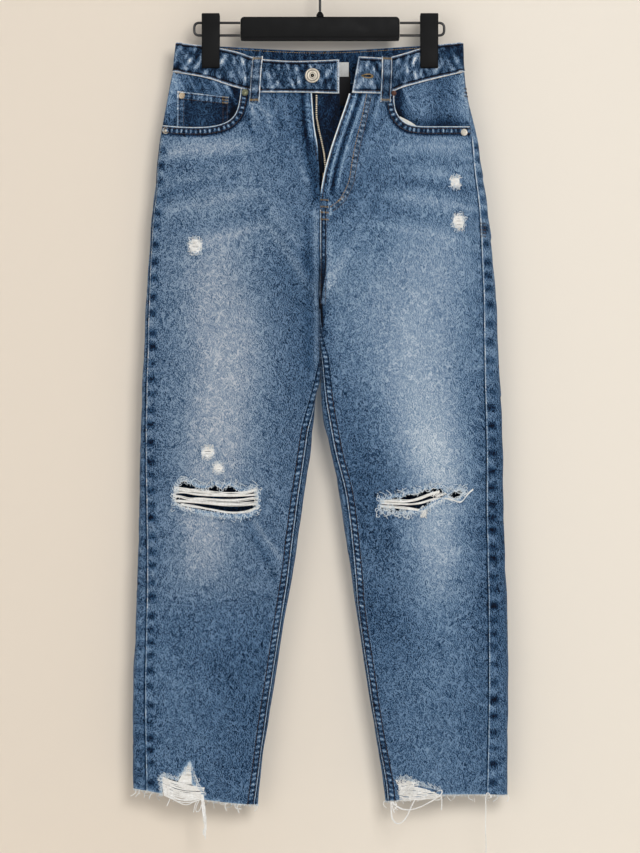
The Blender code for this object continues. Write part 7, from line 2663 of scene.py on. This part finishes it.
def labels():
    """Two bare labels sewn inside the back of the waistband."""
    def patch(name, x0, x1, drop0, drop1, level, thick, material, node, cut_on):
        x, drop = np.meshgrid(np.linspace(x0, x1, 26), np.linspace(drop0, drop1, 24))
        y = level_y(x, drop, "back") + level + 0.12 * np.sin(x / 3.1) * np.sin(drop / 4.0)
        outer = np.stack([x, y, -drop], -1)
        made = shell(name, outer, outer - np.array([0.0, thick, 0.0]), 0.5, 0.0, 0.5, None, material)
        cut_cloth(made, node, x, drop, [cut_on])

    black = grained("Black woven label", (0.004, 0.004, 0.005), (0.016, 0.016, 0.02),
                    1.4, (0.6, 0.8), bump=0.25)
    white = grained("White woven label", (0.50, 0.50, 0.48), (0.80, 0.80, 0.78), 1.4,
                    (0.75, 0.9), bump=0.2, specular=0.1)
    patch("label_care", -22.0, 38.0, 152.0, 193.0, BAND_IN - LAYER_GAP - 0.2, 0.6, black,
          "inner_label", "waistband")
    patch("label_size", 21.0, 36.0, 139.6, 157.5, BAND_IN - LAYER_GAP * 2 - 0.8, 0.5, white,
          "size_label", "inner_label")


def wire(name, path, material):
    return threads(name, [path], WIRE_RADIUS, material, 16)


def corner_path(points, bend):
    """A path of corners with round bends."""
    points = [np.array(p, float) for p in points]
    path = [points[0]]
    for before, here, after in zip(points, points[1:], points[2:]):
        to_before, to_after = before - here, after - here
        to_before, to_after = to_before / np.linalg.norm(to_before), to_after / np.linalg.norm(to_after)
        first, last = here + to_before * bend, here + to_after * bend
        for t in np.linspace(0, 1, 9):
            path.append((1 - t) ** 2 * first + 2 * t * (1 - t) * here + t * t * last)
    return path + [points[-1]]


def hanger():
    """Moulded bar with a raised lip, wires, hook and two clips."""
    black = hanger_plastic()
    coat = grained("Black wire coat", (0.006, 0.006, 0.0065), (0.012, 0.012, 0.013), 1.0,
                   (0.28, 0.4), bump=0.1, specular=0.5)
    half, top, low, corner = BAR_WIDTH / 2, -BAR_TOP, -BAR_TOP - BAR_HEIGHT, 5.0

    def plate(name, x0, x1, z0, z1, y0, y1, radius, bevel):
        outline = []
        for cx, cz, start in ((x1 - radius, z1 - radius, 0), (x0 + radius, z1 - radius, 90),
                              (x0 + radius, z0 + radius, 180), (x1 - radius, z0 + radius, 270)):
            outline += [(cx + radius * math.cos(math.radians(start + k * 15)),
                         cz + radius * math.sin(math.radians(start + k * 15))) for k in range(7)]
        return prism(name, outline, y0, y1, "y", black, bevel)

    bar = plate("bar", -half, half, low, top, -3.4, 3.4, corner, 0.7)
    panel = plate("bar_face", -half + 1.2, half - 1.2, low + 4.6, top - 1.0, -4.0, 4.0, corner - 1.0, 0.5)
    lip = plate("bar_lip", -half + 0.6, half - 0.6, low + 0.2, low + 3.4, -4.0, 4.0, 1.5, 0.6)
    settle(merged("bar", [bar, panel, lip]), "hanger_bar")
    dome = [(0, 0), (4.6, 0), (4.75, 0.8), (4.6, 2.0), (4.1, 3.3), (3.4, 4.4),
            (2.7, 5.2), (2.35, 6.0), (0, 6.0)]
    settle(turned("ferrule", (0, 0, top + LAYER_GAP), (0, 0, 1), dome, 32, black), "hanger_ferrule")
    shank = [(0.0, 0.0, top + 6.6), (0.0, 0.0, -60.0), (0.0, 0.0, -48.5)]
    shank += [(8.0 + 8.0 * math.cos(math.radians(180 - k * 7.0)), 0.0,
               -48.5 + 8.0 * math.sin(math.radians(180 - k * 7.0))) for k in range(1, 16)]
    shank += [(21.6 * math.cos(math.radians(-70.0 + k * 4.3)), 0.0,
               -20.0 + 21.6 * math.sin(math.radians(-70.0 + k * 4.3))) for k in range(0, 64)]
    settle(wire("hook", shank, coat), "hanger_hook")
    for side in (-1, 1):
        word = WORD[side]
        start, end = side * (half + LAYER_GAP), side * ((158.8 if side < 0 else 156.8) - WIRE_RADIUS)
        path = corner_path([(start, 0, -90.9), (end, 0, -90.9), (end, 0, -106.6), (start, 0, -106.6)], 6.6)
        settle(wire("wire_" + word, path, coat), "hanger_wire_" + word)
        middle = side * 136.4
        for face, way in (("front", -1), ("back", 1)):
            jaw = [(3.9, -CLIP_LOW), (7.2, -CLIP_LOW), (8.0, -CLIP_LOW + 2.0), (8.5, -CLIP_LOW + 8.0),
                   (9.0, -118.0), (9.3, -104.0), (10.4, -92.0),
                   (12.4, -CLIP_TOP), (9.4, -CLIP_TOP), (7.6, -88.0), (6.0, -95.0), (5.2, -103.0),
                   (5.2, -118.0), (3.9, -126.0)]
            settle(prism("jaw_" + face + "_" + word, [(way * y, z) for y, z in jaw], middle - CLIP_WIDTH / 2,
                         middle + CLIP_WIDTH / 2, "x", black, 1.3, 4), "clip_jaw_" + face + "_" + word)
        core = [(-4.6, -104.7), (4.6, -104.7), (4.6, -101.6), (4.2, -92.8), (-4.2, -92.8), (-4.6, -101.6)]
        settle(prism("core_" + word, core, middle - 8.8, middle + 8.8, "x", black, 0.4,
                     2), "clip_core_" + word)


# ------------------------------------------------------------------ stage, light and camera
def stage():
    """A pale wall and floor, soft studio light and the camera."""
    scene = bpy.context.scene
    for old in [o for o in scene.objects if o.type in {"LIGHT", "CAMERA"}]:
        bpy.data.objects.remove(old, do_unlink=True)
    scene.view_settings.view_transform = "Standard"
    scene.view_settings.look = "None"
    middle = -0.5954
    far, reach, half_wall = 0.041, 6.0, 2.4
    wall_material = bpy.data.materials.new("Plain wall")
    wall_material.use_nodes = True
    tree = wall_material.node_tree
    shader = tree.nodes["Principled BSDF"]
    place = in_mm(tree)
    # The wall grows lighter towards the right: a painted gradient of the key light, which stands on the
    # right.
    tint = between(tree, knot(tree, "ShaderNodeSeparateXYZ", {0: place}).outputs[0], -330.0, 330.0)
    left, right = (tuple(colours().wall),
                   tuple(min(1.0, v * f) for v, f in zip(colours().wall, (1.05, 1.09, 1.13))))
    tree.links.new(mixed(tree, tint, (*left, 1.0), (*right, 1.0)), shader.inputs["Base Color"])
    shader.inputs["Roughness"].default_value = 0.95
    shader.inputs["Specular IOR Level"].default_value = 0.1
    raise_bump(tree, shader, noise(tree, place, 0.4, 3.0), 0.03, 0.3)
    clear = knot(tree, "ShaderNodeBsdfTransparent")
    facing_back = knot(tree, "ShaderNodeNewGeometry").outputs["Backfacing"]
    blend = knot(tree, "ShaderNodeMixShader", {0: facing_back, 1: shader.outputs[0], 2: clear.outputs[0]})
    tree.links.new(blend.outputs[0], tree.nodes["Material Output"].inputs["Surface"])
    for name, corners, made_of in (
            ("wall", [(-half_wall, far, -3.5), (half_wall, far, -3.5), (half_wall, far, 3.0),
                      (-half_wall, far, 3.0)], wall_material),
            ("floor", [(-reach, -reach, -1.17), (reach, -reach, -1.17), (reach, reach, -1.17),
                       (-reach, reach, -1.17)],
             grained("Plain floor", (0.74, 0.71, 0.66), (0.80, 0.77, 0.72), 0.02, (0.8, 0.9),
                     bump=0.02, specular=0.2))):
        mesh = bpy.data.meshes.new(name)
        mesh.from_pydata(corners, [], [(0, 1, 2, 3)])
        plane = new_object(name, mesh)
        mesh.materials.append(made_of)
        if name == "wall":
            plane.visible_shadow = False
        plane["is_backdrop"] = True
    world = bpy.data.worlds.new("Room")
    world.use_nodes = True
    scene.world = world
    world.node_tree.nodes["Background"].inputs[0].default_value = (0.93, 0.95, 1.0, 1.0)
    world.node_tree.nodes["Background"].inputs[1].default_value = 0.30
    for name, at, aim, size, power in (
            ("key", (1.05, -4.0, 0.75), (0.0, 0.0, -0.58), 1.7, 84.0),
            ("fill", (-1.8, -4.3, -0.3), (0.0, 0.0, -0.6), 2.8, 36.0),
            ("back", (1.8, 3.4, 0.9), (0.0, 0.0, -0.5), 2.0, 70.0),
            ("back_fill", (-2.4, 3.0, 0.2), (0.0, 0.0, -0.6), 2.2, 40.0)):
        lamp = bpy.data.lights.new(name, "AREA")
        lamp.shape, lamp.size, lamp.energy = "DISK", size, power
        lit = bpy.data.objects.new(name, lamp)
        lit.location = at
        lit.rotation_euler = (mathutils.Vector(aim)
                              - mathutils.Vector(at)).to_track_quat("-Z", "Y").to_euler()
        scene.collection.objects.link(lit)
    lens = bpy.data.cameras.new("camera")
    camera = bpy.data.objects.new("camera", lens)
    distance = sizes().camera_distance
    lens.sensor_fit, lens.sensor_height, lens.sensor_width = "VERTICAL", 36.0, 36.0
    lens.lens = 36.0 * distance / sizes().frame_height
    lens.clip_end = 50.0
    camera.location = (0.0, -distance, middle)
    camera.rotation_euler = (math.pi / 2, 0.0, 0.0)
    scene.collection.objects.link(camera)
    scene.camera = camera


# ------------------------------------------------------------------ operators, panel and main
def both(make):
    for side in (-1, 1):
        make(side)


class JEANS_OT_stage(bpy.types.Operator):
    """Sets up the wall, floor, light and camera"""
    bl_idname = "jeans.stage"
    bl_label = "Stage"

    def execute(self, context):
        stage()
        return {"FINISHED"}


class JEANS_OT_fronts(bpy.types.Operator):
    """Makes the two front panels with their rips and the open fly edges"""
    bl_idname = "jeans.fronts"
    bl_label = "Front panels"

    def execute(self, context):
        both(front_panel)
        return {"FINISHED"}


class JEANS_OT_backs(bpy.types.Operator):
    """Makes the back panels, yokes and patch pockets"""
    bl_idname = "jeans.backs"
    bl_label = "Back panels, yokes and pockets"

    def execute(self, context):
        both(back_panel)
        both(yoke)
        both(back_pocket)
        return {"FINISHED"}


class JEANS_OT_waist(bpy.types.Operator):
    """Makes the waistband and its belt loops"""
    bl_idname = "jeans.waist"
    bl_label = "Waistband and belt loops"

    def execute(self, context):
        waistband()
        for loop in LOOPS:
            belt_loop(*loop)
        return {"FINISHED"}


class JEANS_OT_pockets(bpy.types.Operator):
    """Makes the front pockets' facings, coin pocket and pocket bag"""
    bl_idname = "jeans.pockets"
    bl_label = "Front pockets"

    def execute(self, context):
        both(facing)
        coin_pocket()
        pocket_bag()
        return {"FINISHED"}


class JEANS_OT_fly(bpy.types.Operator):
    """Makes the fly shield, zip tapes and teeth"""
    bl_idname = "jeans.fly"
    bl_label = "Fly and zip"

    def execute(self, context):
        fly()
        return {"FINISHED"}


class JEANS_OT_sewing(bpy.types.Operator):
    """Adds the felled seams, topstitching and bartacks"""
    bl_idname = "jeans.sewing"
    bl_label = "Seams and stitches"

    def execute(self, context):
        both(inseam)
        rise_seam()
        seat_seam()
        both(mouth_band)
        band_stitches()
        loop_stitches()
        fly_sewing()
        pocket_sewing()
        both(back_pocket_sewing)
        buttonhole()
        return {"FINISHED"}


class JEANS_OT_knees(bpy.types.Operator):
    """Fills the knee rips with weft threads and frays their edges"""
    bl_idname = "jeans.knees"
    bl_label = "Knee rips"

    def execute(self, context):
        both(knee_rip)
        return {"FINISHED"}


class JEANS_OT_spots(bpy.types.Operator):
    """Adds the small places worn through on the thighs"""
    bl_idname = "jeans.spots"
    bl_label = "Worn spots"

    def execute(self, context):
        both(worn_spots)
        return {"FINISHED"}


class JEANS_OT_hems(bpy.types.Operator):
    """Frays the hems and hangs the loose threads"""
    bl_idname = "jeans.hems"
    bl_label = "Hems and loose threads"

    def execute(self, context):
        hem_fray_right()
        hem_fray_left()
        loose_thread()
        both(hem_edge)
        return {"FINISHED"}


class JEANS_OT_metal(bpy.types.Operator):
    """Makes the shank button and the rivets"""
    bl_idname = "jeans.metal"
    bl_label = "Button and rivets"

    def execute(self, context):
        button_and_rivets()
        return {"FINISHED"}


class JEANS_OT_labels(bpy.types.Operator):
    """Makes the two bare labels inside the waist"""
    bl_idname = "jeans.labels"
    bl_label = "Labels"

    def execute(self, context):
        labels()
        return {"FINISHED"}


class JEANS_OT_hanger(bpy.types.Operator):
    """Makes the hanger with its hook, wires and clips"""
    bl_idname = "jeans.hanger"
    bl_label = "Hanger"

    def execute(self, context):
        hanger()
        return {"FINISHED"}


class JEANS_OT_cloth(bpy.types.Operator):
    """Goes through every cloth piece and the trims on it, without noting anything"""
    bl_idname = "jeans.cloth"
    bl_label = "Cloth sizes"

    def execute(self, context):
        declare_cloth()
        return {"FINISHED"}


OPERATORS = (JEANS_OT_stage, JEANS_OT_fronts, JEANS_OT_backs, JEANS_OT_waist, JEANS_OT_pockets,
             JEANS_OT_fly, JEANS_OT_sewing,
             JEANS_OT_knees, JEANS_OT_spots, JEANS_OT_hems, JEANS_OT_metal, JEANS_OT_labels,
             JEANS_OT_hanger, JEANS_OT_cloth)


class JEANS_PT_pieces(bpy.types.Panel):
    """Sizes, colours and pieces of the jeans"""
    bl_idname = "JEANS_PT_pieces"
    bl_label = "Ripped jeans"
    bl_space_type = "VIEW_3D"
    bl_region_type = "UI"
    bl_category = "Jeans"

    def draw(self, context):
        for group in (context.scene.jeans_sizes, context.scene.jeans_colours):
            box = self.layout.box()
            for name in group.bl_rna.properties.keys():
                if name not in ("rna_type", "name"):
                    box.prop(group, name)
        for operator in OPERATORS:
            self.layout.operator(operator.bl_idname)


CLASSES = (JeansSizes, JeansColours) + OPERATORS + (JEANS_PT_pieces,)


def register():
    for kind in CLASSES:
        bpy.utils.register_class(kind)
    bpy.types.Scene.jeans_sizes = bpy.props.PointerProperty(type=JeansSizes)
    bpy.types.Scene.jeans_colours = bpy.props.PointerProperty(type=JeansColours)


def unregister():
    del bpy.types.Scene.jeans_colours
    del bpy.types.Scene.jeans_sizes
    for kind in reversed(CLASSES):
        bpy.utils.unregister_class(kind)


def main():
    register()
    for operator in OPERATORS:
        family, name = operator.bl_idname.split(".")
        getattr(getattr(bpy.ops, family), name)()
    plain = lambda box: [[float(v) for v in corner] for corner in box]
    {"cad": plain(CAD_BOX), "visual": plain(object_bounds())}


if __name__ == "__main__":
    main()
